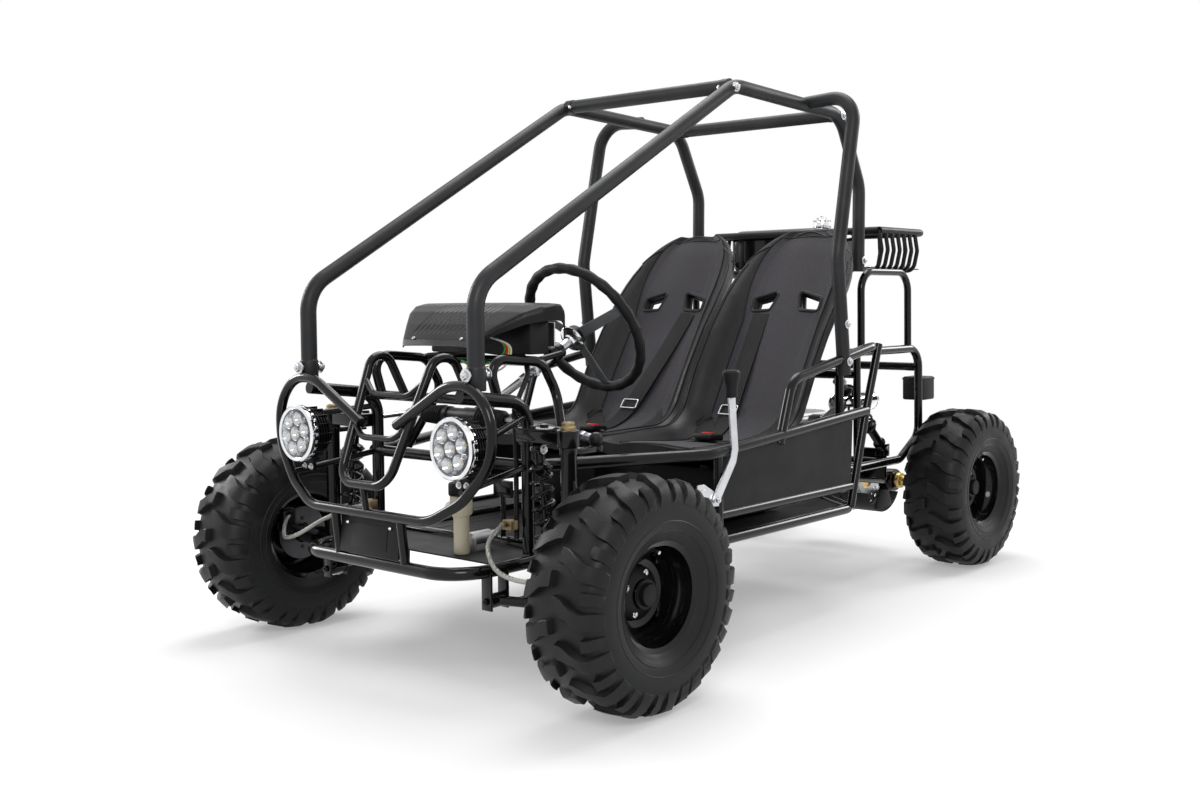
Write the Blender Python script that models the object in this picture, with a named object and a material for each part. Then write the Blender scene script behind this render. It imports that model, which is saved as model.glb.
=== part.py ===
"""Two-seat off-road racing kart: tubular space frame, bolted roll cage, steered front wheels and a live rear axle.

Lengths are in metres. X points to the driver's left, Y to the rear and Z up. Stations along Y are measured from the
front axle, and one empty then centres the kart between its axles.
"""

import math
from dataclasses import dataclass

import bmesh
import bpy
from mathutils import Matrix, Vector

# General clearances
SEAT_GAP = 0.0003
RUNNING_GAP = 0.0010
CUT_OVERRUN = 0.0100

# Wheels and stance
SWING_PIVOT_Y = 1.0900
SWING_ARM_LENGTH = 0.3300
WHEELBASE = SWING_PIVOT_Y + SWING_ARM_LENGTH
FRONT_HALF_TRACK = 0.496
REAR_HALF_TRACK = 0.380
TYRE_RADIUS = 0.2030
TYRE_GROOVE_RADIUS = 0.1905
TYRE_SHOULDER_RADIUS = 0.1720
TYRE_BULGE_RADIUS = 0.1350
TYRE_HALF_WIDTH = 0.0815
TREAD_HALF_WIDTH = 0.0660
TYRE_BEAD_HALF_WIDTH = 0.0573
TREAD_GROOVE_HALF_WIDTH = 0.0100
LUG_RISE = 0.0125
LUG_SHOULDER_RISE = 0.0050
LUG_COUNT = 16
LUG_FLANK_SHARE = 0.10
LUG_SKEW_SHARE = 0.45
RIM_HALF_WIDTH = 0.0660
RIM_FLANGE_RADIUS = 0.1015
RIM_BEAD_RADIUS = 0.0890
RIM_WELL_RADIUS = 0.0780
RIM_WELL_HALF_WIDTH = 0.0250
RIM_WALL = 0.0040
RIM_LIP = 0.0045
RIM_SEGMENTS = 12
DISC_INSET = 0.0660
HUB_RADIUS = 0.0260
HUB_LENGTH = 0.0560
HUB_CAP_RADIUS = 0.0200
HUB_CAP_LENGTH = 0.0120
STUB_RADIUS = 0.0100
STUB_SHOULDER_RADIUS = 0.0200
REAR_AXLE_RADIUS = 0.0125
REAR_HUB_RADIUS = 0.0220

# Tube sizes
CAGE_TUBE = 0.0155
RAIL_TUBE = 0.0120
SIDE_TUBE = 0.0110
HORN_TUBE = 0.0095
HOOP_TUBE = 0.0085
THIN_TUBE = 0.0060
CAGE_BEND = 0.0800
RAIL_BEND = 0.0650
SIDE_BEND = 0.0500
HORN_BEND = 0.0420
BEND_STEP = math.radians(46.0)
SEAT_STEP = math.radians(25.0)
SHEET = 0.0030

# Seat width, which the side frames follow
SEAT_HALF_WIDTH = 0.1730
SEAT_MIDDLE_HALF_GAP = 0.0030
SEAT_SIDE_CLEARANCE = 0.0410
SEAT_X = SEAT_HALF_WIDTH + SEAT_MIDDLE_HALF_GAP

# Floor frame
FLOOR_Z = 0.2220
FLOOR_HALF_WIDTH = 0.2350
NOSE_BAR_Y = -0.1630
FLOOR_FRONT_Y = -0.0500
FLOOR_REAR_Y = 0.9600
OUTRIGGER_FRONT_Y = 0.2200
SIDE_HALF_WIDTH = SEAT_X + SEAT_HALF_WIDTH + SEAT_SIDE_CLEARANCE
SIDE_FRONT_Y = 0.3450
SIDE_REAR_Y = 0.8550
FLOOR_CROSS_Y = 0.0900
SEAT_CROSS_Y = 0.6200
ARM_BRACKET_OFFSET = 0.0770
ARM_BRACKET_DROP = 0.0700
ARM_BRACKET_WIDTH = 0.0180
ARM_BRACKET_PLATE = 0.0040

# Side frames
SILL_Z = 0.2720
BELT_FRONT_Z = 0.3950
BELT_REAR_Z = 0.4380
BELT_REAR_Y = 0.9230
BELT_NOSE_HALF_WIDTH = 0.2850
BELT_NOSE_Y = 0.1450
ARM_REST_FOOT_Y = 0.5780
ARM_REST_FRONT_Y = 0.6250
ARM_REST_FRONT_Z = 0.5260
ARM_REST_REAR_Y = 0.9800
ARM_REST_REAR_Z = 0.5900
PANEL_FRONT_Y = 0.3700

# Front tower
TOWER_HALF_WIDTH = 0.2200
TOWER_Y = 0.0200
TOWER_TOP_Z = 0.5120
TOWER_TIP_Y = -0.1400
TOWER_TIP_Z = 0.5330
NOSE_STRUT_Y = 0.0130
NOSE_STRUT_Z = 0.4870
TOWER_CROSS_Z = 0.3950

# Nose frame
HORN_Y = -0.1450
HORN_INNER_HALF_WIDTH = 0.0600
HORN_INNER_Z = 0.4760
HORN_TOP_HALF_WIDTH = 0.1850
HORN_TOP_Z = 0.5400
HORN_OUTER_HALF_WIDTH = 0.3080
HORN_OUTER_TOP_Z = 0.5300
HORN_OUTER_LOW_Z = 0.4250
NOSE_BELT_HALF_WIDTH = 0.1800
NOSE_BELT_Y = -0.1740
NOSE_BELT_Z = 0.3130
STAY_UPPER_SHARE = 0.58
STAY_LOWER_SHARE = 0.5
HOOP_LOW_HALF_WIDTH = 0.0700
HOOP_LOW_Y = -0.1820
HOOP_LOW_Z = 0.3660
HOOP_TOP_HALF_WIDTH = 0.0960
HOOP_TOP_Y = -0.0700
HOOP_TOP_Z = 0.6400
HOOP_FOOT_Y = -0.0050
HOOP_FOOT_Z = 0.5450

# Roll cage
LEG_HALF_WIDTH = 0.2440
LEG_Y = -0.1220
LEG_FOOT_Z = 0.5560
LEG_BEND_Z = 0.7240
ROOF_HALF_WIDTH = 0.2540
ROOF_FRONT_Y = 0.6080
ROOF_FRONT_Z = 1.1580
ROOF_REAR_Y = 1.0300
ROOF_REAR_Z = 1.1400
BRACE_BEND_Y = 1.1150
BRACE_BEND_Z = 0.9730
BRACE_FOOT_Y = 1.1100
BRACE_FOOT_Z = 0.7630
MAIN_FOOT_Y = 0.8310
MAIN_KNEE_Y = 0.8050
MAIN_KNEE_Z = 0.7900
MAIN_SHOULDER_Y = 0.8550
MAIN_SHOULDER_Z = 1.0220
MAIN_TOP_Y = 0.8850
CAGE_FOOT_COLLAR = 0.0190
CAGE_FOOT_COLLAR_LENGTH = 0.0300

# Kingpins and arms
KINGPIN_HALF_WIDTH = 0.3450
KNUCKLE_RADIUS = 0.0160
KNUCKLE_TOP_Z = 0.4400
KNUCKLE_DROP = 0.0330
KNUCKLE_LOW_Z = TYRE_RADIUS - KNUCKLE_DROP
ARM_EYE_RADIUS = 0.0200
UPPER_EYE_HEIGHT = 0.0300
LOWER_EYE_HEIGHT = 0.0260
KINGPIN_CAP_RADIUS = 0.0140
KINGPIN_CAP_HEIGHT = 0.0150
UPPER_ARM_HALF_DEPTH = 0.0180
LOWER_ARM_TUBE = 0.0090
ARM_BUSH_RADIUS = 0.0130
ARM_BUSH_LENGTH = 0.0340
ARM_PIVOT_Z = 0.1680
STEER_ARM_LENGTH = 0.0700
STEER_ARM_TOP_Z = 0.4360
STEER_ARM_THICKNESS = 0.0100
STEER_ARM_WIDTH = 0.0240
FRONT_SHOCK_TOP_X = 0.2700
FRONT_SHOCK_TOP_Z = 0.4320
FRONT_SHOCK_LOW_X = 0.2980
FRONT_SHOCK_LOW_Z = 0.1900
SHOCK_SPRING_RADIUS = 0.0210
SHOCK_WIRE = 0.0035
SHOCK_BODY_RADIUS = 0.0120
SHOCK_PITCH = 0.0230
SHOCK_COIL_LOW_SHARE = 0.30
SHOCK_COIL_HIGH_SHARE = 0.86
SHOCK_EYE_RADIUS = 0.0110
SHOCK_EYE_WIDTH = 0.0220

# Steering
WHEEL_X = 0.1300
WHEEL_Y = 0.2650
WHEEL_Z = 0.6410
WHEEL_TILT = math.radians(29.3)
WHEEL_RADIUS = 0.1390
WHEEL_GRIP = 0.0115
WHEEL_DISH = 0.0300
COLUMN_RADIUS = 0.0100
COLUMN_LENGTH = 0.1650
COLUMN_BEARING_LENGTH = 0.0300
COLUMN_BEARING_WALL = 0.0060
COLUMN_BEARING_DROP = 0.0950
JOINT_BALL_RADIUS = 0.0130
RACK_Y = 0.0600
RACK_Z = 0.4720
RACK_RADIUS = 0.0060
RACK_HOUSING_HALF_LENGTH = 0.0500
RACK_HOUSING_RADIUS = 0.0190
BELLOWS_LENGTH = 0.0700
BELLOWS_RADIUS = 0.0210
BELLOWS_NECK_RADIUS = 0.0150
BELLOWS_FOLDS = 4
RACK_END_HALF_WIDTH = 0.1650
PINION_X = 0.0300
BOOT_RADIUS = 0.0130
BOOT_HEIGHT = 0.0240

# Brake reservoir
RESERVOIR_X = 0.0800
RESERVOIR_Y = -0.0200
RESERVOIR_RADIUS = 0.0210
RESERVOIR_HEIGHT = 0.1350
RESERVOIR_SHARES = ((0, 0), (0.7, 0), (0.7, 0.5), (1, 0.55), (1, 0.82), (1.1, 0.84), (1.1, 1), (0, 1))

# Hood and dash
HOOD_HALF_WIDTH = 0.2000
HOOD_FRONT_Y = -0.0900
HOOD_REAR_Y = 0.1450
HOOD_FRONT_Z = 0.6050
HOOD_CREST_Y = 0.0400
HOOD_CREST_Z = 0.6900
HOOD_REAR_Z = 0.6780
HOOD_SKIRT = 0.0280
HOOD_WALL = 0.0030
HOOD_LIP_SHARE = 0.7
HOOD_LIP_RISE = 0.0340
HOOD_EDGE = 0.0100
HOOD_BROW_SHARE = 0.9
HOOD_WIDTH_SHARES = (0.86, 0.95, 1.0, 0.99, 0.96)
HOOD_RIB_COUNT = 8
HOOD_RIB_RADIUS = 0.0030
HOOD_RIB_SPAN_SHARE = 0.7
DASH_HALF_WIDTH = 0.1700
DASH_FRONT_Y = -0.0300
DASH_FRONT_Z = 0.5950
DASH_REAR_Y = 0.1080
DASH_REAR_Z = 0.5820
DASH_DROP_Y = 0.1450
DASH_DROP_Z = 0.5200

# Lamps
LAMP_HALF_WIDTH = 0.2270
LAMP_Y = -0.1730
LAMP_Z = 0.4450
LAMP_RADIUS = 0.0555
LAMP_BEZEL_DEPTH = 0.0200
LAMP_BODY_RADIUS = 0.0500
LAMP_BODY_DEPTH = 0.0450
LAMP_FIN_COUNT = 3

# Seats
SEAT_THICKNESS = 0.0300
HEAD_HALF_WIDTH = 0.1080
BOLSTER = 0.0550
CUSHION_FRONT_Y = 0.4000
CUSHION_FRONT_Z = 0.3950
CUSHION_LOW_Y = 0.7300
CUSHION_LOW_Z = 0.3600
SEAT_BACK_TOP_Y = 1.0200
SEAT_BACK_TOP_Z = 0.8610
RISER_HALF_WIDTH = 0.1050
RISER_FRONT_Y = 0.5000
RISER_REAR_Y = 0.7300

# Rear frame
REAR_HALF_WIDTH = 0.2650
REAR_FRONT_Y = 1.0050
REAR_LOOP_Z = 0.5640
REAR_LOOP_Y = 1.3900
REAR_LOOP_LOW_Z = 0.3350
REAR_FOOT_Z = 0.2500

# Swing arm and drive
SWING_HALF_WIDTH = 0.1600
SWING_PIVOT_Z = 0.2550
SWING_TUBE = 0.0140
CARRIER_RADIUS = 0.0300
CARRIER_LENGTH = 0.0400
SPROCKET_X = -0.1150
SPROCKET_RADIUS = 0.0780
SPROCKET_THICKNESS = 0.0050
SPROCKET_TEETH = 20
TOOTH_DEPTH = 0.0040
SPROCKET_HOLES = 5
DRIVE_SPROCKET_RADIUS = 0.0200
DRIVE_SPROCKET_Y = 1.2350
DRIVE_SPROCKET_Z = 0.3450
CHAIN_HALF_WIDTH = 0.0045
CHAIN_THICKNESS = 0.0070
CHAIN_CLEARANCE = 0.0015
CHAIN_NOTCH = 0.0015
CHAIN_LINKS = 44
GUARD_RADIUS = 0.0900
GUARD_HALF_WIDTH = 0.1400
GUARD_START = math.radians(200.0)
GUARD_END = math.radians(330.0)
GUARD_STEPS = 7
GUARD_SLOT = 0.0120
DISC_X = 0.0850
DISC_RADIUS = 0.0820
DISC_THICKNESS = 0.0040
DISC_HOLES = 6
DISC_HOLE_RADIUS = 0.0060
DISC_HOLE_RING = 0.0640
REAR_SHOCK_HALF_WIDTH = 0.2150
REAR_SHOCK_TOP_Y = 1.0850
REAR_SHOCK_TOP_Z = 0.4900
REAR_SHOCK_LOW_Y = 1.2900
REAR_SHOCK_LOW_Z = 0.3050

# Engine
ENGINE_Y = 1.1700
ENGINE_Z = 0.3550
ENGINE_HALF_WIDTH = 0.0950
ENGINE_HALF_LENGTH = 0.0750
ENGINE_HALF_HEIGHT = 0.0600
ENGINE_ROUND = 0.0180
CRADLE_REACH = 0.0370
COVER_RADIUS = 0.0520
COVER_DEPTH = 0.0140
CYLINDER_RADIUS = 0.0360
FIN_RADIUS = 0.0560
FIN_COUNT = 5
FIN_PITCH = 0.0130
FIN_THICKNESS = 0.0050
HEAD_LENGTH = 0.0260
CYLINDER_RISE = math.radians(12.0)
CARB_RADIUS = 0.0170
FILTER_RADIUS = 0.0300
FILTER_LENGTH = 0.0600
MUFFLER_X = 0.1480
MUFFLER_Z = 0.4250
MUFFLER_RADIUS = 0.0260
MUFFLER_FRONT_Y = 1.1700
MUFFLER_REAR_Y = 1.3500
EXHAUST_TUBE = 0.0090

# Tank and rack
RACK_HALF_WIDTH = 0.2600
RACK_FRONT_Y = 1.2000
RACK_LENGTH = 0.2400
RACK_REAR_Y = RACK_FRONT_Y + RACK_LENGTH
RACK_TOP_Z = 0.8680
RACK_DECK_Z = 0.7710
RIB_BEND = 0.0200
RIB_DIP_SHARE = 0.8
RIB_SHARES = (0, 0.25, 0.5, 0.75)
TRAY_MARGIN = 0.0120
TANK_LOW_X = -0.2350
TANK_HIGH_X = 0.0600
TANK_TOP_Z = 0.8850
CAP_X = 0.0100
CAP_RADIUS = 0.0250
CAP_HEIGHT = 0.0350

# Lever and tail box
LEVER_Y = 0.3850
LEVER_Z = 0.3150
LEVER_KNOB_Y = 0.3950
LEVER_KNOB_Z = 0.5100
TAIL_BOX_X = 0.2400
TAIL_BOX_Y = 1.4700
TAIL_BOX_Z = 0.4550

SIDES = (("left", 1), ("right", -1))


@dataclass
class Pipe:
    """A bent tube: the corners of its centre line, its radius, the radius of its bends and its roundness."""

    points: list
    radius: float
    bend: float = 0.0


def put_in_scene(name, mesh):
    """Make an object of a mesh."""
    piece = bpy.data.objects.new(name, mesh)
    bpy.context.scene.collection.objects.link(piece)
    return piece


def from_bmesh(name, shape):
    """Make an object of a bmesh with all its faces turned outwards."""
    bmesh.ops.recalc_face_normals(shape, faces=shape.faces)
    mesh = bpy.data.meshes.new(name)
    shape.to_mesh(mesh)
    shape.free()
    return put_in_scene(name, mesh)


def freeze(piece):
    """Replace a curve or an object with modifiers by the plain mesh that it shows."""
    name = piece.name
    graph = bpy.context.evaluated_depsgraph_get()
    mesh = bpy.data.meshes.new_from_object(piece.evaluated_get(graph), depsgraph=graph)
    bpy.data.objects.remove(piece)
    frozen = put_in_scene(name, mesh)
    frozen.name = name
    return frozen


def combine(piece, tools, operation):
    """Unite the tools with the piece, or cut them out of it."""
    group = bpy.data.collections.new("tools")
    bpy.context.scene.collection.children.link(group)
    for tool in tools:
        group.objects.link(tool)
    step = piece.modifiers.new(operation.lower(), "BOOLEAN")
    step.operation = operation
    step.operand_type = "COLLECTION"
    step.collection = group
    step.solver = "EXACT"
    whole = freeze(piece)
    for tool in tools:
        bpy.data.objects.remove(tool)
    bpy.data.collections.remove(group)
    return whole


def union(name, pieces):
    """Weld pieces into one body."""
    first = pieces[0]
    first.name = name
    if len(pieces) == 1:
        return first
    return combine(first, pieces[1:], "UNION")


def cut(piece, tools):
    """Cut tools out of a piece."""
    return combine(piece, tools, "DIFFERENCE")


def rounded(points, bend, arc=BEND_STEP):
    """Replace the corners of a route by arcs of short chords."""
    route = [points[0]]
    for before, corner, after in zip(points, points[1:], points[2:]):
        back = before - corner
        ahead = after - corner
        inner = back.angle(ahead)
        turn = math.pi - inner
        reach = min(bend / math.tan(inner / 2), 0.49 * back.length, 0.49 * ahead.length)
        radius = reach * math.tan(inner / 2)
        start = corner + back.normalized() * reach
        hub = corner + (back.normalized() + ahead.normalized()).normalized() * (radius / math.sin(inner / 2))
        axis = back.cross(ahead).normalized()
        steps = max(1, math.ceil(turn / arc))
        for step in range(steps + 1):
            swing = Matrix.Rotation(-turn * step / steps, 3, axis)
            route.append(hub + swing @ (start - hub))
    route.append(points[-1])
    return route


def tube(pipe, growth=0.0, name="tube"):
    """Sweep a round section along the route of a pipe."""
    route = rounded(pipe.points, pipe.bend) if pipe.bend else list(pipe.points)
    route[0] = route[0] + (route[0] - route[1]).normalized() * growth
    route[-1] = route[-1] + (route[-1] - route[-2]).normalized() * growth
    curve = bpy.data.curves.new(name, "CURVE")
    curve.dimensions = "3D"
    curve.bevel_depth = pipe.radius + growth
    curve.bevel_resolution = 2 if pipe.radius > RAIL_TUBE else 1
    curve.use_fill_caps = True
    spline = curve.splines.new("POLY")
    spline.points.add(len(route) - 1)
    for spot, place in zip(spline.points, route):
        spot.co = (*place, 1)
    return freeze(put_in_scene(name, curve))


def grown(pipes, growth=SEAT_GAP):
    """Make cutters that leave the given gap around pipes."""
    return [tube(pipe, growth) for pipe in pipes]


def mirrored(points):
    """Give the points of the right side for those of the left side."""
    return [Vector((-point.x, point.y, point.z)) for point in points]


def handed(point, side):
    """Put a point on the left side or the right side."""
    return Vector((point[0] * side, point[1], point[2]))


def through(points):
    """Continue a route on the left side to its mirror image on the right side."""
    return points + mirrored(points)[::-1]


def block(centre, size, name="block"):
    """Make a box."""
    shape = bmesh.new()
    bmesh.ops.create_cube(shape, size=1)
    bmesh.ops.scale(shape, vec=Vector(size), verts=shape.verts)
    bmesh.ops.translate(shape, vec=Vector(centre), verts=shape.verts)
    return from_bmesh(name, shape)


def turned(profile, base, direction, segments, name="turned"):
    """Revolve a closed outline of (radius, length) points around the line from base along direction."""
    shape = bmesh.new()
    frame = Vector((0, 0, 1)).rotation_difference(Vector(direction)).to_matrix()
    rings = []
    for step in range(segments):
        turn = Matrix.Rotation(math.tau * step / segments, 3, "Z")
        ring = []
        for radius, length in profile:
            ring.append(shape.verts.new(Vector(base) + frame @ (turn @ Vector((radius, 0, length)))))
        rings.append(ring)
    count = len(profile)
    for step in range(segments):
        ring, following = rings[step], rings[(step + 1) % segments]
        for spot in range(count):
            after = (spot + 1) % count
            if profile[spot][0] or profile[after][0]:
                shape.faces.new((ring[spot], following[spot], following[after], ring[after]))
    bmesh.ops.remove_doubles(shape, verts=shape.verts, dist=SEAT_GAP / segments)
    return from_bmesh(name, shape)


def rod(base, tip, radius, segments=12, name="rod"):
    """Make a plain cylinder between two points."""
    start = Vector(base)
    line = Vector(tip) - start
    frame = Vector((0, 0, 1)).rotation_difference(line).to_matrix().to_4x4()
    place = Matrix.Translation(start + line / 2) @ frame
    shape = bmesh.new()
    bmesh.ops.create_cone(shape, cap_ends=True, segments=segments, radius1=radius, radius2=radius, depth=line.length, matrix=place)
    return from_bmesh(name, shape)


def plate(outline, thickness, name="plate"):
    """Extrude a flat closed outline by a thickness vector."""
    shape = bmesh.new()
    near = [shape.verts.new(point) for point in outline]
    far = [shape.verts.new(point + thickness) for point in outline]
    shape.faces.new(near)
    shape.faces.new(far[::-1])
    count = len(outline)
    for spot in range(count):
        after = (spot + 1) % count
        shape.faces.new((near[spot], far[spot], far[after], near[after]))
    return from_bmesh(name, shape)


def loft(rings, name="loft"):
    """Skin closed rings of equal count and cap both ends."""
    shape = bmesh.new()
    rows = [[shape.verts.new(point) for point in ring] for ring in rings]
    count = len(rows[0])
    for row, following in zip(rows, rows[1:]):
        for spot in range(count):
            after = (spot + 1) % count
            shape.faces.new((row[spot], row[after], following[after], following[spot]))
    shape.faces.new(rows[0][::-1])
    shape.faces.new(rows[-1])
    return from_bmesh(name, shape)


def paint(piece, colour, roughness, metallic=0.0):
    """Give a piece a material of its own."""
    material = bpy.data.materials.new(piece.name)
    material.use_nodes = True
    surface = material.node_tree.nodes["Principled BSDF"]
    surface.inputs["Base Color"].default_value = (*colour, 1)
    surface.inputs["Roughness"].default_value = roughness
    surface.inputs["Metallic"].default_value = metallic
    piece.data.materials.clear()
    piece.data.materials.append(material)
    return piece


def soften(piece, angle=math.radians(40)):
    """Shade round faces smooth and keep the sharp edges."""
    piece.data.shade_smooth()
    piece.data.set_sharp_from_angle(angle=angle)
    return piece


def gloss_black(piece):
    """Powder coat of the space frame."""
    return paint(soften(piece), (0.012, 0.012, 0.013), 0.22)


def satin_charcoal(piece):
    """Coat of the roll cage."""
    return paint(soften(piece), (0.045, 0.046, 0.050), 0.55)


def bare_steel(piece):
    """Zinc plated steel."""
    return paint(soften(piece), (0.55, 0.56, 0.58), 0.35, 1.0)


def black_rubber(piece):
    """Tyre rubber."""
    return paint(soften(piece), (0.018, 0.018, 0.019), 0.62)


def black_plastic(piece):
    """Moulded plastic."""
    return paint(soften(piece), (0.022, 0.022, 0.024), 0.48)


def seat_vinyl(piece):
    """Upholstery of the seats."""
    return paint(soften(piece), (0.030, 0.028, 0.034), 0.60)


def webbing(piece):
    """Woven straps of the harness."""
    return paint(soften(piece), (0.015, 0.015, 0.017), 0.80)


def clear_lens(piece):
    """Lamp with a clear lens."""
    return paint(soften(piece), (0.70, 0.72, 0.74), 0.12, 0.6)


def cast_alloy(piece):
    """Raw aluminium casting."""
    return paint(soften(piece), (0.32, 0.32, 0.33), 0.50, 0.9)


def belt_rail(side):
    """The rail at hip height, from the front tower to behind the seat."""
    spots = [
        (TOWER_HALF_WIDTH + RAIL_TUBE, TOWER_Y, TOWER_CROSS_Z),
        (BELT_NOSE_HALF_WIDTH, BELT_NOSE_Y, BELT_FRONT_Z),
        (SIDE_HALF_WIDTH, SIDE_FRONT_Y, BELT_FRONT_Z),
        (SIDE_HALF_WIDTH, BELT_REAR_Y, BELT_REAR_Z),
    ]
    return Pipe([handed(spot, side) for spot in spots], RAIL_TUBE, RAIL_BEND)


def floor_pipes():
    """Tubes of the floor: the main loop with the nose bar, the outriggers under the seats and the cross tubes."""
    main = through([
        Vector((FLOOR_HALF_WIDTH, FLOOR_REAR_Y, FLOOR_Z)),
        Vector((FLOOR_HALF_WIDTH, NOSE_BAR_Y, FLOOR_Z)),
    ])
    pipes = [Pipe(main, RAIL_TUBE, CAGE_BEND)]
    for station in (FLOOR_CROSS_Y, SEAT_CROSS_Y, FLOOR_REAR_Y):
        pipes.append(Pipe(through([Vector((FLOOR_HALF_WIDTH, station, FLOOR_Z))]), SIDE_TUBE))
    for _, side in SIDES:
        outrigger = [
            (FLOOR_HALF_WIDTH, OUTRIGGER_FRONT_Y, FLOOR_Z),
            (SIDE_HALF_WIDTH, SIDE_FRONT_Y, FLOOR_Z),
            (SIDE_HALF_WIDTH, SIDE_REAR_Y, FLOOR_Z),
            (FLOOR_HALF_WIDTH, FLOOR_REAR_Y, FLOOR_Z),
        ]
        pipes.append(Pipe([handed(spot, side) for spot in outrigger], SIDE_TUBE, SIDE_BEND))
    return pipes


def floor_sheet():
    """The sheet metal pan on the floor tubes."""
    edge = SIDE_HALF_WIDTH - HORN_TUBE - RUNNING_GAP
    low = FLOOR_Z - SHEET / 2
    rear = FLOOR_REAR_Y - SIDE_TUBE / 2
    outline = [
        Vector((FLOOR_HALF_WIDTH, FLOOR_FRONT_Y, low)),
        Vector((FLOOR_HALF_WIDTH, OUTRIGGER_FRONT_Y, low)),
        Vector((edge, SIDE_FRONT_Y, low)),
        Vector((edge, SIDE_REAR_Y, low)),
        Vector((FLOOR_HALF_WIDTH, rear, low)),
    ]
    return plate(through(outline), Vector((0, 0, SHEET)), "pan")


def arm_brackets():
    """Plates under the floor rails that hold the inner pivots of the lower arms."""
    plates = []
    for _, side in SIDES:
        for end in (-1, 1):
            for face in (-1, 1):
                station = end * ARM_BRACKET_OFFSET + face * (ARM_BUSH_LENGTH + ARM_BRACKET_PLATE + SEAT_GAP + SEAT_GAP) / 2
                centre = (side * FLOOR_HALF_WIDTH, station, FLOOR_Z - ARM_BRACKET_DROP / 2)
                size = (ARM_BRACKET_WIDTH, ARM_BRACKET_PLATE, ARM_BRACKET_DROP)
                plates.append(block(centre, size))
    return plates


def floor_frame():
    """Floor of welded tubes with its pan and the brackets of the front arms."""
    pieces = [tube(pipe) for pipe in floor_pipes()]
    return gloss_black(union("floor_frame", pieces + [floor_sheet()] + arm_brackets()))


def tower_pipes():
    """Tubes of the front tower, which carries the upper arms, the steering rack and the feet of the nose hoop."""
    pipes = []
    for _, side in SIDES:
        post = [
            (TOWER_HALF_WIDTH, TOWER_Y, FLOOR_Z + SIDE_TUBE + SEAT_GAP),
            (TOWER_HALF_WIDTH, TOWER_Y, TOWER_TOP_Z),
            (TOWER_HALF_WIDTH, TOWER_TIP_Y, TOWER_TIP_Z),
        ]
        pipes.append(Pipe([handed(spot, side) for spot in post], RAIL_TUBE, SIDE_BEND))
    pipes.append(Pipe(through([Vector((TOWER_HALF_WIDTH, TOWER_Y, TOWER_CROSS_Z))]), SIDE_TUBE))
    pipes.append(Pipe(through([Vector((TOWER_HALF_WIDTH, HOOP_FOOT_Y, TOWER_TOP_Z))]), HORN_TUBE))
    return pipes


def hoop_pipes():
    """Tubes of the narrow hoop in the nose with its two sagging bars."""
    hoop = through([
        Vector((HOOP_TOP_HALF_WIDTH, HOOP_FOOT_Y, TOWER_TOP_Z)),
        Vector((HOOP_TOP_HALF_WIDTH, HOOP_TOP_Y, HOOP_TOP_Z)),
        Vector((HOOP_LOW_HALF_WIDTH, HOOP_LOW_Y, HOOP_LOW_Z)),
    ])
    pipes = [Pipe(hoop, HOOP_TUBE, HORN_BEND)]
    top = Vector((HOOP_TOP_HALF_WIDTH, HOOP_TOP_Y, HOOP_TOP_Z))
    low = Vector((HOOP_LOW_HALF_WIDTH, HOOP_LOW_Y, HOOP_LOW_Z))
    for leg_share, sag_share in ((0.32, 0.42), (0.60, 0.70)):
        rest = top.lerp(low, leg_share)
        belly = top.lerp(low, sag_share)
        belly.x *= 0.6
        pipes.append(Pipe(through([rest, belly]), THIN_TUBE, HORN_BEND))
    return pipes


def nose_pipes():
    """Tubes of the nose frame: the two lamp loops joined by a belt bar, and the struts down to the nose bar."""
    horn = through([
        Vector((HORN_INNER_HALF_WIDTH, HORN_Y, HORN_INNER_Z)),
        Vector((HORN_TOP_HALF_WIDTH, HORN_Y, HORN_TOP_Z)),
        Vector((HORN_OUTER_HALF_WIDTH, HORN_Y, HORN_OUTER_TOP_Z)),
        Vector((HORN_OUTER_HALF_WIDTH, HORN_Y, HORN_OUTER_LOW_Z)),
        Vector((NOSE_BELT_HALF_WIDTH, NOSE_BELT_Y, NOSE_BELT_Z)),
    ])
    pipes = [Pipe(horn, HORN_TUBE, HORN_BEND)]
    pipes.append(Pipe([Vector((0, NOSE_BELT_Y, NOSE_BELT_Z)), Vector((0, HOOP_LOW_Y, HOOP_LOW_Z))], THIN_TUBE))
    for _, side in SIDES:
        strut = [
            handed((HOOP_TOP_HALF_WIDTH, NOSE_BELT_Y, NOSE_BELT_Z), side),
            handed((HOOP_TOP_HALF_WIDTH, NOSE_BAR_Y, FLOOR_Z), side),
        ]
        pipes.append(Pipe(strut, HOOP_TUBE))
    return pipes


def nose_stays():
    """Thin stays from the lamp loops back to the tower posts."""
    pipes = []
    for _, side in SIDES:
        outer_top = Vector((HORN_OUTER_HALF_WIDTH, HORN_Y, HORN_OUTER_TOP_Z))
        outer_low = Vector((HORN_OUTER_HALF_WIDTH, HORN_Y, HORN_OUTER_LOW_Z))
        belt = Vector((NOSE_BELT_HALF_WIDTH, NOSE_BELT_Y, NOSE_BELT_Z))
        upper = outer_top.lerp(outer_low, STAY_UPPER_SHARE)
        lower = outer_low.lerp(belt, STAY_LOWER_SHARE)
        for start, station, height in ((upper, NOSE_STRUT_Y, NOSE_STRUT_Z), (lower, TOWER_Y, TOWER_CROSS_Z)):
            pipes.append(Pipe([handed(start, side), handed((TOWER_HALF_WIDTH, station, height), side)], THIN_TUBE))
    return pipes


def front_tower():
    """Front tower, seated on the floor and against the nose."""
    tower = union("front_tower", [tube(pipe) for pipe in tower_pipes()])
    return gloss_black(cut(tower, grown(floor_pipes() + nose_pipes())))


def nose_hoop():
    """Narrow hoop between the lamps."""
    hoop = union("nose_hoop", [tube(pipe) for pipe in hoop_pipes()])
    return gloss_black(cut(hoop, grown(tower_pipes())))


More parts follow.
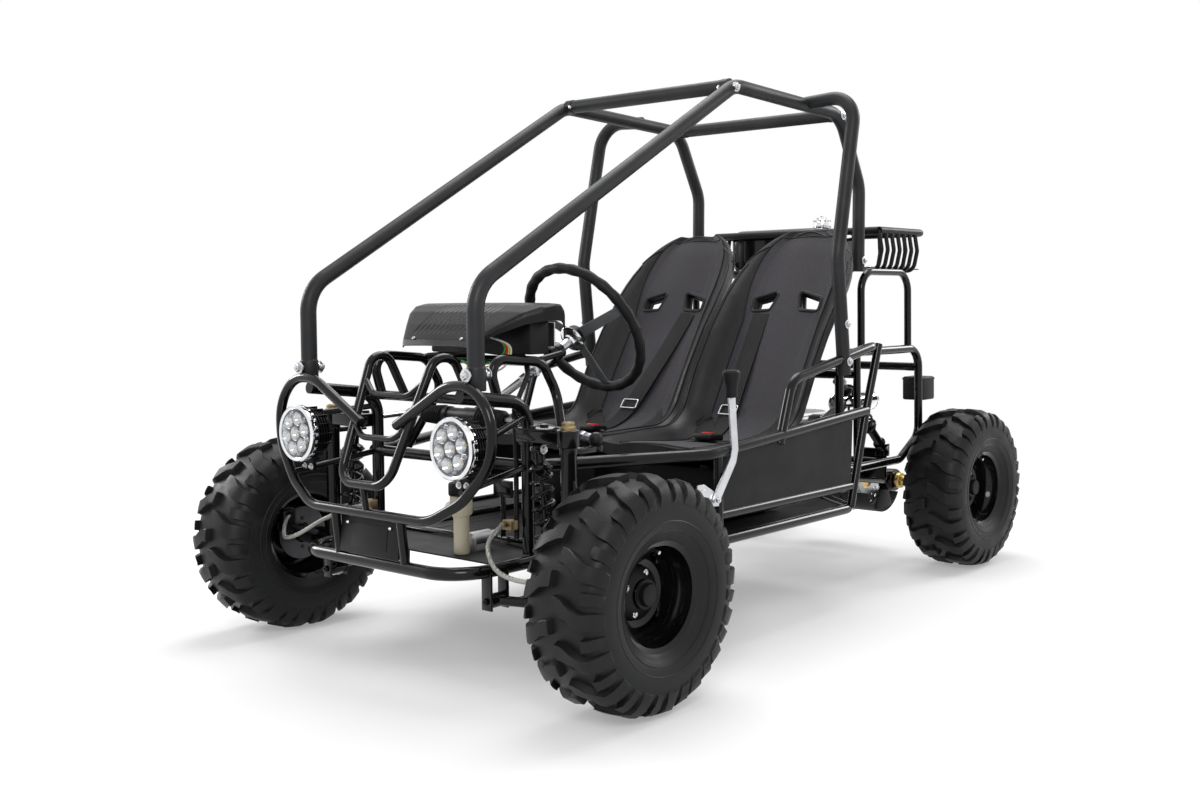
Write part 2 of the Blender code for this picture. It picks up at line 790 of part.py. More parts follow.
def nose_frame():
    """Lamp loops and belt bar of the nose."""
    nose = union("nose_frame", [tube(pipe) for pipe in nose_pipes()])
    nose = cut(nose, grown(floor_pipes() + hoop_pipes()))
    stays = [cut(tube(pipe), grown(tower_pipes())) for pipe in nose_stays()]
    return gloss_black(union("nose_frame", [nose] + stays))


def side_pipes(side):
    """Tubes of one side frame: sill, belt rail, arm rest and uprights."""
    rest_foot_z = BELT_FRONT_Z
    sill = [(SIDE_HALF_WIDTH, PANEL_FRONT_Y, SILL_Z), (SIDE_HALF_WIDTH, SIDE_REAR_Y, SILL_Z)]
    rest = [
        (SIDE_HALF_WIDTH, ARM_REST_FOOT_Y, rest_foot_z),
        (SIDE_HALF_WIDTH, ARM_REST_FRONT_Y, ARM_REST_FRONT_Z),
        (SIDE_HALF_WIDTH, ARM_REST_REAR_Y, ARM_REST_REAR_Z),
        (REAR_HALF_WIDTH, REAR_FRONT_Y, REAR_LOOP_Z - SIDE_TUBE),
    ]
    front_post = [(SIDE_HALF_WIDTH, PANEL_FRONT_Y, FLOOR_Z), (SIDE_HALF_WIDTH, PANEL_FRONT_Y, BELT_FRONT_Z)]
    rear_post = [(SIDE_HALF_WIDTH, SIDE_REAR_Y, FLOOR_Z), (SIDE_HALF_WIDTH, BELT_REAR_Y, BELT_REAR_Z),
                 (SIDE_HALF_WIDTH, ARM_REST_REAR_Y, ARM_REST_REAR_Z)]
    pipes = [belt_rail(side), Pipe([handed(spot, side) for spot in rest], SIDE_TUBE, SIDE_BEND)]
    for line in (sill, front_post, rear_post):
        pipes.append(Pipe([handed(spot, side) for spot in line], HORN_TUBE))
    return pipes


def side_frame(name, side):
    """Side frame with its sheet metal panel."""
    outline = [
        Vector((side * (SIDE_HALF_WIDTH - SHEET / 2), PANEL_FRONT_Y, SILL_Z)),
        Vector((side * (SIDE_HALF_WIDTH - SHEET / 2), SIDE_REAR_Y, SILL_Z)),
        Vector((side * (SIDE_HALF_WIDTH - SHEET / 2), SIDE_REAR_Y + HORN_TUBE, BELT_REAR_Z - SIDE_TUBE)),
        Vector((side * (SIDE_HALF_WIDTH - SHEET / 2), PANEL_FRONT_Y, BELT_FRONT_Z)),
    ]
    panel = plate(outline, Vector((side * SHEET, 0, 0)), "panel")
    frame = union(f"side_frame_{name}", [tube(pipe) for pipe in side_pipes(side)] + [panel])
    return gloss_black(cut(frame, grown(floor_pipes() + tower_pipes() + rear_pipes())))


def cradle_height():
    """Height of the engine cradle, which rests on the pivot tube of the swing arm."""
    return SWING_PIVOT_Z + SWING_TUBE + SIDE_TUBE - SHEET / 2


def rear_pipes():
    """Tubes of the rear frame: side loops, cross tubes, engine cradle and the stands of the rack."""
    pipes = []
    cradle_z = cradle_height()
    for _, side in SIDES:
        post = [(REAR_HALF_WIDTH, REAR_SHOCK_TOP_Y, cradle_z), (REAR_HALF_WIDTH, REAR_SHOCK_TOP_Y, REAR_LOOP_Z)]
        pipes.append(Pipe([handed(spot, side) for spot in post], HORN_TUBE))
        loop = [
            (FLOOR_HALF_WIDTH, FLOOR_REAR_Y + SIDE_TUBE / 2, FLOOR_Z),
            (REAR_HALF_WIDTH, REAR_FRONT_Y, REAR_FOOT_Z),
            (REAR_HALF_WIDTH, REAR_FRONT_Y, REAR_LOOP_Z),
            (REAR_HALF_WIDTH, REAR_LOOP_Y, REAR_LOOP_Z),
            (REAR_HALF_WIDTH, REAR_LOOP_Y, REAR_LOOP_LOW_Z),
            (REAR_HALF_WIDTH, REAR_SHOCK_LOW_Y, cradle_z),
            (REAR_HALF_WIDTH, REAR_FRONT_Y, cradle_z),
        ]
        pipes.append(Pipe([handed(spot, side) for spot in loop], SIDE_TUBE, SIDE_BEND))
        stand_x = REAR_HALF_WIDTH - SHEET
        stand_z = RACK_DECK_Z - HORN_TUBE + SHEET / 2
        stand = [
            (stand_x, BRACE_FOOT_Y, REAR_LOOP_Z),
            (stand_x, BRACE_FOOT_Y, stand_z),
            (stand_x, REAR_LOOP_Y - SIDE_BEND, stand_z),
            (stand_x, REAR_LOOP_Y - SIDE_BEND, REAR_LOOP_Z),
        ]
        pipes.append(Pipe([handed(spot, side) for spot in stand], HORN_TUBE, SIDE_BEND))
    for station, height in (
        (REAR_FRONT_Y, REAR_LOOP_Z - SIDE_BEND),
        (REAR_LOOP_Y, REAR_LOOP_Z - SIDE_BEND),
        (ENGINE_Y - ENGINE_HALF_LENGTH, cradle_z),
        (ENGINE_Y + CRADLE_REACH, cradle_z),
        (REAR_SHOCK_TOP_Y, REAR_SHOCK_TOP_Z + SHOCK_EYE_RADIUS + SIDE_TUBE - SHEET / 2),
    ):
        pipes.append(Pipe(through([Vector((REAR_HALF_WIDTH, station, height))]), SIDE_TUBE))
    return pipes


def rear_frame():
    """Rear frame round the engine."""
    frame = union("rear_frame", [tube(pipe) for pipe in rear_pipes()])
    return gloss_black(cut(frame, grown(floor_pipes())))


def cage_side_pipe(side):
    """One long cage tube from the nose over the roof to the brace behind the seats."""
    spots = [
        (LEG_HALF_WIDTH, LEG_Y, LEG_FOOT_Z),
        (LEG_HALF_WIDTH, LEG_Y, LEG_BEND_Z),
        (ROOF_HALF_WIDTH, ROOF_FRONT_Y, ROOF_FRONT_Z),
        (ROOF_HALF_WIDTH, ROOF_REAR_Y, ROOF_REAR_Z),
        (ROOF_HALF_WIDTH, BRACE_BEND_Y, BRACE_BEND_Z),
        (ROOF_HALF_WIDTH, BRACE_FOOT_Y, BRACE_FOOT_Z),
    ]
    return Pipe([handed(spot, side) for spot in spots], CAGE_TUBE, CAGE_BEND)


def cage_main_pipe(side):
    """The main leg beside the seat, which leans on the roof tube."""
    spots = [
        (SIDE_HALF_WIDTH, MAIN_FOOT_Y, ARM_REST_FRONT_Z),
        (SIDE_HALF_WIDTH, MAIN_KNEE_Y, MAIN_KNEE_Z),
        (SIDE_HALF_WIDTH, MAIN_SHOULDER_Y, MAIN_SHOULDER_Z),
        (SIDE_HALF_WIDTH, MAIN_TOP_Y, ROOF_FRONT_Z),
        (ROOF_HALF_WIDTH, MAIN_TOP_Y, ROOF_FRONT_Z - CAGE_TUBE / 2),
    ]
    return Pipe([handed(spot, side) for spot in spots], CAGE_TUBE, CAGE_BEND)


def cage_side(name, side):
    """Cage side tube with its foot collar."""
    collar = Pipe([
        handed((LEG_HALF_WIDTH, LEG_Y, LEG_FOOT_Z), side),
        handed((LEG_HALF_WIDTH, LEG_Y, LEG_FOOT_Z + CAGE_FOOT_COLLAR_LENGTH), side),
    ], CAGE_FOOT_COLLAR)
    rail = union(f"cage_side_{name}", [tube(cage_side_pipe(side)), tube(collar)])
    return satin_charcoal(cut(rail, grown(nose_pipes() + tower_pipes() + rear_pipes())))


def cage_main(name, side):
    """Main leg of the cage."""
    leg = union(f"cage_main_{name}", [tube(cage_main_pipe(side))])
    return satin_charcoal(cut(leg, grown(side_pipes(side) + [cage_side_pipe(side)])))


def cage_cross(name, station, height):
    """Cross tube between the two side tubes of the roof."""
    line = through([Vector((ROOF_HALF_WIDTH, station, height))])
    bar = tube(Pipe(line, CAGE_TUBE), 0, f"cage_cross_{name}")
    return satin_charcoal(cut(bar, grown([cage_side_pipe(side) for _, side in SIDES])))


def wheel_profile():
    """Section of a rim as (radius, offset) pairs: barrel, drop centre, disc and hub."""
    disc = RIM_HALF_WIDTH - DISC_INSET
    bead = RIM_HALF_WIDTH - RIM_LIP
    return [
        (HUB_RADIUS, disc - HUB_LENGTH / 2),
        (HUB_RADIUS, disc - RIM_WALL),
        (RIM_WELL_RADIUS - RIM_WALL, disc - RIM_WALL),
        (RIM_WELL_RADIUS - RIM_WALL, -RIM_WELL_HALF_WIDTH),
        (RIM_BEAD_RADIUS - RIM_WALL, -bead),
        (RIM_FLANGE_RADIUS, -RIM_HALF_WIDTH),
        (RIM_BEAD_RADIUS, -bead + RIM_WALL),
        (RIM_WELL_RADIUS, -RIM_WELL_HALF_WIDTH),
        (RIM_WELL_RADIUS, RIM_WELL_HALF_WIDTH),
        (RIM_BEAD_RADIUS, bead - RIM_WALL),
        (RIM_FLANGE_RADIUS, RIM_HALF_WIDTH),
        (RIM_BEAD_RADIUS - RIM_WALL, bead),
        (RIM_WELL_RADIUS - RIM_WALL, RIM_WELL_HALF_WIDTH),
        (RIM_WELL_RADIUS - RIM_WALL, disc),
        (HUB_RADIUS, disc),
        (HUB_RADIUS, disc + HUB_LENGTH / 2),
    ]


def rim(name, centre, side, bore):
    """Rim turned with its hub, open for the axle from the inner side and capped on the outer side."""
    disc = RIM_HALF_WIDTH - DISC_INSET
    bore = bore / math.cos(math.pi / RIM_SEGMENTS)
    profile = wheel_profile()
    profile += [
        (HUB_CAP_RADIUS, disc + HUB_LENGTH / 2),
        (HUB_CAP_RADIUS, disc + HUB_LENGTH / 2 + HUB_CAP_LENGTH),
        (0, disc + HUB_LENGTH / 2 + HUB_CAP_LENGTH),
        (0, disc + HUB_LENGTH / 2 - RIM_WALL),
        (bore, disc + HUB_LENGTH / 2 - RIM_WALL),
        (bore, disc - HUB_LENGTH / 2),
    ]
    return gloss_black(turned(profile, centre, (side, 0, 0), RIM_SEGMENTS, name))


def tyre_profile():
    """Half of the tyre's section from bead to tread centre: radius, offset and how far a lug lifts each point."""
    return [
        (RIM_BEAD_RADIUS + 2 * SEAT_GAP, TYRE_BEAD_HALF_WIDTH, 0, 0),
        (TYRE_BULGE_RADIUS, TYRE_HALF_WIDTH, 0, 0),
        (TYRE_SHOULDER_RADIUS, TREAD_HALF_WIDTH + LUG_RISE, LUG_SHOULDER_RISE, LUG_SHOULDER_RISE / 2),
        (TYRE_GROOVE_RADIUS - LUG_SHOULDER_RISE / 2, TREAD_HALF_WIDTH, LUG_RISE, 0),
        (TYRE_GROOVE_RADIUS, TREAD_GROOVE_HALF_WIDTH, LUG_RISE, 0),
    ]


def tyre(name, centre, side):
    """Tyre ring with chevron lugs, staggered by half a pitch between its two halves."""
    half = tyre_profile()
    pitch = math.tau / LUG_COUNT
    shape = bmesh.new()
    columns = []
    for lug in range(LUG_COUNT):
        for share, outer_up, inner_up in (
            (0, 0, 1), (LUG_FLANK_SHARE, 1, 0), (0.5, 1, 0), (0.5 + LUG_FLANK_SHARE, 0, 1),
        ):
            ring = []
            base = (lug + share) * pitch
            for row, lifted in ((half, outer_up), ([(TYRE_GROOVE_RADIUS, 0, 0, 0)], 0), (half[::-1], inner_up)):
                hand = -1 if row is half else 1
                for radius, offset, rise, spread in row:
                    height = radius + rise * lifted
                    width = hand * (offset + spread * lifted)
                    angle = base + LUG_SKEW_SHARE * pitch * (TYRE_HALF_WIDTH - offset) / TYRE_HALF_WIDTH
                    ring.append(shape.verts.new((side * width, height * math.sin(angle), height * math.cos(angle))))
            columns.append(ring)
    count = len(columns[0])
    for spot, ring in enumerate(columns):
        following = columns[(spot + 1) % len(columns)]
        for vertex in range(count):
            after = (vertex + 1) % count
            shape.faces.new((ring[vertex], following[vertex], following[after], ring[after]))
    bmesh.ops.translate(shape, vec=Vector(centre), verts=shape.verts)
    return black_rubber(from_bmesh(name, shape))


def shock_eye(place, growth=0.0):
    """Cross bush at an end of a shock."""
    half = Vector((SHOCK_EYE_WIDTH / 2 + growth, 0, 0))
    return rod(Vector(place) - half, Vector(place) + half, SHOCK_EYE_RADIUS + growth, 8)


def shock_room(top, low):
    """Cutters that leave room for the lower end of a shock."""
    return [shock_eye(low, SEAT_GAP), rod(low, top, SHOCK_BODY_RADIUS + RUNNING_GAP)]


def shock(name, top, low):
    """Coil-over shock absorber: eyes, tube, rod and a spring of stacked coils turned as one body."""
    start = Vector(low)
    direction = Vector(top) - start
    length = direction.length
    coil_low = length * SHOCK_COIL_LOW_SHARE
    coil_high = length * SHOCK_COIL_HIGH_SHARE
    turns = round((coil_high - coil_low) / SHOCK_PITCH)
    profile = [(0, 0), (SHOCK_BODY_RADIUS, 0), (SHOCK_BODY_RADIUS, coil_low - SHOCK_WIRE)]
    pitch = (coil_high - coil_low) / turns
    for turn in range(turns):
        base = coil_low + turn * pitch
        profile.append((SHOCK_SPRING_RADIUS, base + pitch / 4))
        profile.append((SHOCK_SPRING_RADIUS - SHOCK_WIRE, base + pitch * 3 / 4))
    profile.append((SHOCK_BODY_RADIUS, coil_high))
    profile += [(SHOCK_BODY_RADIUS, length), (0, length)]
    body = turned(profile, start, direction, 8, name)
    return black_plastic(union(name, [body, shock_eye(top), shock_eye(low)]))


def front_shock(name, side):
    """Shock between the tower bracket and the lower arm."""
    top = (side * FRONT_SHOCK_TOP_X, 0, FRONT_SHOCK_TOP_Z)
    low = (side * FRONT_SHOCK_LOW_X, 0, FRONT_SHOCK_LOW_Z)
    return shock(f"front_shock_{name}", top, low)


def upper_arm(name, side):
    """Boxed upper arm from the tower post to its eye over the kingpin, with the brass cap of the pin."""
    height = UPPER_EYE_HEIGHT
    base = KNUCKLE_TOP_Z + RUNNING_GAP / 2
    low = base + SHEET
    high = base + height - SHEET
    wide = UPPER_ARM_HALF_DEPTH
    slim = ARM_EYE_RADIUS / 2
    beam = loft([
        [Vector((side * (TOWER_HALF_WIDTH + RAIL_TUBE / 2), y, z)) for y, z in (
            (-wide, low), (wide + TOWER_Y, low), (wide + TOWER_Y, high), (-wide, high))],
        [Vector((side * (KINGPIN_HALF_WIDTH - slim), y, z)) for y, z in (
            (-slim, low), (slim, low), (slim, high), (-slim, high))],
    ])
    pin = (side * KINGPIN_HALF_WIDTH, 0, base)
    eye = rod(pin, (pin[0], 0, base + height), ARM_EYE_RADIUS, 12)
    cap = rod((pin[0], 0, base + height / 2), (pin[0], 0, base + height + KINGPIN_CAP_HEIGHT), KINGPIN_CAP_RADIUS, 10)
    arm = union(f"upper_arm_{name}", [beam, eye, cap])
    return gloss_black(cut(arm, grown(tower_pipes())))


def lower_arm(name, side):
    """Lower wishbone: two tubes from their bushes to the eye under the kingpin, and the shock bracket."""
    top = KNUCKLE_LOW_Z - RUNNING_GAP / 2
    mid = top - LOWER_EYE_HEIGHT / 2
    pin = Vector((side * KINGPIN_HALF_WIDTH, 0, mid))
    pieces = [rod((pin.x, 0, top - LOWER_EYE_HEIGHT), (pin.x, 0, top), ARM_EYE_RADIUS, 12)]
    for end in (-1, 1):
        bush = Vector((side * FLOOR_HALF_WIDTH, end * ARM_BRACKET_OFFSET, ARM_PIVOT_Z))
        half = Vector((0, ARM_BUSH_LENGTH / 2 - SEAT_GAP, 0))
        pieces.append(rod(bush - half, bush + half, ARM_BUSH_RADIUS))
        pieces.append(tube(Pipe([bush, pin], LOWER_ARM_TUBE)))
    seat_top = FRONT_SHOCK_LOW_Z
    low = mid - LOWER_ARM_TUBE
    seat = block((side * FRONT_SHOCK_LOW_X, 0, (seat_top + low) / 2), (SHOCK_EYE_WIDTH, 2 * ARM_EYE_RADIUS, seat_top - low))
    arm = union(f"lower_arm_{name}", pieces + [seat])
    low = (side * FRONT_SHOCK_LOW_X, 0, FRONT_SHOCK_LOW_Z)
    top = (side * FRONT_SHOCK_TOP_X, 0, FRONT_SHOCK_TOP_Z)
    return gloss_black(cut(arm, shock_room(top, low)))


def knuckle(name, side):
    """Steering knuckle: kingpin barrel, stub axle and steering arm."""
    x = side * KINGPIN_HALF_WIDTH
    barrel = rod((x, 0, KNUCKLE_LOW_Z), (x, 0, KNUCKLE_TOP_Z), KNUCKLE_RADIUS, 12)
    hub_face = FRONT_HALF_TRACK + RIM_HALF_WIDTH - DISC_INSET - HUB_LENGTH / 2
    tip = FRONT_HALF_TRACK + RIM_HALF_WIDTH - DISC_INSET + HUB_LENGTH / 2 - RIM_WALL - RUNNING_GAP
    stub = rod((x, 0, TYRE_RADIUS), (side * tip, 0, TYRE_RADIUS), STUB_RADIUS, 12)
    shoulder = rod((x, 0, TYRE_RADIUS), (side * (hub_face - RUNNING_GAP), 0, TYRE_RADIUS), STUB_SHOULDER_RADIUS, 12)
    low = STEER_ARM_TOP_Z - STEER_ARM_THICKNESS
    arm = block((x, STEER_ARM_LENGTH / 2, low + STEER_ARM_THICKNESS / 2),
                (STEER_ARM_WIDTH, STEER_ARM_LENGTH, STEER_ARM_THICKNESS))
    eye = rod((x, STEER_ARM_LENGTH, low), (x, STEER_ARM_LENGTH, STEER_ARM_TOP_Z), BOOT_RADIUS, 10)
    body = union(f"knuckle_{name}", [barrel, stub, shoulder, arm, eye])
    return gloss_black(body)


def rack_housing():
    """Rack housing with its pinion tower and ribbed bellows, open along the bar."""
    bore = RACK_RADIUS + RUNNING_GAP + RUNNING_GAP
    profile = [(bore, -RACK_HOUSING_HALF_LENGTH - BELLOWS_LENGTH)]
    half = [(RACK_HOUSING_RADIUS, RACK_HOUSING_HALF_LENGTH)]
    fold = BELLOWS_LENGTH / BELLOWS_FOLDS
    for turn in range(BELLOWS_FOLDS):
        base = RACK_HOUSING_HALF_LENGTH + turn * fold
        half.append((BELLOWS_NECK_RADIUS, base + fold / 4))
        half.append((BELLOWS_RADIUS, base + fold * 0.75))
    half.append((BELLOWS_NECK_RADIUS, RACK_HOUSING_HALF_LENGTH + BELLOWS_LENGTH))
    profile += [(radius, -length) for radius, length in half[::-1]] + half
    profile.append((bore, RACK_HOUSING_HALF_LENGTH + BELLOWS_LENGTH))
    body = turned(profile, (0, RACK_Y, RACK_Z), (1, 0, 0), 10, "rack_housing")
    centre = Vector((PINION_X, RACK_Y, RACK_Z))
    tower = rod(centre + pinion_line() * (bore + RUNNING_GAP), centre + pinion_line() * RACK_HOUSING_RADIUS * 1.6,
                RACK_HOUSING_RADIUS * 0.8, 12)
    feet = []
    for _, side in SIDES:
        foot_x = side * (RACK_HOUSING_HALF_LENGTH - RACK_HOUSING_RADIUS)
        depth = RACK_Y - TOWER_Y
        foot_low = TOWER_CROSS_Z
        feet.append(block((foot_x, RACK_Y - depth / 2, (foot_low + RACK_Z - bore * 2) / 2),
                          (RACK_HOUSING_RADIUS, depth, RACK_Z - bore * 2 - foot_low)))
    housing = union("rack_housing", [body, tower] + feet)
    reach = Vector((RACK_END_HALF_WIDTH, 0, 0))
    centre = Vector((0, RACK_Y, RACK_Z))
    return black_plastic(cut(housing, [rod(centre - reach, centre + reach, bore)] + grown(tower_pipes())))


def joint_centre():
    """The universal joint below the steering column."""
    return Vector((WHEEL_X, WHEEL_Y, WHEEL_Z)) - column_line() * COLUMN_LENGTH


def column_line():
    """Direction of the steering column, from the joint to the driver."""
    return Vector((0, math.cos(WHEEL_TILT), math.sin(WHEEL_TILT)))


def pinion_line():
    """Direction of the lower steering shaft, from the pinion to the joint."""
    return (joint_centre() - Vector((PINION_X, RACK_Y, RACK_Z))).normalized()


def steering_wheel():
    """Steering wheel with three spokes, its hub and the column down to the universal joint."""
    hub = Vector((WHEEL_X, WHEEL_Y, WHEEL_Z))
    line = column_line()
    up = Vector((0, -line.z, line.y))
    across = Vector((1, 0, 0))
    grip = []
    count = 24
    for step in range(count):
        turn = math.tau * step / count
        grip.append(hub + (across * math.sin(turn) + up * math.cos(turn)) * WHEEL_RADIUS)
    shape = bmesh.new()
    rings = []
    section = 6
    for place in grip:
        outward = (place - hub).normalized()
        ring = []
        for step in range(section):
            turn = math.tau * step / section
            ring.append(shape.verts.new(place + (outward * math.cos(turn) + line * math.sin(turn)) * WHEEL_GRIP))
        rings.append(ring)
    for spot, ring in enumerate(rings):
        following = rings[(spot + 1) % count]
        for vertex in range(section):
            after = (vertex + 1) % section
            shape.faces.new((ring[vertex], ring[after], following[after], following[vertex]))
    pieces = [from_bmesh("steering_wheel", shape)]
    low = hub - line * WHEEL_DISH
    for turn in (0, math.radians(110), math.radians(250)):
        outward = across * math.sin(turn) - up * math.cos(turn)
        sideways = line.cross(outward).normalized() * WHEEL_GRIP
        inner = low + outward * COLUMN_RADIUS
        outer = hub + outward * WHEEL_RADIUS
        spoke = loft([
            [inner - sideways, inner + sideways, inner + sideways + line * SHEET, inner - sideways + line * SHEET],
            [outer - sideways, outer + sideways, outer + sideways + line * SHEET, outer - sideways + line * SHEET],
        ])
        pieces.append(spoke)
    pieces.append(rod(low - line * WHEEL_GRIP, low + line * WHEEL_GRIP, COLUMN_RADIUS * 2.2, 12))
    pieces.append(rod(low, joint_centre(), COLUMN_RADIUS, 12))
    ball = [(0, -JOINT_BALL_RADIUS)]
    for step in range(1, 5):
        turn = math.pi * step / 5
        ball.append((JOINT_BALL_RADIUS * math.sin(turn), -JOINT_BALL_RADIUS * math.cos(turn)))
    ball.append((0, JOINT_BALL_RADIUS))
    pieces.append(turned(ball, joint_centre(), line, 8))
    return black_plastic(union("steering_wheel", pieces))


def steering_shaft():
    """Lower steering shaft from the universal joint to the pinion."""
    line = pinion_line()
    base = Vector((PINION_X, RACK_Y, RACK_Z)) + line * (RACK_HOUSING_RADIUS * 1.6 + RUNNING_GAP / 2)
    tip = joint_centre() - line * (JOINT_BALL_RADIUS + RUNNING_GAP / 2)
    yoke = rod(tip - line * JOINT_BALL_RADIUS, tip, JOINT_BALL_RADIUS * 0.8)
    return bare_steel(union("steering_shaft", [rod(base, tip, COLUMN_RADIUS * 0.8), yoke]))


def steering_rack():
    """Rack bar with both tie rods and the boots of their outer joints."""
    height = STEER_ARM_TOP_Z + SEAT_GAP + BOOT_HEIGHT / 2
    line = through([
        Vector((KINGPIN_HALF_WIDTH, STEER_ARM_LENGTH, height)),
        Vector((RACK_END_HALF_WIDTH, RACK_Y, RACK_Z)),
    ])
    pieces = [tube(Pipe(line, RACK_RADIUS))]
    for _, side in SIDES:
        x = side * KINGPIN_HALF_WIDTH
        base = STEER_ARM_TOP_Z + SEAT_GAP
        profile = [(0, 0), (BOOT_RADIUS * 0.6, 0), (BOOT_RADIUS, BOOT_HEIGHT * 0.3), (BOOT_RADIUS, BOOT_HEIGHT * 0.7),
                   (BOOT_RADIUS * 0.6, BOOT_HEIGHT), (0, BOOT_HEIGHT)]
        pieces.append(turned(profile, (x, STEER_ARM_LENGTH, base), (0, 0, 1), 12))
        end = Vector((side * RACK_END_HALF_WIDTH, RACK_Y, RACK_Z))
        step = Vector((side * BOOT_RADIUS, 0, 0))
        pieces.append(rod(end - step / 2, end + step / 2, RACK_RADIUS * 1.5))
    return bare_steel(union("steering_rack", pieces))


def head_lamp(name, side):
    """Round lamp: bezel with a domed lens, finned body and the stem to its loop."""
    profile = [(0, 0), (LAMP_RADIUS * 0.6, LAMP_BEZEL_DEPTH * 0.1), (LAMP_RADIUS * 0.93, LAMP_BEZEL_DEPTH * 0.4),
               (LAMP_RADIUS, LAMP_BEZEL_DEPTH * 0.3), (LAMP_RADIUS, LAMP_BEZEL_DEPTH)]
    fin = LAMP_BODY_DEPTH / (LAMP_FIN_COUNT * 2)
    for step in range(LAMP_FIN_COUNT):
        base = LAMP_BEZEL_DEPTH + 2 * step * fin
        share = 1 - 0.08 * step
        profile.append((LAMP_BODY_RADIUS * 0.84 * share, base))
        profile.append((LAMP_BODY_RADIUS * 0.84 * share, base + fin))
        profile.append((LAMP_BODY_RADIUS * share, base + fin))
        profile.append((LAMP_BODY_RADIUS * share, base + fin * 2))
    profile.append((0, LAMP_BEZEL_DEPTH + LAMP_BODY_DEPTH))
    base = Vector((side * LAMP_HALF_WIDTH, LAMP_Y, LAMP_Z))
    body = turned(profile, base, (0, 1, 0), 12, f"head_lamp_{name}")
    low = LAMP_Z - LAMP_RADIUS
    stem = block((side * LAMP_HALF_WIDTH, HORN_Y + HORN_TUBE, (TOWER_CROSS_Z + low) / 2 + THIN_TUBE),
                 (THIN_TUBE * 5, HORN_TUBE, LAMP_RADIUS))
    lamp = union(f"head_lamp_{name}", [body, stem])
    return clear_lens(cut(lamp, grown(nose_pipes() + nose_stays() + tower_pipes())))


def hood_stations():
    """Stations of the hood from front to back: place, height and share of its full width."""
    return (
        (HOOD_FRONT_Y, HOOD_FRONT_Z, HOOD_WIDTH_SHARES[0]),
        (HOOD_FRONT_Y * HOOD_LIP_SHARE, HOOD_FRONT_Z + HOOD_LIP_RISE, HOOD_WIDTH_SHARES[1]),
        (HOOD_CREST_Y, HOOD_CREST_Z, HOOD_WIDTH_SHARES[2]),
        (HOOD_REAR_Y - HOOD_EDGE, HOOD_REAR_Z + SHEET, HOOD_WIDTH_SHARES[3]),
        (HOOD_REAR_Y, HOOD_REAR_Z, HOOD_WIDTH_SHARES[4]),
    )


def hood_surface(inset):
    """Rings of the hood's outer form, or of the hollow below it when inset by its wall."""
    rows = []
    for station, height, share in hood_stations():
        half = HOOD_HALF_WIDTH * share - inset
        crown = height - inset
        base = height - HOOD_SKIRT - inset * 2
        shoulder = crown - HOOD_SKIRT / 2
        brow = half * HOOD_BROW_SHARE
        inward = inset if station < 0 else -inset if station > HOOD_CREST_Y else 0
        spots = (
            (-half, base), (-half, shoulder), (-brow, crown), (0, crown + SHEET),
            (brow, crown), (half, shoulder), (half, base),
        )
        rows.append([Vector((x, station + inward, z)) for x, z in spots])
    return rows


def hood_ribs():
    """Raised ribs that run up the front slope of the hood."""
    ribs = []
    for spot in range(HOOD_RIB_COUNT):
        share = (2 * spot / (HOOD_RIB_COUNT - 1) - 1) * HOOD_RIB_SPAN_SHARE
        line = []
        for station, height, width_share in hood_stations()[:3]:
            x = share * HOOD_HALF_WIDTH * width_share
            line.append(Vector((x, station + HOOD_RIB_RADIUS, height + SHEET * (1 - abs(share)))))
        ribs.append(tube(Pipe(line, HOOD_RIB_RADIUS)))
    return ribs


def hood():
    """Pressed hood over the dash: crowned panel with ribs and a skirt, open below."""
    shell = union("hood", [loft(hood_surface(0))] + hood_ribs())
    hollow = loft(hood_surface(HOOD_WALL), "hollow")
    return black_plastic(cut(shell, [hollow] + grown(hoop_pipes() + dash_pipes())))


def dash_pipes():
    """Tubes under the hood that carry the steering column."""
    pipes = []
    for _, side in SIDES:
        line = [
            (DASH_HALF_WIDTH, HOOP_FOOT_Y, TOWER_TOP_Z),
            (DASH_HALF_WIDTH, DASH_FRONT_Y, DASH_FRONT_Z),
            (DASH_HALF_WIDTH, DASH_REAR_Y, DASH_REAR_Z),
            (DASH_HALF_WIDTH, DASH_DROP_Y, DASH_DROP_Z),
            (BELT_NOSE_HALF_WIDTH - SIDE_BEND, DASH_REAR_Y, BELT_FRONT_Z),
        ]
        pipes.append(Pipe([handed(spot, side) for spot in line], HORN_TUBE, HORN_BEND))
    pipes.append(Pipe(through([Vector((DASH_HALF_WIDTH, DASH_REAR_Y, DASH_REAR_Z))]), HORN_TUBE))
    return pipes


def dash_frame():
    """Dash tubes with the bearing of the steering column."""
    line = column_line()
    centre = Vector((WHEEL_X, WHEEL_Y, WHEEL_Z)) - line * COLUMN_BEARING_DROP
    bore = COLUMN_RADIUS + RUNNING_GAP
    outer = bore + COLUMN_BEARING_WALL
    half = COLUMN_BEARING_LENGTH / 2
    profile = [(bore, -half), (outer, -half), (outer, half), (bore, half)]
    bearing = turned(profile, centre, line, 12)
    stay_x = WHEEL_X + bore + THIN_TUBE
    stay = tube(Pipe([Vector((stay_x, centre.y, centre.z)), Vector((stay_x, DASH_REAR_Y, DASH_REAR_Z))], THIN_TUBE))
    clear = rod(centre - line * COLUMN_LENGTH, centre + line * COLUMN_LENGTH, bore, 12)
    frame = union("dash_frame", [tube(pipe) for pipe in dash_pipes()] + [stay])
    frame = cut(frame, [clear] + grown(tower_pipes() + [belt_rail(side) for _, side in SIDES] + hoop_pipes()))
    return gloss_black(union("dash_frame", [frame, bearing]))


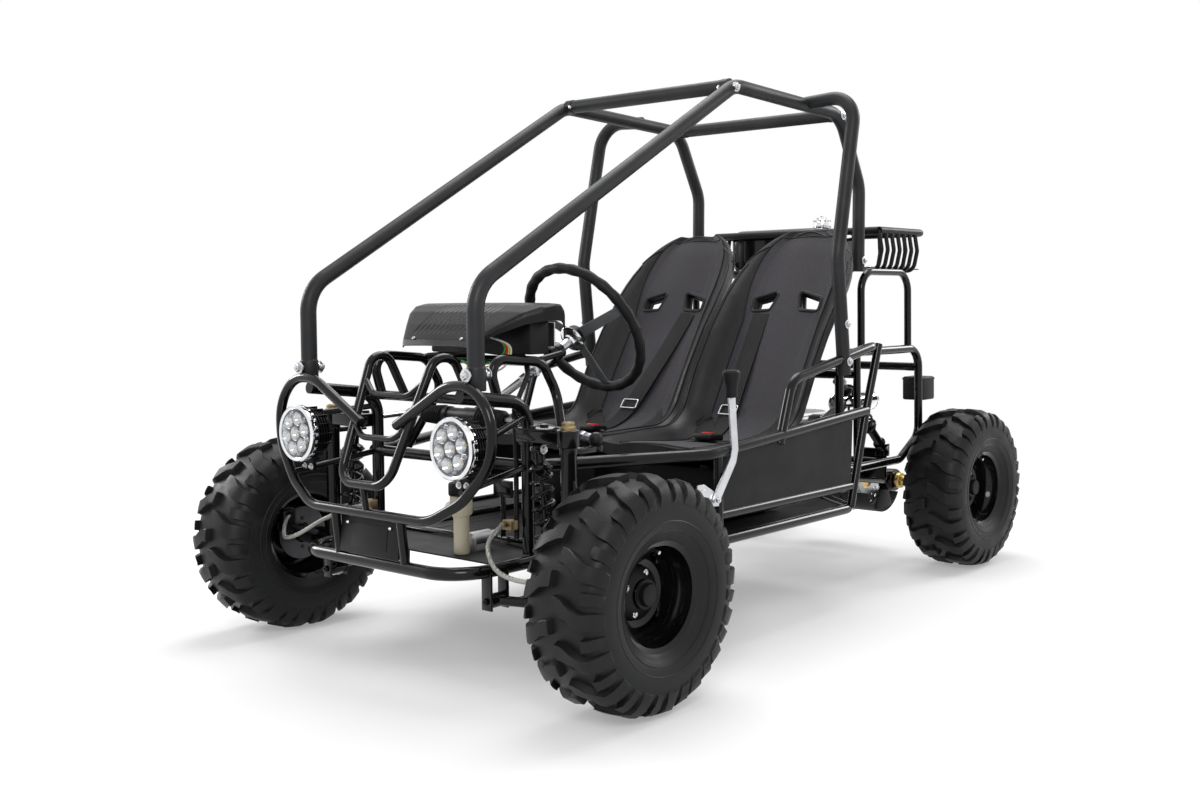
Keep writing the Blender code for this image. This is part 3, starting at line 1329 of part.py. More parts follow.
def seat_route():
    """Side view of the seat's middle from the front lip over the low point to the head."""
    corners = [
        Vector((0, CUSHION_FRONT_Y, CUSHION_FRONT_Z)),
        Vector((0, CUSHION_LOW_Y, CUSHION_LOW_Z)),
        Vector((0, SEAT_BACK_TOP_Y, SEAT_BACK_TOP_Z)),
    ]
    return rounded(corners, 2 * SEAT_THICKNESS + CAGE_BEND, SEAT_STEP)


def seat_spot(share):
    """Point and normal of the seat's middle at a share of its length."""
    route = seat_route()
    lengths = [(after - before).length for before, after in zip(route, route[1:])]
    left = share * sum(lengths)
    for before, after, length in zip(route, route[1:], lengths):
        if left <= length or after is route[-1]:
            heading = (after - before).normalized()
            return before + heading * left, Vector((0, -heading.z, heading.y))
        left -= length
    return route[-1], Vector((0, 0, 1))


SEAT_SHARES = (
    (0.00, 0.86, 0.10), (0.04, 0.90, 0.25), (0.18, 0.94, 0.55), (0.26, 0.95, 0.70), (0.34, 0.96, 0.85), (0.44, 0.98, 1.00), (0.54, 1.00, 1.10),
    (0.66, 1.00, 1.00), (0.78, 0.92, 0.75), (0.88, 0.76, 0.45), (0.96, 0.66, 0.25), (1.00, 0.50, 0.15),
)
SEAT_SECTION_SHARES = ((-1, 0.92), (-0.86, 1), (-0.60, 0.12), (-0.30, 0), (0.30, 0), (0.60, 0.12), (0.86, 1), (1, 0.92))
HOLE_SHARE = 0.80
HOLE_OFFSET = 0.0560
HOLE_WIDTH = 0.0520
HOLE_HEIGHT = 0.0340


def seat(name, side):
    """Bucket seat with raised bolsters, harness holes and the riser that stands on the pan."""
    centre = side * SEAT_X
    rings = []
    for share, width_share, bolster_share in SEAT_SHARES:
        spot, normal = seat_spot(share)
        front = []
        back = []
        for across_share, lift_share in SEAT_SECTION_SHARES:
            across = Vector((centre + across_share * SEAT_HALF_WIDTH * width_share, 0, 0))
            lift = normal * BOLSTER * bolster_share * lift_share
            front.append(spot + across + lift)
            back.append(spot + across + lift * 0.5 - normal * SEAT_THICKNESS)
        rings.append(front + back[::-1])
    shell = loft(rings, f"seat_{name}")
    spot, normal = seat_spot(HOLE_SHARE)
    heading = Vector((0, normal.z, -normal.y))
    tools = []
    for hand in (-1, 1):
        middle = spot + Vector((centre + hand * HOLE_OFFSET, 0, 0)) + normal * BOLSTER * 2
        outline = []
        for across, along in ((-1, 0.6), (1, 1), (1, -0.6), (-1, -1)):
            outline.append(middle + Vector((hand * across * HOLE_WIDTH / 2, 0, 0)) + heading * along * HOLE_HEIGHT / 2)
        tools.append(plate(outline, -normal * BOLSTER * 4))
    shell = cut(shell, tools)
    riser_low = FLOOR_Z + THIN_TUBE
    top = CUSHION_LOW_Z
    riser = block((centre, (RISER_FRONT_Y + RISER_REAR_Y) / 2, (riser_low + top) / 2),
                  (2 * RISER_HALF_WIDTH, RISER_REAR_Y - RISER_FRONT_Y, top - riser_low))
    return seat_vinyl(cut(union(f"seat_{name}", [shell, riser]), grown(floor_pipes())))


STRAP_WIDTH = 0.0460
STRAP_THICKNESS = 0.0025
STRAP_LIFT = 0.0035
BUCKLE_SIZE = 0.0500
BUCKLE_DEPTH = 0.0180


def strap(centre, route):
    """Flat band over the seat through (offset, share) spots."""
    rings = []
    for offset, share in route:
        spot, normal = seat_spot(share)
        low = spot + normal * STRAP_LIFT + Vector((centre + offset, 0, 0))
        half = Vector((STRAP_WIDTH / 2, 0, 0))
        rise = normal * STRAP_THICKNESS
        rings.append([low - half, low + half, low + half + rise, low - half + rise])
    return loft(rings)


def harness(name, side):
    """Shoulder straps from the holes of the seat down to the buckle."""
    centre = side * SEAT_X
    pieces = []
    for hand in (-1, 1):
        route = [(hand * HOLE_OFFSET, 0.78), (hand * HOLE_OFFSET * 0.8, 0.66), (hand * HOLE_OFFSET * 0.5, 0.54),
                 (hand * HOLE_OFFSET * 0.25, 0.44), (0, 0.34), (0, 0.26)]
        pieces.append(strap(centre, route))
    spot, normal = seat_spot(0.26)
    lift = spot + Vector((centre, 0, 0)) + normal * (STRAP_LIFT + BUCKLE_DEPTH / 2)
    pieces.append(block(lift, (BUCKLE_SIZE, BUCKLE_SIZE, BUCKLE_DEPTH)))
    return webbing(union(f"harness_{name}", pieces))


def plate_bracket():
    """Blank plate between the nose bar and the belt bar."""
    top = NOSE_BELT_Z - HORN_TUBE / 2
    low = FLOOR_Z + RAIL_TUBE / 2
    width = 2 * (HOOP_TOP_HALF_WIDTH - HOOP_TUBE)
    panel = block((0, (NOSE_BELT_Y + NOSE_BAR_Y) / 2, (top + low) / 2), (width, SHEET, top - low), "plate_bracket")
    return black_plastic(cut(panel, grown(nose_pipes() + floor_pipes())))


def brake_reservoir():
    """Brake fluid bottle on the floor behind the nose bar."""
    low = FLOOR_Z + SHEET / 2 + SEAT_GAP
    body = [(radius * RESERVOIR_RADIUS, length * RESERVOIR_HEIGHT) for radius, length in RESERVOIR_SHARES]
    return black_plastic(turned(body, (RESERVOIR_X, RESERVOIR_Y, low), (0, 0, 1), 12, "brake_reservoir"))


def along_x(place, width, radius, segments, name="wheel"):
    """Round plate across the axle line, centred at a place along X."""
    half = Vector((width / 2, 0, 0))
    centre = Vector((place, WHEELBASE, TYRE_RADIUS))
    return rod(centre - half, centre + half, radius, segments, name)


def ring_of_holes(place, count, ring, radius):
    """Cutters for round holes through a plate on the axle."""
    tools = []
    for spot in range(count):
        turn = math.tau * spot / count
        centre = Vector((place, WHEELBASE + ring * math.sin(turn), TYRE_RADIUS + ring * math.cos(turn)))
        reach = Vector((CUT_OVERRUN, 0, 0))
        tools.append(rod(centre - reach, centre + reach, radius, 6))
    return tools


def toothed_plate():
    """Sprocket plate with its teeth, as a flat star drawn round the axle."""
    outline = []
    left = SPROCKET_X - SPROCKET_THICKNESS / 2
    for spot in range(SPROCKET_TEETH * 2):
        turn = math.pi * spot / SPROCKET_TEETH
        reach = SPROCKET_RADIUS - TOOTH_DEPTH * (spot % 2)
        outline.append(Vector((left, WHEELBASE + reach * math.cos(turn), TYRE_RADIUS + reach * math.sin(turn))))
    return plate(outline, Vector((SPROCKET_THICKNESS, 0, 0)), "sprocket")


def rear_axle():
    """Live rear axle with its toothed sprocket and drilled brake disc."""
    reach = REAR_HALF_TRACK + RIM_HALF_WIDTH - DISC_INSET + HUB_LENGTH / 2 - RIM_WALL - SEAT_GAP
    line = Vector((0, WHEELBASE, TYRE_RADIUS))
    shaft = rod(line - Vector((reach, 0, 0)), line + Vector((reach, 0, 0)), REAR_AXLE_RADIUS, 12)
    disc = along_x(DISC_X, DISC_THICKNESS, DISC_RADIUS, 20)
    disc = cut(disc, ring_of_holes(DISC_X, DISC_HOLES, DISC_HOLE_RING, DISC_HOLE_RADIUS))
    ring = (REAR_HUB_RADIUS + SPROCKET_RADIUS) / 2
    sprocket = cut(toothed_plate(), ring_of_holes(SPROCKET_X, SPROCKET_HOLES, ring, REAR_HUB_RADIUS / 2))
    hubs = []
    for place, hand in ((DISC_X, -1), (SPROCKET_X, 1)):
        hubs.append(along_x(place + hand * REAR_HUB_RADIUS / 2, REAR_HUB_RADIUS, REAR_HUB_RADIUS, 12))
    return bare_steel(union("rear_axle", [shaft, disc, sprocket] + hubs))


def chain_path():
    """Inner line of the chain round both sprockets, as (point, outward) pairs in the YZ plane."""
    big = Vector((0, WHEELBASE, TYRE_RADIUS))
    small = Vector((0, DRIVE_SPROCKET_Y, DRIVE_SPROCKET_Z))
    big_radius = SPROCKET_RADIUS + CHAIN_CLEARANCE
    small_radius = DRIVE_SPROCKET_RADIUS + CHAIN_CLEARANCE
    line = small - big
    lean = math.asin((big_radius - small_radius) / line.length)
    heading = math.atan2(line.z, line.y)
    path = []
    for hub, radius, start, sweep in (
        (small, small_radius, heading + math.pi / 2 - lean, -math.pi + 2 * lean),
        (big, big_radius, heading - math.pi / 2 + lean, -math.pi - 2 * lean),
    ):
        steps = max(4, round(abs(sweep) * radius / (line.length / 6)) * 2)
        for step in range(steps + 1):
            turn = start + sweep * step / steps
            outward = Vector((0, math.cos(turn), math.sin(turn)))
            path.append((hub + outward * radius, outward))
    return path


def chain_stations():
    """Evenly spaced (point, outward) pairs along the chain, one for each end of a link."""
    path = chain_path()
    path.append(path[0])
    lengths = [(after[0] - before[0]).length for before, after in zip(path, path[1:])]
    stations = []
    for spot in range(CHAIN_LINKS):
        left = sum(lengths) * spot / CHAIN_LINKS
        for before, after, length in zip(path, path[1:], lengths):
            if left <= length:
                share = left / length
                outward = before[1].lerp(after[1], share).normalized()
                stations.append((before[0].lerp(after[0], share), outward))
                break
            left -= length
    return stations


def drive_chain():
    """Drive chain as one closed loop whose edge is notched between its links."""
    shape = bmesh.new()
    rings = []
    for spot, (place, outward) in enumerate(chain_stations()):
        notch = CHAIN_NOTCH * (spot % 2)
        inner = place + outward * notch
        outer = place + outward * (CHAIN_THICKNESS - notch)
        half = Vector((CHAIN_HALF_WIDTH, 0, 0))
        centre = Vector((SPROCKET_X, 0, 0))
        rings.append([shape.verts.new(centre + corner) for corner in (inner - half, outer - half, outer + half, inner + half)])
    for spot, ring in enumerate(rings):
        following = rings[(spot + 1) % len(rings)]
        for corner in range(4):
            after = (corner + 1) % 4
            shape.faces.new((ring[corner], following[corner], following[after], ring[after]))
    return bare_steel(from_bmesh("drive_chain", shape))


def axle_guard():
    """Curved guard under the sprocket and the disc, hung from the two axle carriers, with a slot for the chain."""
    centre = Vector((0, WHEELBASE, TYRE_RADIUS))
    rings = []
    for step in range(GUARD_STEPS + 1):
        turn = GUARD_START + (GUARD_END - GUARD_START) * step / GUARD_STEPS
        outward = Vector((0, math.cos(turn + math.pi) * -1, math.sin(turn)))
        half = Vector((GUARD_HALF_WIDTH + SHEET / 2, 0, 0))
        inner = centre + outward * GUARD_RADIUS
        outer = centre + outward * (GUARD_RADIUS + SHEET)
        rings.append([inner - half, inner + half, outer + half, outer - half])
    pieces = [loft(rings)]
    slot_size = (GUARD_SLOT * 2, GUARD_RADIUS * 2, GUARD_RADIUS * 2)
    slot_centre = (SPROCKET_X, WHEELBASE - GUARD_RADIUS * 1.2, TYRE_RADIUS - CARRIER_RADIUS)
    pieces = [cut(pieces[0], [block(slot_centre, slot_size)])]
    for _, side in SIDES:
        left = side * GUARD_HALF_WIDTH - SHEET / 2
        low = GUARD_RADIUS + SHEET / 2
        outline = [
            Vector((left, WHEELBASE - CARRIER_RADIUS * 0.6, TYRE_RADIUS - CARRIER_RADIUS * 0.5)),
            Vector((left, WHEELBASE + CARRIER_RADIUS * 0.6, TYRE_RADIUS - CARRIER_RADIUS * 0.5)),
            Vector((left, WHEELBASE + low * 0.5, TYRE_RADIUS - low * 0.866)),
            Vector((left, WHEELBASE - low * 0.5, TYRE_RADIUS - low * 0.866)),
        ]
        pieces.append(plate(outline, Vector((SHEET, 0, 0))))
    return pieces


def swing_arm():
    """Swing arm that carries the rear axle in two bearings."""
    pieces = []
    for _, side in SIDES:
        x = side * SWING_HALF_WIDTH
        pieces.append(tube(Pipe([Vector((x, SWING_PIVOT_Y, SWING_PIVOT_Z)), Vector((x, WHEELBASE - CARRIER_RADIUS / 2, TYRE_RADIUS))], SWING_TUBE)))
        half = Vector((CARRIER_LENGTH / 2, 0, 0))
        centre = Vector((x, WHEELBASE, TYRE_RADIUS))
        pieces.append(rod(centre - half, centre + half, CARRIER_RADIUS, 12))
        foot_share = (REAR_SHOCK_LOW_Y - SWING_PIVOT_Y) / SWING_ARM_LENGTH
        foot_low = SWING_PIVOT_Z + (TYRE_RADIUS - SWING_PIVOT_Z) * foot_share
        pieces.append(block((side * (SWING_HALF_WIDTH + REAR_SHOCK_HALF_WIDTH) / 2, REAR_SHOCK_LOW_Y, (foot_low + REAR_SHOCK_LOW_Z) / 2),
                            (REAR_SHOCK_HALF_WIDTH - SWING_HALF_WIDTH + SHOCK_EYE_WIDTH, SWING_TUBE, REAR_SHOCK_LOW_Z - foot_low)))
    pieces.append(tube(Pipe(through([Vector((REAR_SHOCK_HALF_WIDTH, SWING_PIVOT_Y, SWING_PIVOT_Z))]), SWING_TUBE)))
    arm = union("swing_arm", pieces + axle_guard())
    bore = REAR_AXLE_RADIUS + RUNNING_GAP
    reach = Vector((REAR_HALF_TRACK, 0, 0))
    line = Vector((0, WHEELBASE, TYRE_RADIUS))
    tools = [rod(line - reach, line + reach, bore, 12)] + grown(rear_pipes())
    for _, side in SIDES:
        low = (side * REAR_SHOCK_HALF_WIDTH, REAR_SHOCK_LOW_Y, REAR_SHOCK_LOW_Z)
        top = (side * REAR_SHOCK_HALF_WIDTH, REAR_SHOCK_TOP_Y, REAR_SHOCK_TOP_Z)
        tools += shock_room(top, low)
    return gloss_black(cut(arm, tools))


def rear_shock(name, side):
    """Shock between the rear frame and the swing arm."""
    top = (side * REAR_SHOCK_HALF_WIDTH, REAR_SHOCK_TOP_Y, REAR_SHOCK_TOP_Z)
    low = (side * REAR_SHOCK_HALF_WIDTH, REAR_SHOCK_LOW_Y, REAR_SHOCK_LOW_Z)
    piece = shock(f"rear_shock_{name}", top, low)
    return black_plastic(cut(piece, grown(rear_pipes())))


def finned_cylinder(base, line):
    """Cylinder with its cooling fins and head."""
    profile = [(0, 0), (CYLINDER_RADIUS, 0)]
    start = ENGINE_HALF_LENGTH
    for fin in range(FIN_COUNT):
        low = start + fin * FIN_PITCH
        profile += [(CYLINDER_RADIUS, low), (FIN_RADIUS, low), (FIN_RADIUS, low + FIN_THICKNESS)]
        profile.append((CYLINDER_RADIUS, low + FIN_THICKNESS))
    end = start + FIN_COUNT * FIN_PITCH
    profile += [(FIN_RADIUS, end), (CYLINDER_RADIUS, end + HEAD_LENGTH), (0, end + HEAD_LENGTH)]
    return turned(profile, base, line, 12, "cylinder")


def engine_centre():
    """Middle of the crankcase, which sits on the cradle."""
    return Vector((0, ENGINE_Y, cradle_height() + SIDE_TUBE / 2 + ENGINE_HALF_HEIGHT))


def engine():
    """Engine on its cradle: crankcase with round covers, finned cylinder, intake, drive sprocket and exhaust."""
    centre = engine_centre()
    case = block(centre, (ENGINE_HALF_WIDTH * 2, (ENGINE_HALF_LENGTH + SIDE_TUBE) * 2, ENGINE_HALF_HEIGHT * 2), "engine")
    edge = case.modifiers.new("edge", "BEVEL")
    edge.width = ENGINE_ROUND
    edge.segments = 1
    case = freeze(case)
    line = Vector((0, -math.cos(CYLINDER_RISE), math.sin(CYLINDER_RISE)))
    pieces = [case, finned_cylinder(centre, line)]
    left = centre + Vector((ENGINE_HALF_WIDTH - ENGINE_ROUND, 0, 0))
    pieces.append(rod(left, left + Vector((ENGINE_ROUND + COVER_DEPTH, 0, 0)), COVER_RADIUS, 14))
    shaft = Vector((-ENGINE_HALF_WIDTH + ENGINE_ROUND, DRIVE_SPROCKET_Y, DRIVE_SPROCKET_Z))
    face = Vector((SPROCKET_X - CHAIN_HALF_WIDTH, DRIVE_SPROCKET_Y, DRIVE_SPROCKET_Z))
    pieces.append(rod(shaft, face, DRIVE_SPROCKET_RADIUS - CHAIN_CLEARANCE, 12))
    port = centre + line * (ENGINE_HALF_LENGTH + FIN_COUNT * FIN_PITCH + HEAD_LENGTH / 4)
    carb = port + Vector((0, CARB_RADIUS * 3, FIN_RADIUS + CARB_RADIUS * 1.5))
    pieces.append(tube(Pipe([port, port + Vector((0, 0, FIN_RADIUS + CARB_RADIUS)), carb], CARB_RADIUS, CARB_RADIUS)))
    pieces.append(rod(carb, carb + Vector((0, FILTER_LENGTH, 0)), FILTER_RADIUS, 12))
    low = port + Vector((EXHAUST_TUBE / 2, 0, 0))
    muffler_front = Vector((MUFFLER_X, MUFFLER_FRONT_Y, MUFFLER_Z))
    route = [low, low - Vector((0, 0, FIN_RADIUS + EXHAUST_TUBE)), Vector((MUFFLER_X, low.y + CYLINDER_RADIUS, MUFFLER_Z - FIN_RADIUS)),
             muffler_front + Vector((0, MUFFLER_RADIUS, 0))]
    pieces.append(tube(Pipe(route, EXHAUST_TUBE, CYLINDER_RADIUS)))
    pieces.append(rod(muffler_front, (MUFFLER_X, MUFFLER_REAR_Y, MUFFLER_Z), MUFFLER_RADIUS, 12))
    return cast_alloy(cut(union("engine", pieces), grown(rear_pipes())))


def fuel_tank():
    """Rounded fuel tank on the rack."""
    low = RACK_DECK_Z + SHEET + SEAT_GAP
    size = (TANK_HIGH_X - TANK_LOW_X, RACK_REAR_Y - RACK_FRONT_Y - HORN_TUBE * 4, TANK_TOP_Z - low)
    centre = ((TANK_HIGH_X + TANK_LOW_X) / 2, (RACK_REAR_Y + RACK_FRONT_Y) / 2, (TANK_TOP_Z + low) / 2)
    body = block(centre, size, "fuel_tank")
    round_off = body.modifiers.new("round_off", "BEVEL")
    round_off.width = SEAT_THICKNESS * 0.8
    round_off.segments = 2
    body = freeze(body)
    return gloss_black(body)


def fuel_cap():
    """Screwed cap of the tank."""
    base = (CAP_X, (RACK_REAR_Y + RACK_FRONT_Y) / 2, TANK_TOP_Z + SEAT_GAP)
    profile = [(0, 0), (CAP_RADIUS, 0), (CAP_RADIUS, CAP_HEIGHT * 0.5), (CAP_RADIUS * 0.85, CAP_HEIGHT * 0.6),
               (CAP_RADIUS * 0.85, CAP_HEIGHT), (0, CAP_HEIGHT)]
    return bare_steel(turned(profile, base, (0, 0, 1), 16, "fuel_cap"))


def rear_rack():
    """Luggage rack: rim tube, curved ribs and deck plate."""
    rim_line = [
        Vector((RACK_HALF_WIDTH, RACK_FRONT_Y, RACK_TOP_Z)),
        Vector((RACK_HALF_WIDTH, RACK_REAR_Y, RACK_TOP_Z)),
    ]
    pieces = [tube(Pipe(through(rim_line), HORN_TUBE, HORN_BEND))]
    pieces.append(tube(Pipe(through([Vector((RACK_HALF_WIDTH, RACK_FRONT_Y, RACK_TOP_Z))]), HORN_TUBE)))
    middle = (RACK_FRONT_Y + RACK_REAR_Y) / 2
    deck_width = 2 * (RACK_HALF_WIDTH - RIB_BEND)
    pieces.append(block((0, middle, RACK_DECK_Z + SHEET / 2), (deck_width, RACK_REAR_Y - RACK_FRONT_Y, SHEET)))
    tray_low_x = TANK_HIGH_X + TRAY_MARGIN
    tray_high_x = RACK_HALF_WIDTH - RIB_BEND - THIN_TUBE
    tray_length = RACK_LENGTH - 2 * TRAY_MARGIN
    tray_centre = ((tray_low_x + tray_high_x) / 2, middle, RACK_DECK_Z + SHEET)
    pieces.append(block(tray_centre, (tray_high_x - tray_low_x, tray_length, 2 * SHEET)))
    for _, side in SIDES:
        for share in RIB_SHARES:
            y = RACK_FRONT_Y + share * (RACK_REAR_Y - RACK_FRONT_Y)
            rib = [
                handed((RACK_HALF_WIDTH, y, RACK_TOP_Z), side),
                handed((RACK_HALF_WIDTH + HORN_TUBE, y, (RACK_TOP_Z + RACK_DECK_Z) / 2), side),
                handed((RACK_HALF_WIDTH, y, RACK_DECK_Z - THIN_TUBE * RIB_DIP_SHARE), side),
                handed((RACK_HALF_WIDTH - HORN_BEND, y, RACK_DECK_Z - THIN_TUBE * RIB_DIP_SHARE), side),
            ]
            pieces.append(tube(Pipe(rib, THIN_TUBE, RIB_BEND)))
    rack = union("rear_rack", pieces)
    return black_plastic(cut(rack, grown(rear_pipes())))


def tail_box():
    """Electrical box behind the rear loop."""
    return black_plastic(block((TAIL_BOX_X, (TAIL_BOX_Y + REAR_LOOP_Y + SIDE_TUBE) / 2 + SEAT_GAP, TAIL_BOX_Z),
                               (SHOCK_SPRING_RADIUS * 3, TAIL_BOX_Y - REAR_LOOP_Y - SIDE_TUBE, SHOCK_SPRING_RADIUS * 3), "tail_box"))


def shift_lever():
    """Cranked flat lever with its knob and bracket on the left side panel."""
    x = SIDE_HALF_WIDTH + RAIL_TUBE + SEAT_GAP
    bend_z = LEVER_Z + (LEVER_KNOB_Z - LEVER_Z) * 0.4
    spots = [(LEVER_Y, LEVER_Z), (LEVER_KNOB_Y + SHEET * 4, bend_z), (LEVER_KNOB_Y, LEVER_KNOB_Z)]
    half = SHEET * 4
    outline = [Vector((x, y - half, z)) for y, z in spots] + [Vector((x, y + half, z)) for y, z in spots[::-1]]
    blade = plate(outline, Vector((SHEET * 1.6, 0, 0)), "shift_lever")
    knob = rod((x + SHEET * 0.8, LEVER_KNOB_Y, LEVER_KNOB_Z - SHEET), (x + SHEET * 0.8, LEVER_KNOB_Y, LEVER_KNOB_Z + BUCKLE_SIZE), RACK_RADIUS * 2.5)
    return bare_steel(union("shift_lever", [blade, knob]))


def pedals():
    """Brake and throttle pedals on one foot plate."""
    base = FLOOR_Z + SIDE_TUBE - SHEET
    pieces = []
    for x in (WHEEL_X - HOLE_OFFSET, WHEEL_X + HOLE_OFFSET):
        pieces.append(block((x, FLOOR_CROSS_Y, base + HOLE_WIDTH), (THIN_TUBE * 2, THIN_TUBE, HOLE_WIDTH * 2)))
        pieces.append(block((x, FLOOR_CROSS_Y, base + HOLE_WIDTH * 2), (HOLE_WIDTH, THIN_TUBE * 2, HOLE_HEIGHT)))
    pieces.append(block((WHEEL_X, FLOOR_CROSS_Y, base + SHEET), (HOLE_OFFSET * 3, HOLE_HEIGHT, SHEET * 2)))
    return bare_steel(cut(union("pedals", pieces), grown(floor_pipes())))


def centre_on(piece, point, parent):
    """Move a piece's origin onto a point without moving the piece, and parent it."""
    place = Vector(point)
    piece.data.transform(Matrix.Translation(-place))
    piece.location = place
    piece.parent = parent
    return piece


def clear_scene():
    """Remove every object of the scene."""
    for piece in list(bpy.data.objects):
        bpy.data.objects.remove(piece)


def build():
    """Model the kart."""
    clear_scene()
    kart = bpy.data.objects.new("kart", None)
    bpy.context.scene.collection.objects.link(kart)
    kart.location = (0, -WHEELBASE / 2, 0)
    fixed = [floor_frame(), front_tower(), nose_hoop(), nose_frame(), dash_frame(), rear_frame(), hood(), plate_bracket(),
             brake_reservoir(), swing_arm(), drive_chain(), engine(), fuel_tank(), fuel_cap(), rear_rack(), tail_box(), shift_lever(), pedals(),
             rack_housing(), cage_cross("front", ROOF_FRONT_Y, ROOF_FRONT_Z), cage_cross("rear", ROOF_REAR_Y, ROOF_REAR_Z)]
    for name, side in SIDES:
        fixed += [side_frame(name, side), cage_side(name, side), cage_main(name, side), upper_arm(name, side),
                  lower_arm(name, side), front_shock(name, side), rear_shock(name, side), head_lamp(name, side),
                  seat(name, side), harness(name, side)]
    for piece in fixed:
        centre_on(piece, (0, 0, 0), kart)
    centre_on(steering_wheel(), (WHEEL_X, WHEEL_Y, WHEEL_Z), kart)
    centre_on(steering_shaft(), (PINION_X, RACK_Y, RACK_Z), kart)
    centre_on(steering_rack(), (0, RACK_Y, RACK_Z), kart)
    axle = (0, WHEELBASE, TYRE_RADIUS)
    centre_on(rear_axle(), axle, kart)
    for name, side in SIDES:
        centre_on(knuckle(name, side), (side * KINGPIN_HALF_WIDTH, 0, TYRE_RADIUS), kart)
        front = (side * FRONT_HALF_TRACK, 0, TYRE_RADIUS)
        centre_on(rim(f"front_rim_{name}", front, side, STUB_RADIUS + SEAT_GAP), front, kart)
        centre_on(tyre(f"front_tyre_{name}", front, side), front, kart)
        rear = (side * REAR_HALF_TRACK, WHEELBASE, TYRE_RADIUS)
        centre_on(rim(f"rear_rim_{name}", rear, side, REAR_AXLE_RADIUS + SEAT_GAP), axle, kart)
        centre_on(tyre(f"rear_tyre_{name}", rear, side), axle, kart)


build()
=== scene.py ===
import logging
import math
from collections.abc import Callable, Iterable, Sequence
from dataclasses import dataclass, field
from enum import Enum

import bmesh
import bpy
from mathutils import Matrix, Vector


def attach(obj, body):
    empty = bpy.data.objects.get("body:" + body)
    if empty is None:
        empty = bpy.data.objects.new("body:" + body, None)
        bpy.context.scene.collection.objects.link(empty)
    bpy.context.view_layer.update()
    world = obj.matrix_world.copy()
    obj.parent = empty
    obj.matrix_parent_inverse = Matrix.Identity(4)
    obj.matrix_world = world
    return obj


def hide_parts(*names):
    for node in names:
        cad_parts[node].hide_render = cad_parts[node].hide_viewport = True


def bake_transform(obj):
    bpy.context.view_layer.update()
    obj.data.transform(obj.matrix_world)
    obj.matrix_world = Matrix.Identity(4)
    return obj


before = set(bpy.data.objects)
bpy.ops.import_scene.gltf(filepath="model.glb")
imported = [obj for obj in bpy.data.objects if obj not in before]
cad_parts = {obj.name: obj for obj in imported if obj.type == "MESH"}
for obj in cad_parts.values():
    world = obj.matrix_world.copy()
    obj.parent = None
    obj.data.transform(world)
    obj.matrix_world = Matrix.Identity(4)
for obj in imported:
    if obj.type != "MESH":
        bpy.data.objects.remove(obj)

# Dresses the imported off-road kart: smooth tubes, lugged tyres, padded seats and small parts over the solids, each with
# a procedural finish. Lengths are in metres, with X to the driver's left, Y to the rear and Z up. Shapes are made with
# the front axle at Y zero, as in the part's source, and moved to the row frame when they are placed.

LOG = logging.getLogger("kart")
AXLE_SHIFT = Vector((0.0, -0.71, 0.0))
WHEELBASE = 1.42
SIDES = (("left", 1), ("right", -1))
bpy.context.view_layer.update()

Spot = tuple[float, float, float]
Colour = tuple[float, float, float]


# ---------------------------------------------------------------- shader helpers


class Value:
    """A shader socket that Python arithmetic adds Math nodes to."""

    def __init__(self, graph: "Graph", socket: bpy.types.NodeSocket) -> None:
        """Wrap a socket of a graph."""
        self.graph = graph
        self.socket = socket

    def _math(self, operation: str, first: "Value | float", second: "Value | float") -> "Value":
        """Add one Math node."""
        return self.graph.add("ShaderNodeMath", {"operation": operation}, {0: first, 1: second})

    def __add__(self, other: "Value | float") -> "Value":
        """Sum."""
        return self._math("ADD", self, other)

    __radd__ = __add__

    def __sub__(self, other: "Value | float") -> "Value":
        """Difference."""
        return self._math("SUBTRACT", self, other)

    def __rsub__(self, other: "Value | float") -> "Value":
        """Reflected difference, as in 1 - mask."""
        return self._math("SUBTRACT", other, self)

    def __mul__(self, other: "Value | float") -> "Value":
        """Product."""
        return self._math("MULTIPLY", self, other)

    __rmul__ = __mul__

    def __pow__(self, other: "Value | float") -> "Value":
        """Power."""
        return self._math("POWER", self, other)

    def __gt__(self, other: "Value | float") -> "Value":
        """One where the value is larger, zero elsewhere."""
        return self._math("GREATER_THAN", self, other)

    def largest(self, other: "Value | float") -> "Value":
        """The larger of two values."""
        return self._math("MAXIMUM", self, other)

    def sine(self) -> "Value":
        """Sine of the value."""
        return self._math("SINE", self, 0.0)

    def wrapped(self, period: float = 1.0) -> "Value":
        """Remainder within a period."""
        return self._math("WRAP", self, period)


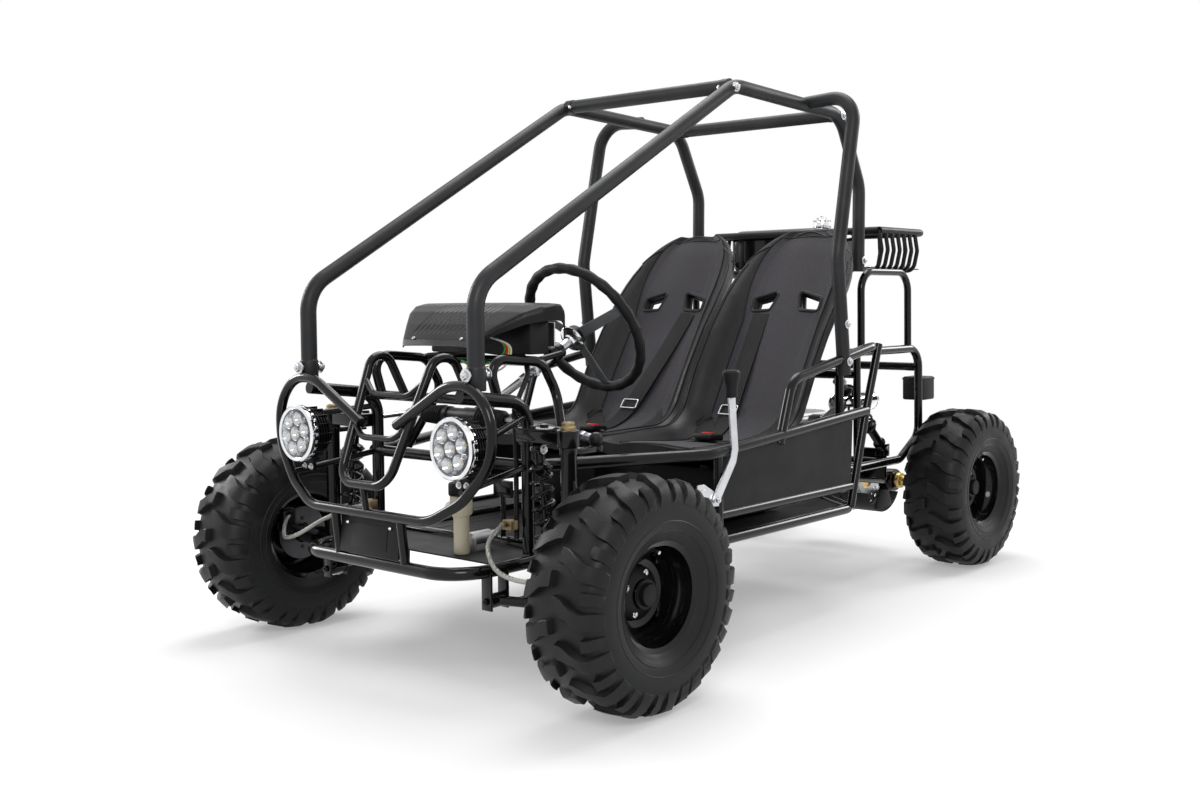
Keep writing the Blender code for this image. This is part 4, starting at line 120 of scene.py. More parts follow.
class Graph:
    """The nodes of one material or world."""

    def __init__(self, tree: bpy.types.NodeTree) -> None:
        """Take over a node tree."""
        self.tree = tree

    def add(self, kind: str, settings: dict[str, object] | None = None,
            inputs: dict[str | int, object] | None = None, output: str | int = 0) -> Value:
        """Add a node.

        Args:
            kind: The node's type.
            settings: Its settings, set before its sockets; "stops" are a ramp's positions and colours.
            inputs: Values or links of its sockets by name or number.
            output: The socket that is returned.

        Returns:
            The output as a value.
        """
        node = self.tree.nodes.new(kind)
        for key, value in (settings or {}).items():
            if key == "stops":
                for spot, (place, colour) in enumerate(value):
                    stop = node.color_ramp.elements[spot] if spot < 2 else node.color_ramp.elements.new(place)
                    stop.position = place
                    stop.color = (*colour, 1.0)
            else:
                setattr(node, key, value)
        for key, value in (inputs or {}).items():
            if isinstance(value, Value):
                self.tree.links.new(value.socket, node.inputs[key])
            else:
                node.inputs[key].default_value = value
        return Value(self, node.outputs[output])

    def spots(self, scale: Spot = (1.0, 1.0, 1.0), uv: bool = False) -> Value:
        """Object coordinates or the UV map, scaled."""
        source = self.add("ShaderNodeTexCoord", output="UV" if uv else "Object")
        return self.add("ShaderNodeMapping", inputs={"Vector": source, "Scale": scale})

    def axis(self, name: str, uv: bool = False) -> Value:
        """One coordinate as a number."""
        return self.add("ShaderNodeSeparateXYZ", inputs={0: self.spots(uv=uv)}, output=name)

    def noise(self, scale: float, detail: float = 3.0, stretch: Spot = (1.0, 1.0, 1.0)) -> Value:
        """Soft noise from 0 to 1."""
        return self.add("ShaderNodeTexNoise", inputs={"Vector": self.spots(stretch), "Scale": scale, "Detail": detail})

    def cells(self, scale: float, feature: str = "F1") -> Value:
        """Distance to the nearest of scattered points."""
        return self.add("ShaderNodeTexVoronoi", {"feature": feature}, {"Vector": self.spots(), "Scale": scale})

    def ranged(self, value: Value, low: float, high: float, start: float = 0.0, end: float = 1.0) -> Value:
        """Map a value from start..end to low..high."""
        return self.add("ShaderNodeMapRange", inputs={0: value, 1: start, 2: end, 3: low, 4: high})

    def tinted(self, share: Value, dark: Colour, pale: Colour) -> Value:
        """Mix two colours by a share."""
        return self.add("ShaderNodeMix", {"data_type": "RGBA"}, {0: share, 6: (*dark, 1.0), 7: (*pale, 1.0)}, 2)

    def bump(self, height: Value, depth: float, strength: float = 1.0) -> Value:
        """Normal that a height gives."""
        return self.add("ShaderNodeBump", inputs={"Height": height, "Distance": depth, "Strength": strength})

    def principled(self, constants: dict[str, object], varying: dict[str, Value]) -> None:
        """Set the shader's own sockets and link what varies over the surface."""
        shader = next(node for node in self.tree.nodes if node.type == "BSDF_PRINCIPLED")
        for key, value in constants.items():
            shader.inputs[key].default_value = (*value, 1.0) if isinstance(value, tuple) else value
        for key, value in varying.items():
            self.tree.links.new(value.socket, shader.inputs[key])


# ---------------------------------------------------------------- finishes


@dataclass(frozen=True)
class Finish:
    """A surface finish: its name, the record's slot, its colour and its roughness."""

    name: str
    slot: str
    colour: Colour
    roughness: float

    def material(self) -> bpy.types.Material:
        """The material, made once."""
        title = f"finish_{self.name}"
        found = bpy.data.materials.get(title)
        if found is None:
            found = bpy.data.materials.new(title)
            found.use_nodes = True
            self.shade(Graph(found.node_tree))
        return found

    def shade(self, graph: Graph) -> None:
        """Build the nodes."""
        graph.principled({"Base Color": self.colour, "Roughness": self.roughness}, {})

    def mottled(self, graph: Graph, scale: float, spread: float) -> Value:
        """The finish's colour with a soft variation."""
        low = tuple(part * (1 - spread) for part in self.colour)
        high = tuple(part * (1 + spread) for part in self.colour)
        return graph.tinted(graph.noise(scale), low, high)


@dataclass(frozen=True)
class Paint(Finish):
    """Powder coat with a clear gloss, a slight orange peel and dust in patches."""

    gloss: float = 1.0
    peel: float = 260.0

    def shade(self, graph: Graph) -> None:
        """Build the nodes."""
        peel = graph.noise(self.peel, 1.0)
        dust = graph.ranged(graph.noise(9.0, 5.0), 0.0, 1.0, 0.45, 0.75)
        graph.principled(
            {"Coat Weight": self.gloss, "Coat Roughness": 0.05, "Coat IOR": 1.24, "Specular IOR Level": 0.12},
            {
                "Base Color": graph.tinted(dust, self.colour, tuple(part * 1.7 + 0.002 for part in self.colour)),
                "Roughness": graph.ranged(dust, self.roughness, self.roughness + 0.12),
                "Normal": graph.bump(peel, 0.0002, 0.2),
            },
        )


@dataclass(frozen=True)
class Grain(Finish):
    """Moulded plastic or matt coat with a fine even grain."""

    scale: float = 1400.0
    depth: float = 0.0002

    def shade(self, graph: Graph) -> None:
        """Build the nodes."""
        grain = graph.noise(self.scale, 2.0)
        wear = graph.ranged(graph.noise(14.0, 6.0), 0.0, 1.0, 0.35, 0.75)
        graph.principled(
            {"Specular IOR Level": 0.2},
            {
                "Base Color": graph.tinted(wear, tuple(part * 0.8 for part in self.colour), tuple(part * 1.35 for part in self.colour)),
                "Roughness": graph.ranged(wear, self.roughness + 0.06, self.roughness - 0.05),
                "Normal": graph.bump(grain, self.depth, 0.4),
            },
        )


@dataclass(frozen=True)
class Metal(Finish):
    """Bare or plated metal with fine marks and a slightly clouded polish."""

    brushed: float = 0.0

    def shade(self, graph: Graph) -> None:
        """Build the nodes."""
        cloud = graph.noise(60.0, 4.0)
        marks = graph.noise(900.0, 2.0, (1.0, 1.0, 1.0 - 0.9 * self.brushed))
        graph.principled(
            {"Metallic": 1.0},
            {
                "Base Color": self.mottled(graph, 45.0, 0.18),
                "Roughness": graph.ranged(cloud, self.roughness - 0.06, self.roughness + 0.10),
                "Normal": graph.bump(marks, 0.0001, 0.25 + 0.4 * self.brushed),
            },
        )


@dataclass(frozen=True)
class Rubber(Finish):
    """Tyre rubber: dull, with moulding marks and dust in patches."""

    def shade(self, graph: Graph) -> None:
        """Build the nodes."""
        dust = graph.ranged(graph.noise(22.0, 6.0), 0.0, 1.0, 0.45, 0.8)
        skin = graph.noise(700.0, 3.0) + graph.noise(95.0, 2.0) * 0.6
        graph.principled(
            {"Specular IOR Level": 0.24},
            {
                "Base Color": graph.tinted(dust, self.colour, tuple(part * 1.7 + 0.002 for part in self.colour)),
                "Roughness": graph.ranged(dust, self.roughness, self.roughness + 0.2),
                "Normal": graph.bump(skin, 0.0003, 0.5),
            },
        )


@dataclass(frozen=True)
class Vinyl(Finish):
    """Upholstery vinyl with a leather grain of small cells and soft folds."""

    def shade(self, graph: Graph) -> None:
        """Build the nodes."""
        cells = graph.cells(420.0)
        folds = graph.noise(26.0, 3.0)
        graph.principled(
            {"Specular IOR Level": 0.24},
            {
                "Base Color": graph.tinted(cells, tuple(part * 0.7 for part in self.colour), tuple(part * 1.5 for part in self.colour)),
                "Roughness": graph.ranged(folds, self.roughness - 0.08, self.roughness + 0.1),
                "Normal": graph.bump(cells + folds * 3.0, 0.0006, 0.55),
            },
        )


@dataclass(frozen=True)
class Woven(Finish):
    """Woven insert cloth on its own UV map, whose unit is a metre: crossed yarns with a faint purple cast."""

    pitch: float = 0.0042
    pale: Colour = (0.052, 0.042, 0.062)

    def shade(self, graph: Graph) -> None:
        """Build the nodes."""
        turn = math.tau / self.pitch
        across = (graph.axis("X", True) * turn).sine()
        along = (graph.axis("Y", True) * turn).sine()
        yarn = graph.ranged(across * along, 0.0, 1.0, -1.0, 1.0)
        knots = graph.ranged(yarn, 0.0, 1.0, 0.52, 0.95)
        graph.principled(
            {"Sheen Weight": 0.08, "Sheen Roughness": 0.4, "Specular IOR Level": 0.3},
            {
                "Base Color": graph.tinted(knots, self.colour, self.pale),
                "Roughness": graph.ranged(knots, self.roughness + 0.2, self.roughness),
                "Normal": graph.bump(yarn, 0.0009, 0.8),
            },
        )


@dataclass(frozen=True)
class Webbing(Finish):
    """Belt webbing on its own UV map: ribs along the belt, and stitched edges."""

    def shade(self, graph: Graph) -> None:
        """Build the nodes."""
        across = graph.axis("X", True)
        along = graph.axis("Y", True)
        ribs = graph.ranged((across * (math.tau / 0.0052)).sine(), 0.0, 1.0, -1.0, 1.0)
        twill = graph.ranged(((along + across) * (math.tau / 0.0018)).sine(), 0.0, 1.0, -1.0, 1.0)
        graph.principled(
            {"Sheen Weight": 0.04, "Specular IOR Level": 0.16},
            {
                "Base Color": graph.tinted(ribs * twill, self.colour, tuple(part * 2.6 for part in self.colour)),
                "Roughness": graph.ranged(twill, self.roughness - 0.1, self.roughness + 0.1),
                "Normal": graph.bump(ribs + twill * 0.5, 0.0005, 0.7),
            },
        )


@dataclass(frozen=True)
class Lens(Finish):
    """Clear moulded lens or bottle."""

    clear: float = 1.0

    def shade(self, graph: Graph) -> None:
        """Build the nodes."""
        ripple = graph.noise(120.0, 1.0)
        graph.principled(
            {"Base Color": self.colour, "Transmission Weight": self.clear, "IOR": 1.46},
            {
                "Roughness": graph.ranged(ripple, self.roughness, self.roughness + 0.03),
                "Normal": graph.bump(ripple, 0.0003, 0.2),
            },
        )


@dataclass(frozen=True)
class Braid(Finish):
    """Steel braid over a hose: two crossed sets of strands on Object coordinates, whose pattern also darkens the colour
    in the gaps between strands as painted shade.
    """

    def shade(self, graph: Graph) -> None:
        """Build the nodes."""
        first = graph.axis("X") + graph.axis("Z")
        second = graph.axis("Y") - graph.axis("Z")
        strands = (first * 2600.0).sine() * (second * 2600.0).sine()
        strand_relief_and_gap_shade = graph.ranged(strands, 0.0, 1.0, -0.6, 0.6)
        # The strand mask drives the bump and roughness, and also darkens the base colour in the gaps between strands:
        # painted shade in the weave's recesses.
        graph.principled(
            {"Metallic": 0.85},
            {
                "Base Color": graph.tinted(strand_relief_and_gap_shade, tuple(part * 0.25 for part in self.colour), self.colour),
                "Roughness": graph.ranged(strand_relief_and_gap_shade, 0.6, self.roughness),
                "Normal": graph.bump(strand_relief_and_gap_shade, 0.0005, 0.8),
            },
        )


GLOSS = Paint("gloss_black", "gloss_black", (0.0022, 0.0022, 0.0024), 0.20)
RIM_GLOSS = Paint("rim_gloss", "gloss_black", (0.0024, 0.0024, 0.0026), 0.14, 1.0, 160.0)
PAN_PAINT = Grain("pan_paint", "gloss_black", (0.0040, 0.0040, 0.0044), 0.48, 420.0, 0.00006)
PANEL_SATIN = Grain("panel_satin", "gloss_black", (0.0060, 0.0060, 0.0066), 0.46, 900.0, 0.00008)
CAGE_SATIN = Grain("cage_charcoal", "satin_charcoal", (0.0200, 0.0205, 0.0220), 0.40, 1100.0, 0.00006)
PLASTIC = Grain("moulded_black", "black_plastic", (0.0060, 0.0060, 0.0066), 0.42, 1200.0, 0.00008)
HOOD_BLACK = Grain("hood_black", "black_plastic", (0.0056, 0.0056, 0.0062), 0.34, 900.0, 0.00006)
RACK_MATT = Grain("rack_matt", "black_plastic", (0.0060, 0.0060, 0.0066), 0.40, 1200.0, 0.00008)
PLASTIC_GREY = Grain("spoke_grey", "black_plastic", (0.085, 0.09, 0.095), 0.45)
PLASTIC_RED = Grain("release_red", "black_plastic", (0.62, 0.02, 0.015), 0.35)
GRIP = Grain("grip_rubber", "black_plastic", (0.0055, 0.0055, 0.006), 0.50, 620.0, 0.0002)
RUBBER = Rubber("tyre_rubber", "tyre_rubber", (0.0058, 0.0060, 0.0068), 0.44)
BOOT = Rubber("bellows_rubber", "black_plastic", (0.006, 0.006, 0.006), 0.5)
VINYL = Vinyl("seat_vinyl", "seat_vinyl", (0.0052, 0.0052, 0.0060), 0.38)
WOVEN = Woven("seat_weave", "seat_vinyl", (0.0050, 0.0046, 0.0060), 0.42)
STRAP = Webbing("belt_webbing", "webbing", (0.0038, 0.0038, 0.0044), 0.60)
ZINC = Metal("zinc_plate", "bare_steel", (0.62, 0.63, 0.65), 0.28)
STEEL = Metal("bare_steel", "bare_steel", (0.42, 0.43, 0.45), 0.30, 1.0)
CHROME = Metal("chrome", "bare_steel", (0.82, 0.83, 0.85), 0.10)
DARK_STEEL = Metal("dark_steel", "bare_steel", (0.085, 0.085, 0.09), 0.36)
GOLD = Metal("gold_zinc", "bare_steel", (0.60, 0.44, 0.16), 0.30)
BRASS = Metal("brass_cap", "bare_steel", (0.26, 0.20, 0.11), 0.40)
COPPER = Metal("rust_pin", "bare_steel", (0.30, 0.13, 0.05), 0.45)
ALLOY = Metal("cast_alloy", "cast_alloy", (0.40, 0.40, 0.41), 0.46)
ALLOY_DARK = Metal("black_alloy", "cast_alloy", (0.022, 0.022, 0.024), 0.42)
MIRROR = Metal("lamp_mirror", "lamp", (0.52, 0.53, 0.55), 0.14)
CLEAR = Lens("lamp_clear", "lamp", (1.0, 1.0, 1.0), 0.01)
BOTTLE = Lens("bottle_beige", "black_plastic", (0.72, 0.66, 0.50), 0.38, 0.25)
BRAIDED = Braid("hose_braid", "bare_steel", (0.55, 0.53, 0.50), 0.32)
LED_WARM = Grain("led_warm", "lamp", (0.75, 0.68, 0.42), 0.3)
WIRE_GREEN = Grain("wire_green", "black_plastic", (0.03, 0.30, 0.06), 0.35)
WIRE_RED = Grain("wire_red", "black_plastic", (0.45, 0.02, 0.02), 0.35)
WIRE_YELLOW = Grain("wire_yellow", "black_plastic", (0.55, 0.42, 0.04), 0.35)
WIRE_WHITE = Grain("wire_white", "black_plastic", (0.60, 0.60, 0.58), 0.35)


# ---------------------------------------------------------------- shape helpers


def handed(spot: Sequence[float], side: int) -> Vector:
    """The spot on one side of the kart."""
    return Vector((spot[0] * side, spot[1], spot[2]))


def bent(points: Sequence[Vector], bend: float, arc: float = 7.0) -> list[Vector]:
    """Replace the corners of a route by arcs.

    Args:
        points: The corners of the route.
        bend: The radius of its bends.
        arc: The largest turn between two stations, in degrees.

    Returns:
        The stations along the bent route.
    """
    if not bend or len(points) < 3:
        return list(points)
    route = [points[0]]
    for before, corner, after in zip(points, points[1:], points[2:]):
        back, ahead = before - corner, after - corner
        inner = back.angle(ahead)
        reach = min(bend / math.tan(inner / 2), 0.49 * back.length, 0.49 * ahead.length)
        radius = reach * math.tan(inner / 2)
        start = corner + back.normalized() * reach
        hub = corner + (back.normalized() + ahead.normalized()).normalized() * (radius / math.sin(inner / 2))
        steps = max(2, math.ceil(math.degrees(math.pi - inner) / arc))
        for step in range(steps + 1):
            swing = Matrix.Rotation(-(math.pi - inner) * step / steps, 3, back.cross(ahead).normalized())
            route.append(hub + swing @ (start - hub))
    route.append(points[-1])
    return route


def stations(route: Sequence[Vector]) -> list[Matrix]:
    """A frame at each point of a route, whose Z axis follows it without twisting."""
    result = []
    side = (route[1] - route[0]).orthogonal().normalized()
    for index, spot in enumerate(route):
        before = route[max(index - 1, 0)]
        after = route[min(index + 1, len(route) - 1)]
        heading = (after - before).normalized()
        side = (side - heading * side.dot(heading)).normalized()
        turn = Matrix((side, heading.cross(side), heading)).transposed().to_4x4()
        result.append(Matrix.Translation(spot) @ turn)
    return result


def between(table: Sequence[tuple[float, float]], place: float) -> float:
    """Value of a table at a place, eased between its rows."""
    for (low, first), (high, second) in zip(table, table[1:]):
        if place <= high:
            share = min(max((place - low) / (high - low), 0.0), 1.0)
            return first + (second - first) * share
    return table[-1][1]


class Shape:
    """A mesh in the making."""

    def __init__(self) -> None:
        """Start with nothing."""
        self.mesh = bmesh.new()

    def _edges_of(self, verts: Iterable[bmesh.types.BMVert]) -> list[bmesh.types.BMEdge]:
        """Edges whose two ends are among the vertices."""
        held = set(verts)
        return [edge for edge in {e for v in held for e in v.link_edges} if edge.verts[0] in held and edge.verts[1] in held]

    def _bevelled(self, edges: Sequence[bmesh.types.BMEdge], width: float, segments: int = 2) -> None:
        """Round off edges."""
        if width and edges:
            bmesh.ops.bevel(self.mesh, geom=list(edges), offset=width, affect="EDGES", segments=segments, profile=0.5,
                            material=-1, clamp_overlap=True)

    def tube(self, points: Sequence[Vector], radius: float | Sequence[float], bend: float = 0.0, sides: int = 16) -> "Shape":
        """Sweep a round section along a route.

        Args:
            points: The corners of the route.
            radius: The section's radius, or one for each station of an unbent route.
            bend: The radius of the bends.
            sides: The section's number of sides.

        Returns:
            The shape itself.
        """
        route = bent([Vector(point) for point in points], bend)
        radii = [radius] * len(route) if isinstance(radius, float) else list(radius)
        places = [place @ Matrix.Scale(size, 4) for place, size in zip(stations(route), radii)]
        ring = bmesh.ops.create_circle(self.mesh, cap_ends=True, segments=sides, radius=1.0, matrix=places[0])["verts"]
        edges = self._edges_of(ring)
        for before, after in zip(places, places[1:]):
            grown = bmesh.ops.extrude_edge_only(self.mesh, edges=edges)["geom"]
            verts = [item for item in grown if isinstance(item, bmesh.types.BMVert)]
            bmesh.ops.transform(self.mesh, matrix=after @ before.inverted(), verts=verts)
            edges = self._edges_of(verts)
        bmesh.ops.edgeloop_fill(self.mesh, edges=edges)
        return self

    def turned(self, profile: Sequence[tuple[float, float]], base: Sequence[float], direction: Sequence[float],
               steps: int = 40, closed: bool = False) -> "Shape":
        """Turn a profile round an axis.

        Args:
            profile: Radius and offset along the axis for each corner.
            base: The point from which the offsets count.
            direction: The axis.
            steps: The number of steps round it.
            closed: Whether the last corner joins the first.

        Returns:
            The shape itself.
        """
        axis = Vector(direction).normalized()
        out = axis.orthogonal().normalized()
        start = Vector(base)
        verts = [self.mesh.verts.new(start + axis * offset + out * radius) for radius, offset in profile]
        pairs = list(zip(verts, verts[1:])) + ([(verts[-1], verts[0])] if closed else [])
        edges = [self.mesh.edges.new(pair) for pair in pairs]
        bmesh.ops.spin(self.mesh, geom=verts + edges, cent=start, axis=axis, dvec=(0, 0, 0), angle=math.tau, steps=steps,
                       space=Matrix.Identity(4), use_merge=True, use_duplicate=False)
        return self

    def rod(self, base: Sequence[float], tip: Sequence[float], radius: float, sides: int = 24, edge: float = 0.0,
            tip_radius: float | None = None) -> "Shape":
        """Add a round bar, or a prism of few sides, between two points."""
        start, end = Vector(base), Vector(tip)
        line = end - start
        place = Matrix.Translation((start + end) / 2) @ line.to_track_quat("Z", "Y").to_matrix().to_4x4()
        made = bmesh.ops.create_cone(self.mesh, cap_ends=True, segments=sides, radius1=radius, depth=line.length,
                                     radius2=radius if tip_radius is None else tip_radius, matrix=place)["verts"]
        caps = [item for item in self._edges_of(made) if any(len(face.verts) == sides for face in item.link_faces)]
        self._bevelled(caps if sides > 4 else [], edge)
        return self

    def box(self, centre: Sequence[float], size: Sequence[float], edge: float = 0.0, turn: Matrix | None = None,
            segments: int = 2) -> "Shape":
        """Add a block with rounded edges."""
        place = Matrix.Translation(Vector(centre)) @ (turn or Matrix.Identity(4)) @ Matrix.Diagonal((*size, 1.0))
        made = bmesh.ops.create_cube(self.mesh, size=1.0, matrix=place)["verts"]
        self._bevelled(self._edges_of(made), edge, segments)
        return self

    def prism(self, outline: Sequence[Sequence[float]], depth: Sequence[float], edge: float = 0.0) -> "Shape":
        """Add a flat plate from its outline."""
        face = self.mesh.faces.new([self.mesh.verts.new(Vector(spot)) for spot in outline])
        grown = bmesh.ops.extrude_face_region(self.mesh, geom=[face])["geom"]
        verts = [item for item in grown if isinstance(item, bmesh.types.BMVert)]
        bmesh.ops.translate(self.mesh, vec=Vector(depth), verts=verts)
        self.mesh.faces.new([vert for vert in reversed(face.verts)]) if not face.is_valid else None
        whole = set(verts) | {edge_.other_vert(vert) for vert in verts for edge_ in vert.link_edges}
        self._bevelled(self._edges_of(whole), edge)
        return self

    def sheet(self, surface: Callable[[float, float], Vector], columns: int, rows: int, thick: float = 0.0,
              uv_size: tuple[float, float] | None = None) -> "Shape":
        """Bend a flat grid into a surface.

        Args:
            surface: The point for a share across and a share along, both from 0 to 1.
            columns: Cells across.
            rows: Cells along.
            thick: The wall's thickness.
            uv_size: The cloth's width and length in metres, when it needs a UV map.

        Returns:
            The shape itself.
        """
        made = bmesh.ops.create_grid(self.mesh, x_segments=columns, y_segments=rows, size=0.5)["verts"]
        held = {vert: (vert.co.x + 0.5, vert.co.y + 0.5) for vert in made}
        faces = {face for vert in made for face in vert.link_faces}
        if uv_size:
            layer = self.mesh.loops.layers.uv.verify()
            for face in faces:
                for loop in face.loops:
                    across, along = held[loop.vert]
                    loop[layer].uv = (across * uv_size[0], along * uv_size[1])
        for vert, (across, along) in held.items():
            vert.co = surface(across, along)
        if thick:
            bmesh.ops.recalc_face_normals(self.mesh, faces=list(faces))
            bmesh.ops.solidify(self.mesh, geom=list(faces), thickness=thick)
        return self

    def nut(self, centre: Sequence[float], line: Sequence[float], size: float = 0.008, washer: float = 0.0) -> "Shape":
        """Add a hexagon bolt head with its washer and the round end of the bolt."""
        base, axis = Vector(centre), Vector(line).normalized()
        if washer:
            self.rod(base, base + axis * 0.0015, washer, 24, 0.0004)
            base = base + axis * 0.0015
        self.rod(base, base + axis * size * 0.75, size, 6, 0.0006)
        return self.rod(base + axis * size * 0.75, base + axis * size * 1.05, size * 0.5, 12, 0.0004)

    def placed(self, name: str, finish: Finish, body: str = "chassis", replaced: Sequence[str] = (),
               smooth: float = 38.0) -> bpy.types.Object:
        """Make the piece.

        Args:
            name: The piece's name.
            finish: Its finish.
            body: The CAD body that it rides on.
            replaced: The CAD nodes that it stands for.
            smooth: The largest angle that is shaded smooth, in degrees.

        Returns:
            The piece in the row frame.
        """
        bmesh.ops.remove_doubles(self.mesh, verts=self.mesh.verts, dist=1e-6)
        bmesh.ops.recalc_face_normals(self.mesh, faces=self.mesh.faces)
        bmesh.ops.translate(self.mesh, vec=AXLE_SHIFT, verts=self.mesh.verts)
        mesh = bpy.data.meshes.new(name)
        self.mesh.to_mesh(mesh)
        self.mesh.free()
        mesh.polygons.foreach_set("use_smooth", [True] * len(mesh.polygons))
        mesh.set_sharp_from_angle(angle=math.radians(smooth))
        mesh.materials.append(finish.material())
        piece = bpy.data.objects.new(name, mesh)
        bpy.context.scene.collection.objects.link(piece)
        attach(piece, body)
        if replaced:
            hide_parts(*replaced)
        LOG.info("%s: %d faces in %s", name, len(mesh.polygons), finish.name)
        return piece


def dress(node: str, finish: Finish) -> None:
    """Give a carried-over CAD node its finish."""
    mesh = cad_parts[node].data
    mesh.materials.clear()
    mesh.materials.append(finish.material())
    LOG.info("%s dressed in %s", node, finish.name)


# ---------------------------------------------------------------- studio


@dataclass(frozen=True)
class Lamp:
    """A soft studio lamp: where it stands, its size and its power."""

    name: str
    place: Spot
    size: float
    power: float


@dataclass(frozen=True)
class Studio:
    """Pale floor, soft lamps and the camera of the photograph."""

    eye: Spot = (1.948, -2.328, 0.703)
    yaw: float = 38.18
    pitch: float = -2.3
    roll: float = -0.44
    lens: float = 38.66
    shift: tuple[float, float] = (-0.0961, -0.0428)
    floor_size: float = 9.0
    day: float = 0.55
    lamps: tuple[Lamp, ...] = (
        Lamp("top_lamp", (-0.5, 0.6, 3.6), 3.0, 105.0),
        Lamp("front_lamp", (2.6, -3.2, 2.6), 1.6, 62.0),
        Lamp("side_lamp", (-3.4, -1.4, 1.9), 1.4, 55.0),
        Lamp("rear_lamp", (1.4, 3.6, 2.4), 1.6, 60.0),
    )

    def build(self) -> None:
        """Set up everything round the object."""
        scene = bpy.context.scene
        scene.view_settings.view_transform = "Standard"
        self.make_camera(scene)
        self.make_world(scene)
        self.make_floor()
        for lamp in self.lamps:
            self.make_lamp(lamp)

    def make_camera(self, scene: bpy.types.Scene) -> None:
        """Stand the camera where the photograph was taken."""
        data = bpy.data.cameras.new("camera")
        data.lens = self.lens
        data.sensor_width = 36.0
        data.shift_x, data.shift_y = self.shift
        data.clip_start = 0.02
        camera = bpy.data.objects.new("camera", data)
        turn = Matrix.Rotation(math.radians(self.yaw), 4, "Z") @ Matrix.Rotation(math.radians(90 + self.pitch), 4, "X")
        camera.matrix_world = Matrix.Translation(self.eye) @ turn @ Matrix.Rotation(math.radians(self.roll), 4, "Z")
        scene.collection.objects.link(camera)
        scene.camera = camera

    def seen(self, graph: Graph, path: Sequence[str]) -> Value:
        """One for the rays that the background is white to."""
        first = graph.add("ShaderNodeLightPath", output=path[0])
        for name in path[1:]:
            first = first.largest(graph.add("ShaderNodeLightPath", output=name))
        return first

    def make_world(self, scene: bpy.types.Scene) -> None:
        """White to the eye and to reflections, and an even fill light."""
        world = bpy.data.worlds.new("studio")
        world.use_nodes = True
        scene.world = world
        graph = Graph(world.node_tree)
        background = next(node for node in world.node_tree.nodes if node.type == "BACKGROUND")
        background.inputs["Color"].default_value = (1.0, 1.0, 1.0, 1.0)
        rays = self.seen(graph, ("Is Camera Ray", "Is Glossy Ray", "Is Transmission Ray"))
        level = graph.ranged(rays, self.day, 1.0)
        world.node_tree.links.new(level.socket, background.inputs["Strength"])

    def make_floor(self) -> None:
        """A wide pale floor that keeps the shadow near the object and fades into the background."""
        shape = bmesh.new()
        bmesh.ops.create_circle(shape, cap_ends=True, segments=96, radius=self.floor_size)
        mesh = bpy.data.meshes.new("floor")
        shape.to_mesh(mesh)
        shape.free()
        floor = bpy.data.objects.new("floor", mesh)
        floor.location.z = -0.0005
        bpy.context.scene.collection.objects.link(floor)
        material = bpy.data.materials.new("pale_floor")
        material.use_nodes = True
        tree = material.node_tree
        graph = Graph(tree)
        shader = next(node for node in tree.nodes if node.type == "BSDF_PRINCIPLED")
        output = next(node for node in tree.nodes if node.type == "OUTPUT_MATERIAL")
        shader.inputs["Base Color"].default_value = (0.86, 0.86, 0.86, 1.0)
        shader.inputs["Roughness"].default_value = 0.9
        shader.inputs["Specular IOR Level"].default_value = 0.0
        reach = graph.add("ShaderNodeVectorMath", {"operation": "LENGTH"}, {0: graph.spots()}, 1)
        fade = graph.ranged(reach, 0.0, 1.0, 1.5, 3.2)
        rays = self.seen(graph, ("Is Camera Ray", "Is Glossy Ray", "Is Transmission Ray"))
        glow = graph.add("ShaderNodeEmission", inputs={"Color": (1.0, 1.0, 1.0, 1.0), "Strength": 1.0})
        mask = rays * graph.ranged(fade, 0.30, 1.0)
        mixed = graph.add("ShaderNodeMixShader", inputs={0: mask, 2: glow})
        tree.links.new(shader.outputs[0], mixed.socket.node.inputs[1])
        tree.links.new(mixed.socket, output.inputs["Surface"])
        mesh.materials.append(material)

    def make_lamp(self, lamp: Lamp) -> None:
        """Hang one soft lamp, aimed at the middle of the kart."""
        data = bpy.data.lights.new(lamp.name, "AREA")
        data.shape = "DISK"
        data.size = lamp.size
        data.energy = lamp.power
        light = bpy.data.objects.new(lamp.name, data)
        aim = Vector((0.0, 0.0, 0.45)) - Vector(lamp.place)
        light.matrix_world = Matrix.Translation(lamp.place) @ aim.to_track_quat("-Z", "Y").to_matrix().to_4x4()
        bpy.context.scene.collection.objects.link(light)


# ---------------------------------------------------------------- frame


class Run(Enum):
    """How a route continues on the other side of the kart."""

    THROUGH = "one tube that crosses to the other side"
    BOTH = "one tube on each side"
    ONE = "one tube on the side that is built"


@dataclass(frozen=True)
class Route:
    """A frame tube: its radius, the radius of its bends, its corners and how it continues."""

    radius: float
    bend: float
    corners: tuple[Spot, ...]
    run: Run

    def lines(self, side: int = 1) -> list[list[Vector]]:
        """The centre lines that the route stands for."""
        spots = [handed(spot, side) for spot in self.corners]
        other = [handed(spot, -side) for spot in self.corners]
        if self.run is Run.THROUGH:
            middle = spots[-1:] if abs(spots[-1].x) < 1e-6 else []
            return [(spots[:-1] if middle else spots) + middle + (other[:-1] if middle else other)[::-1]]
        return [spots, other] if self.run is Run.BOTH else [spots]


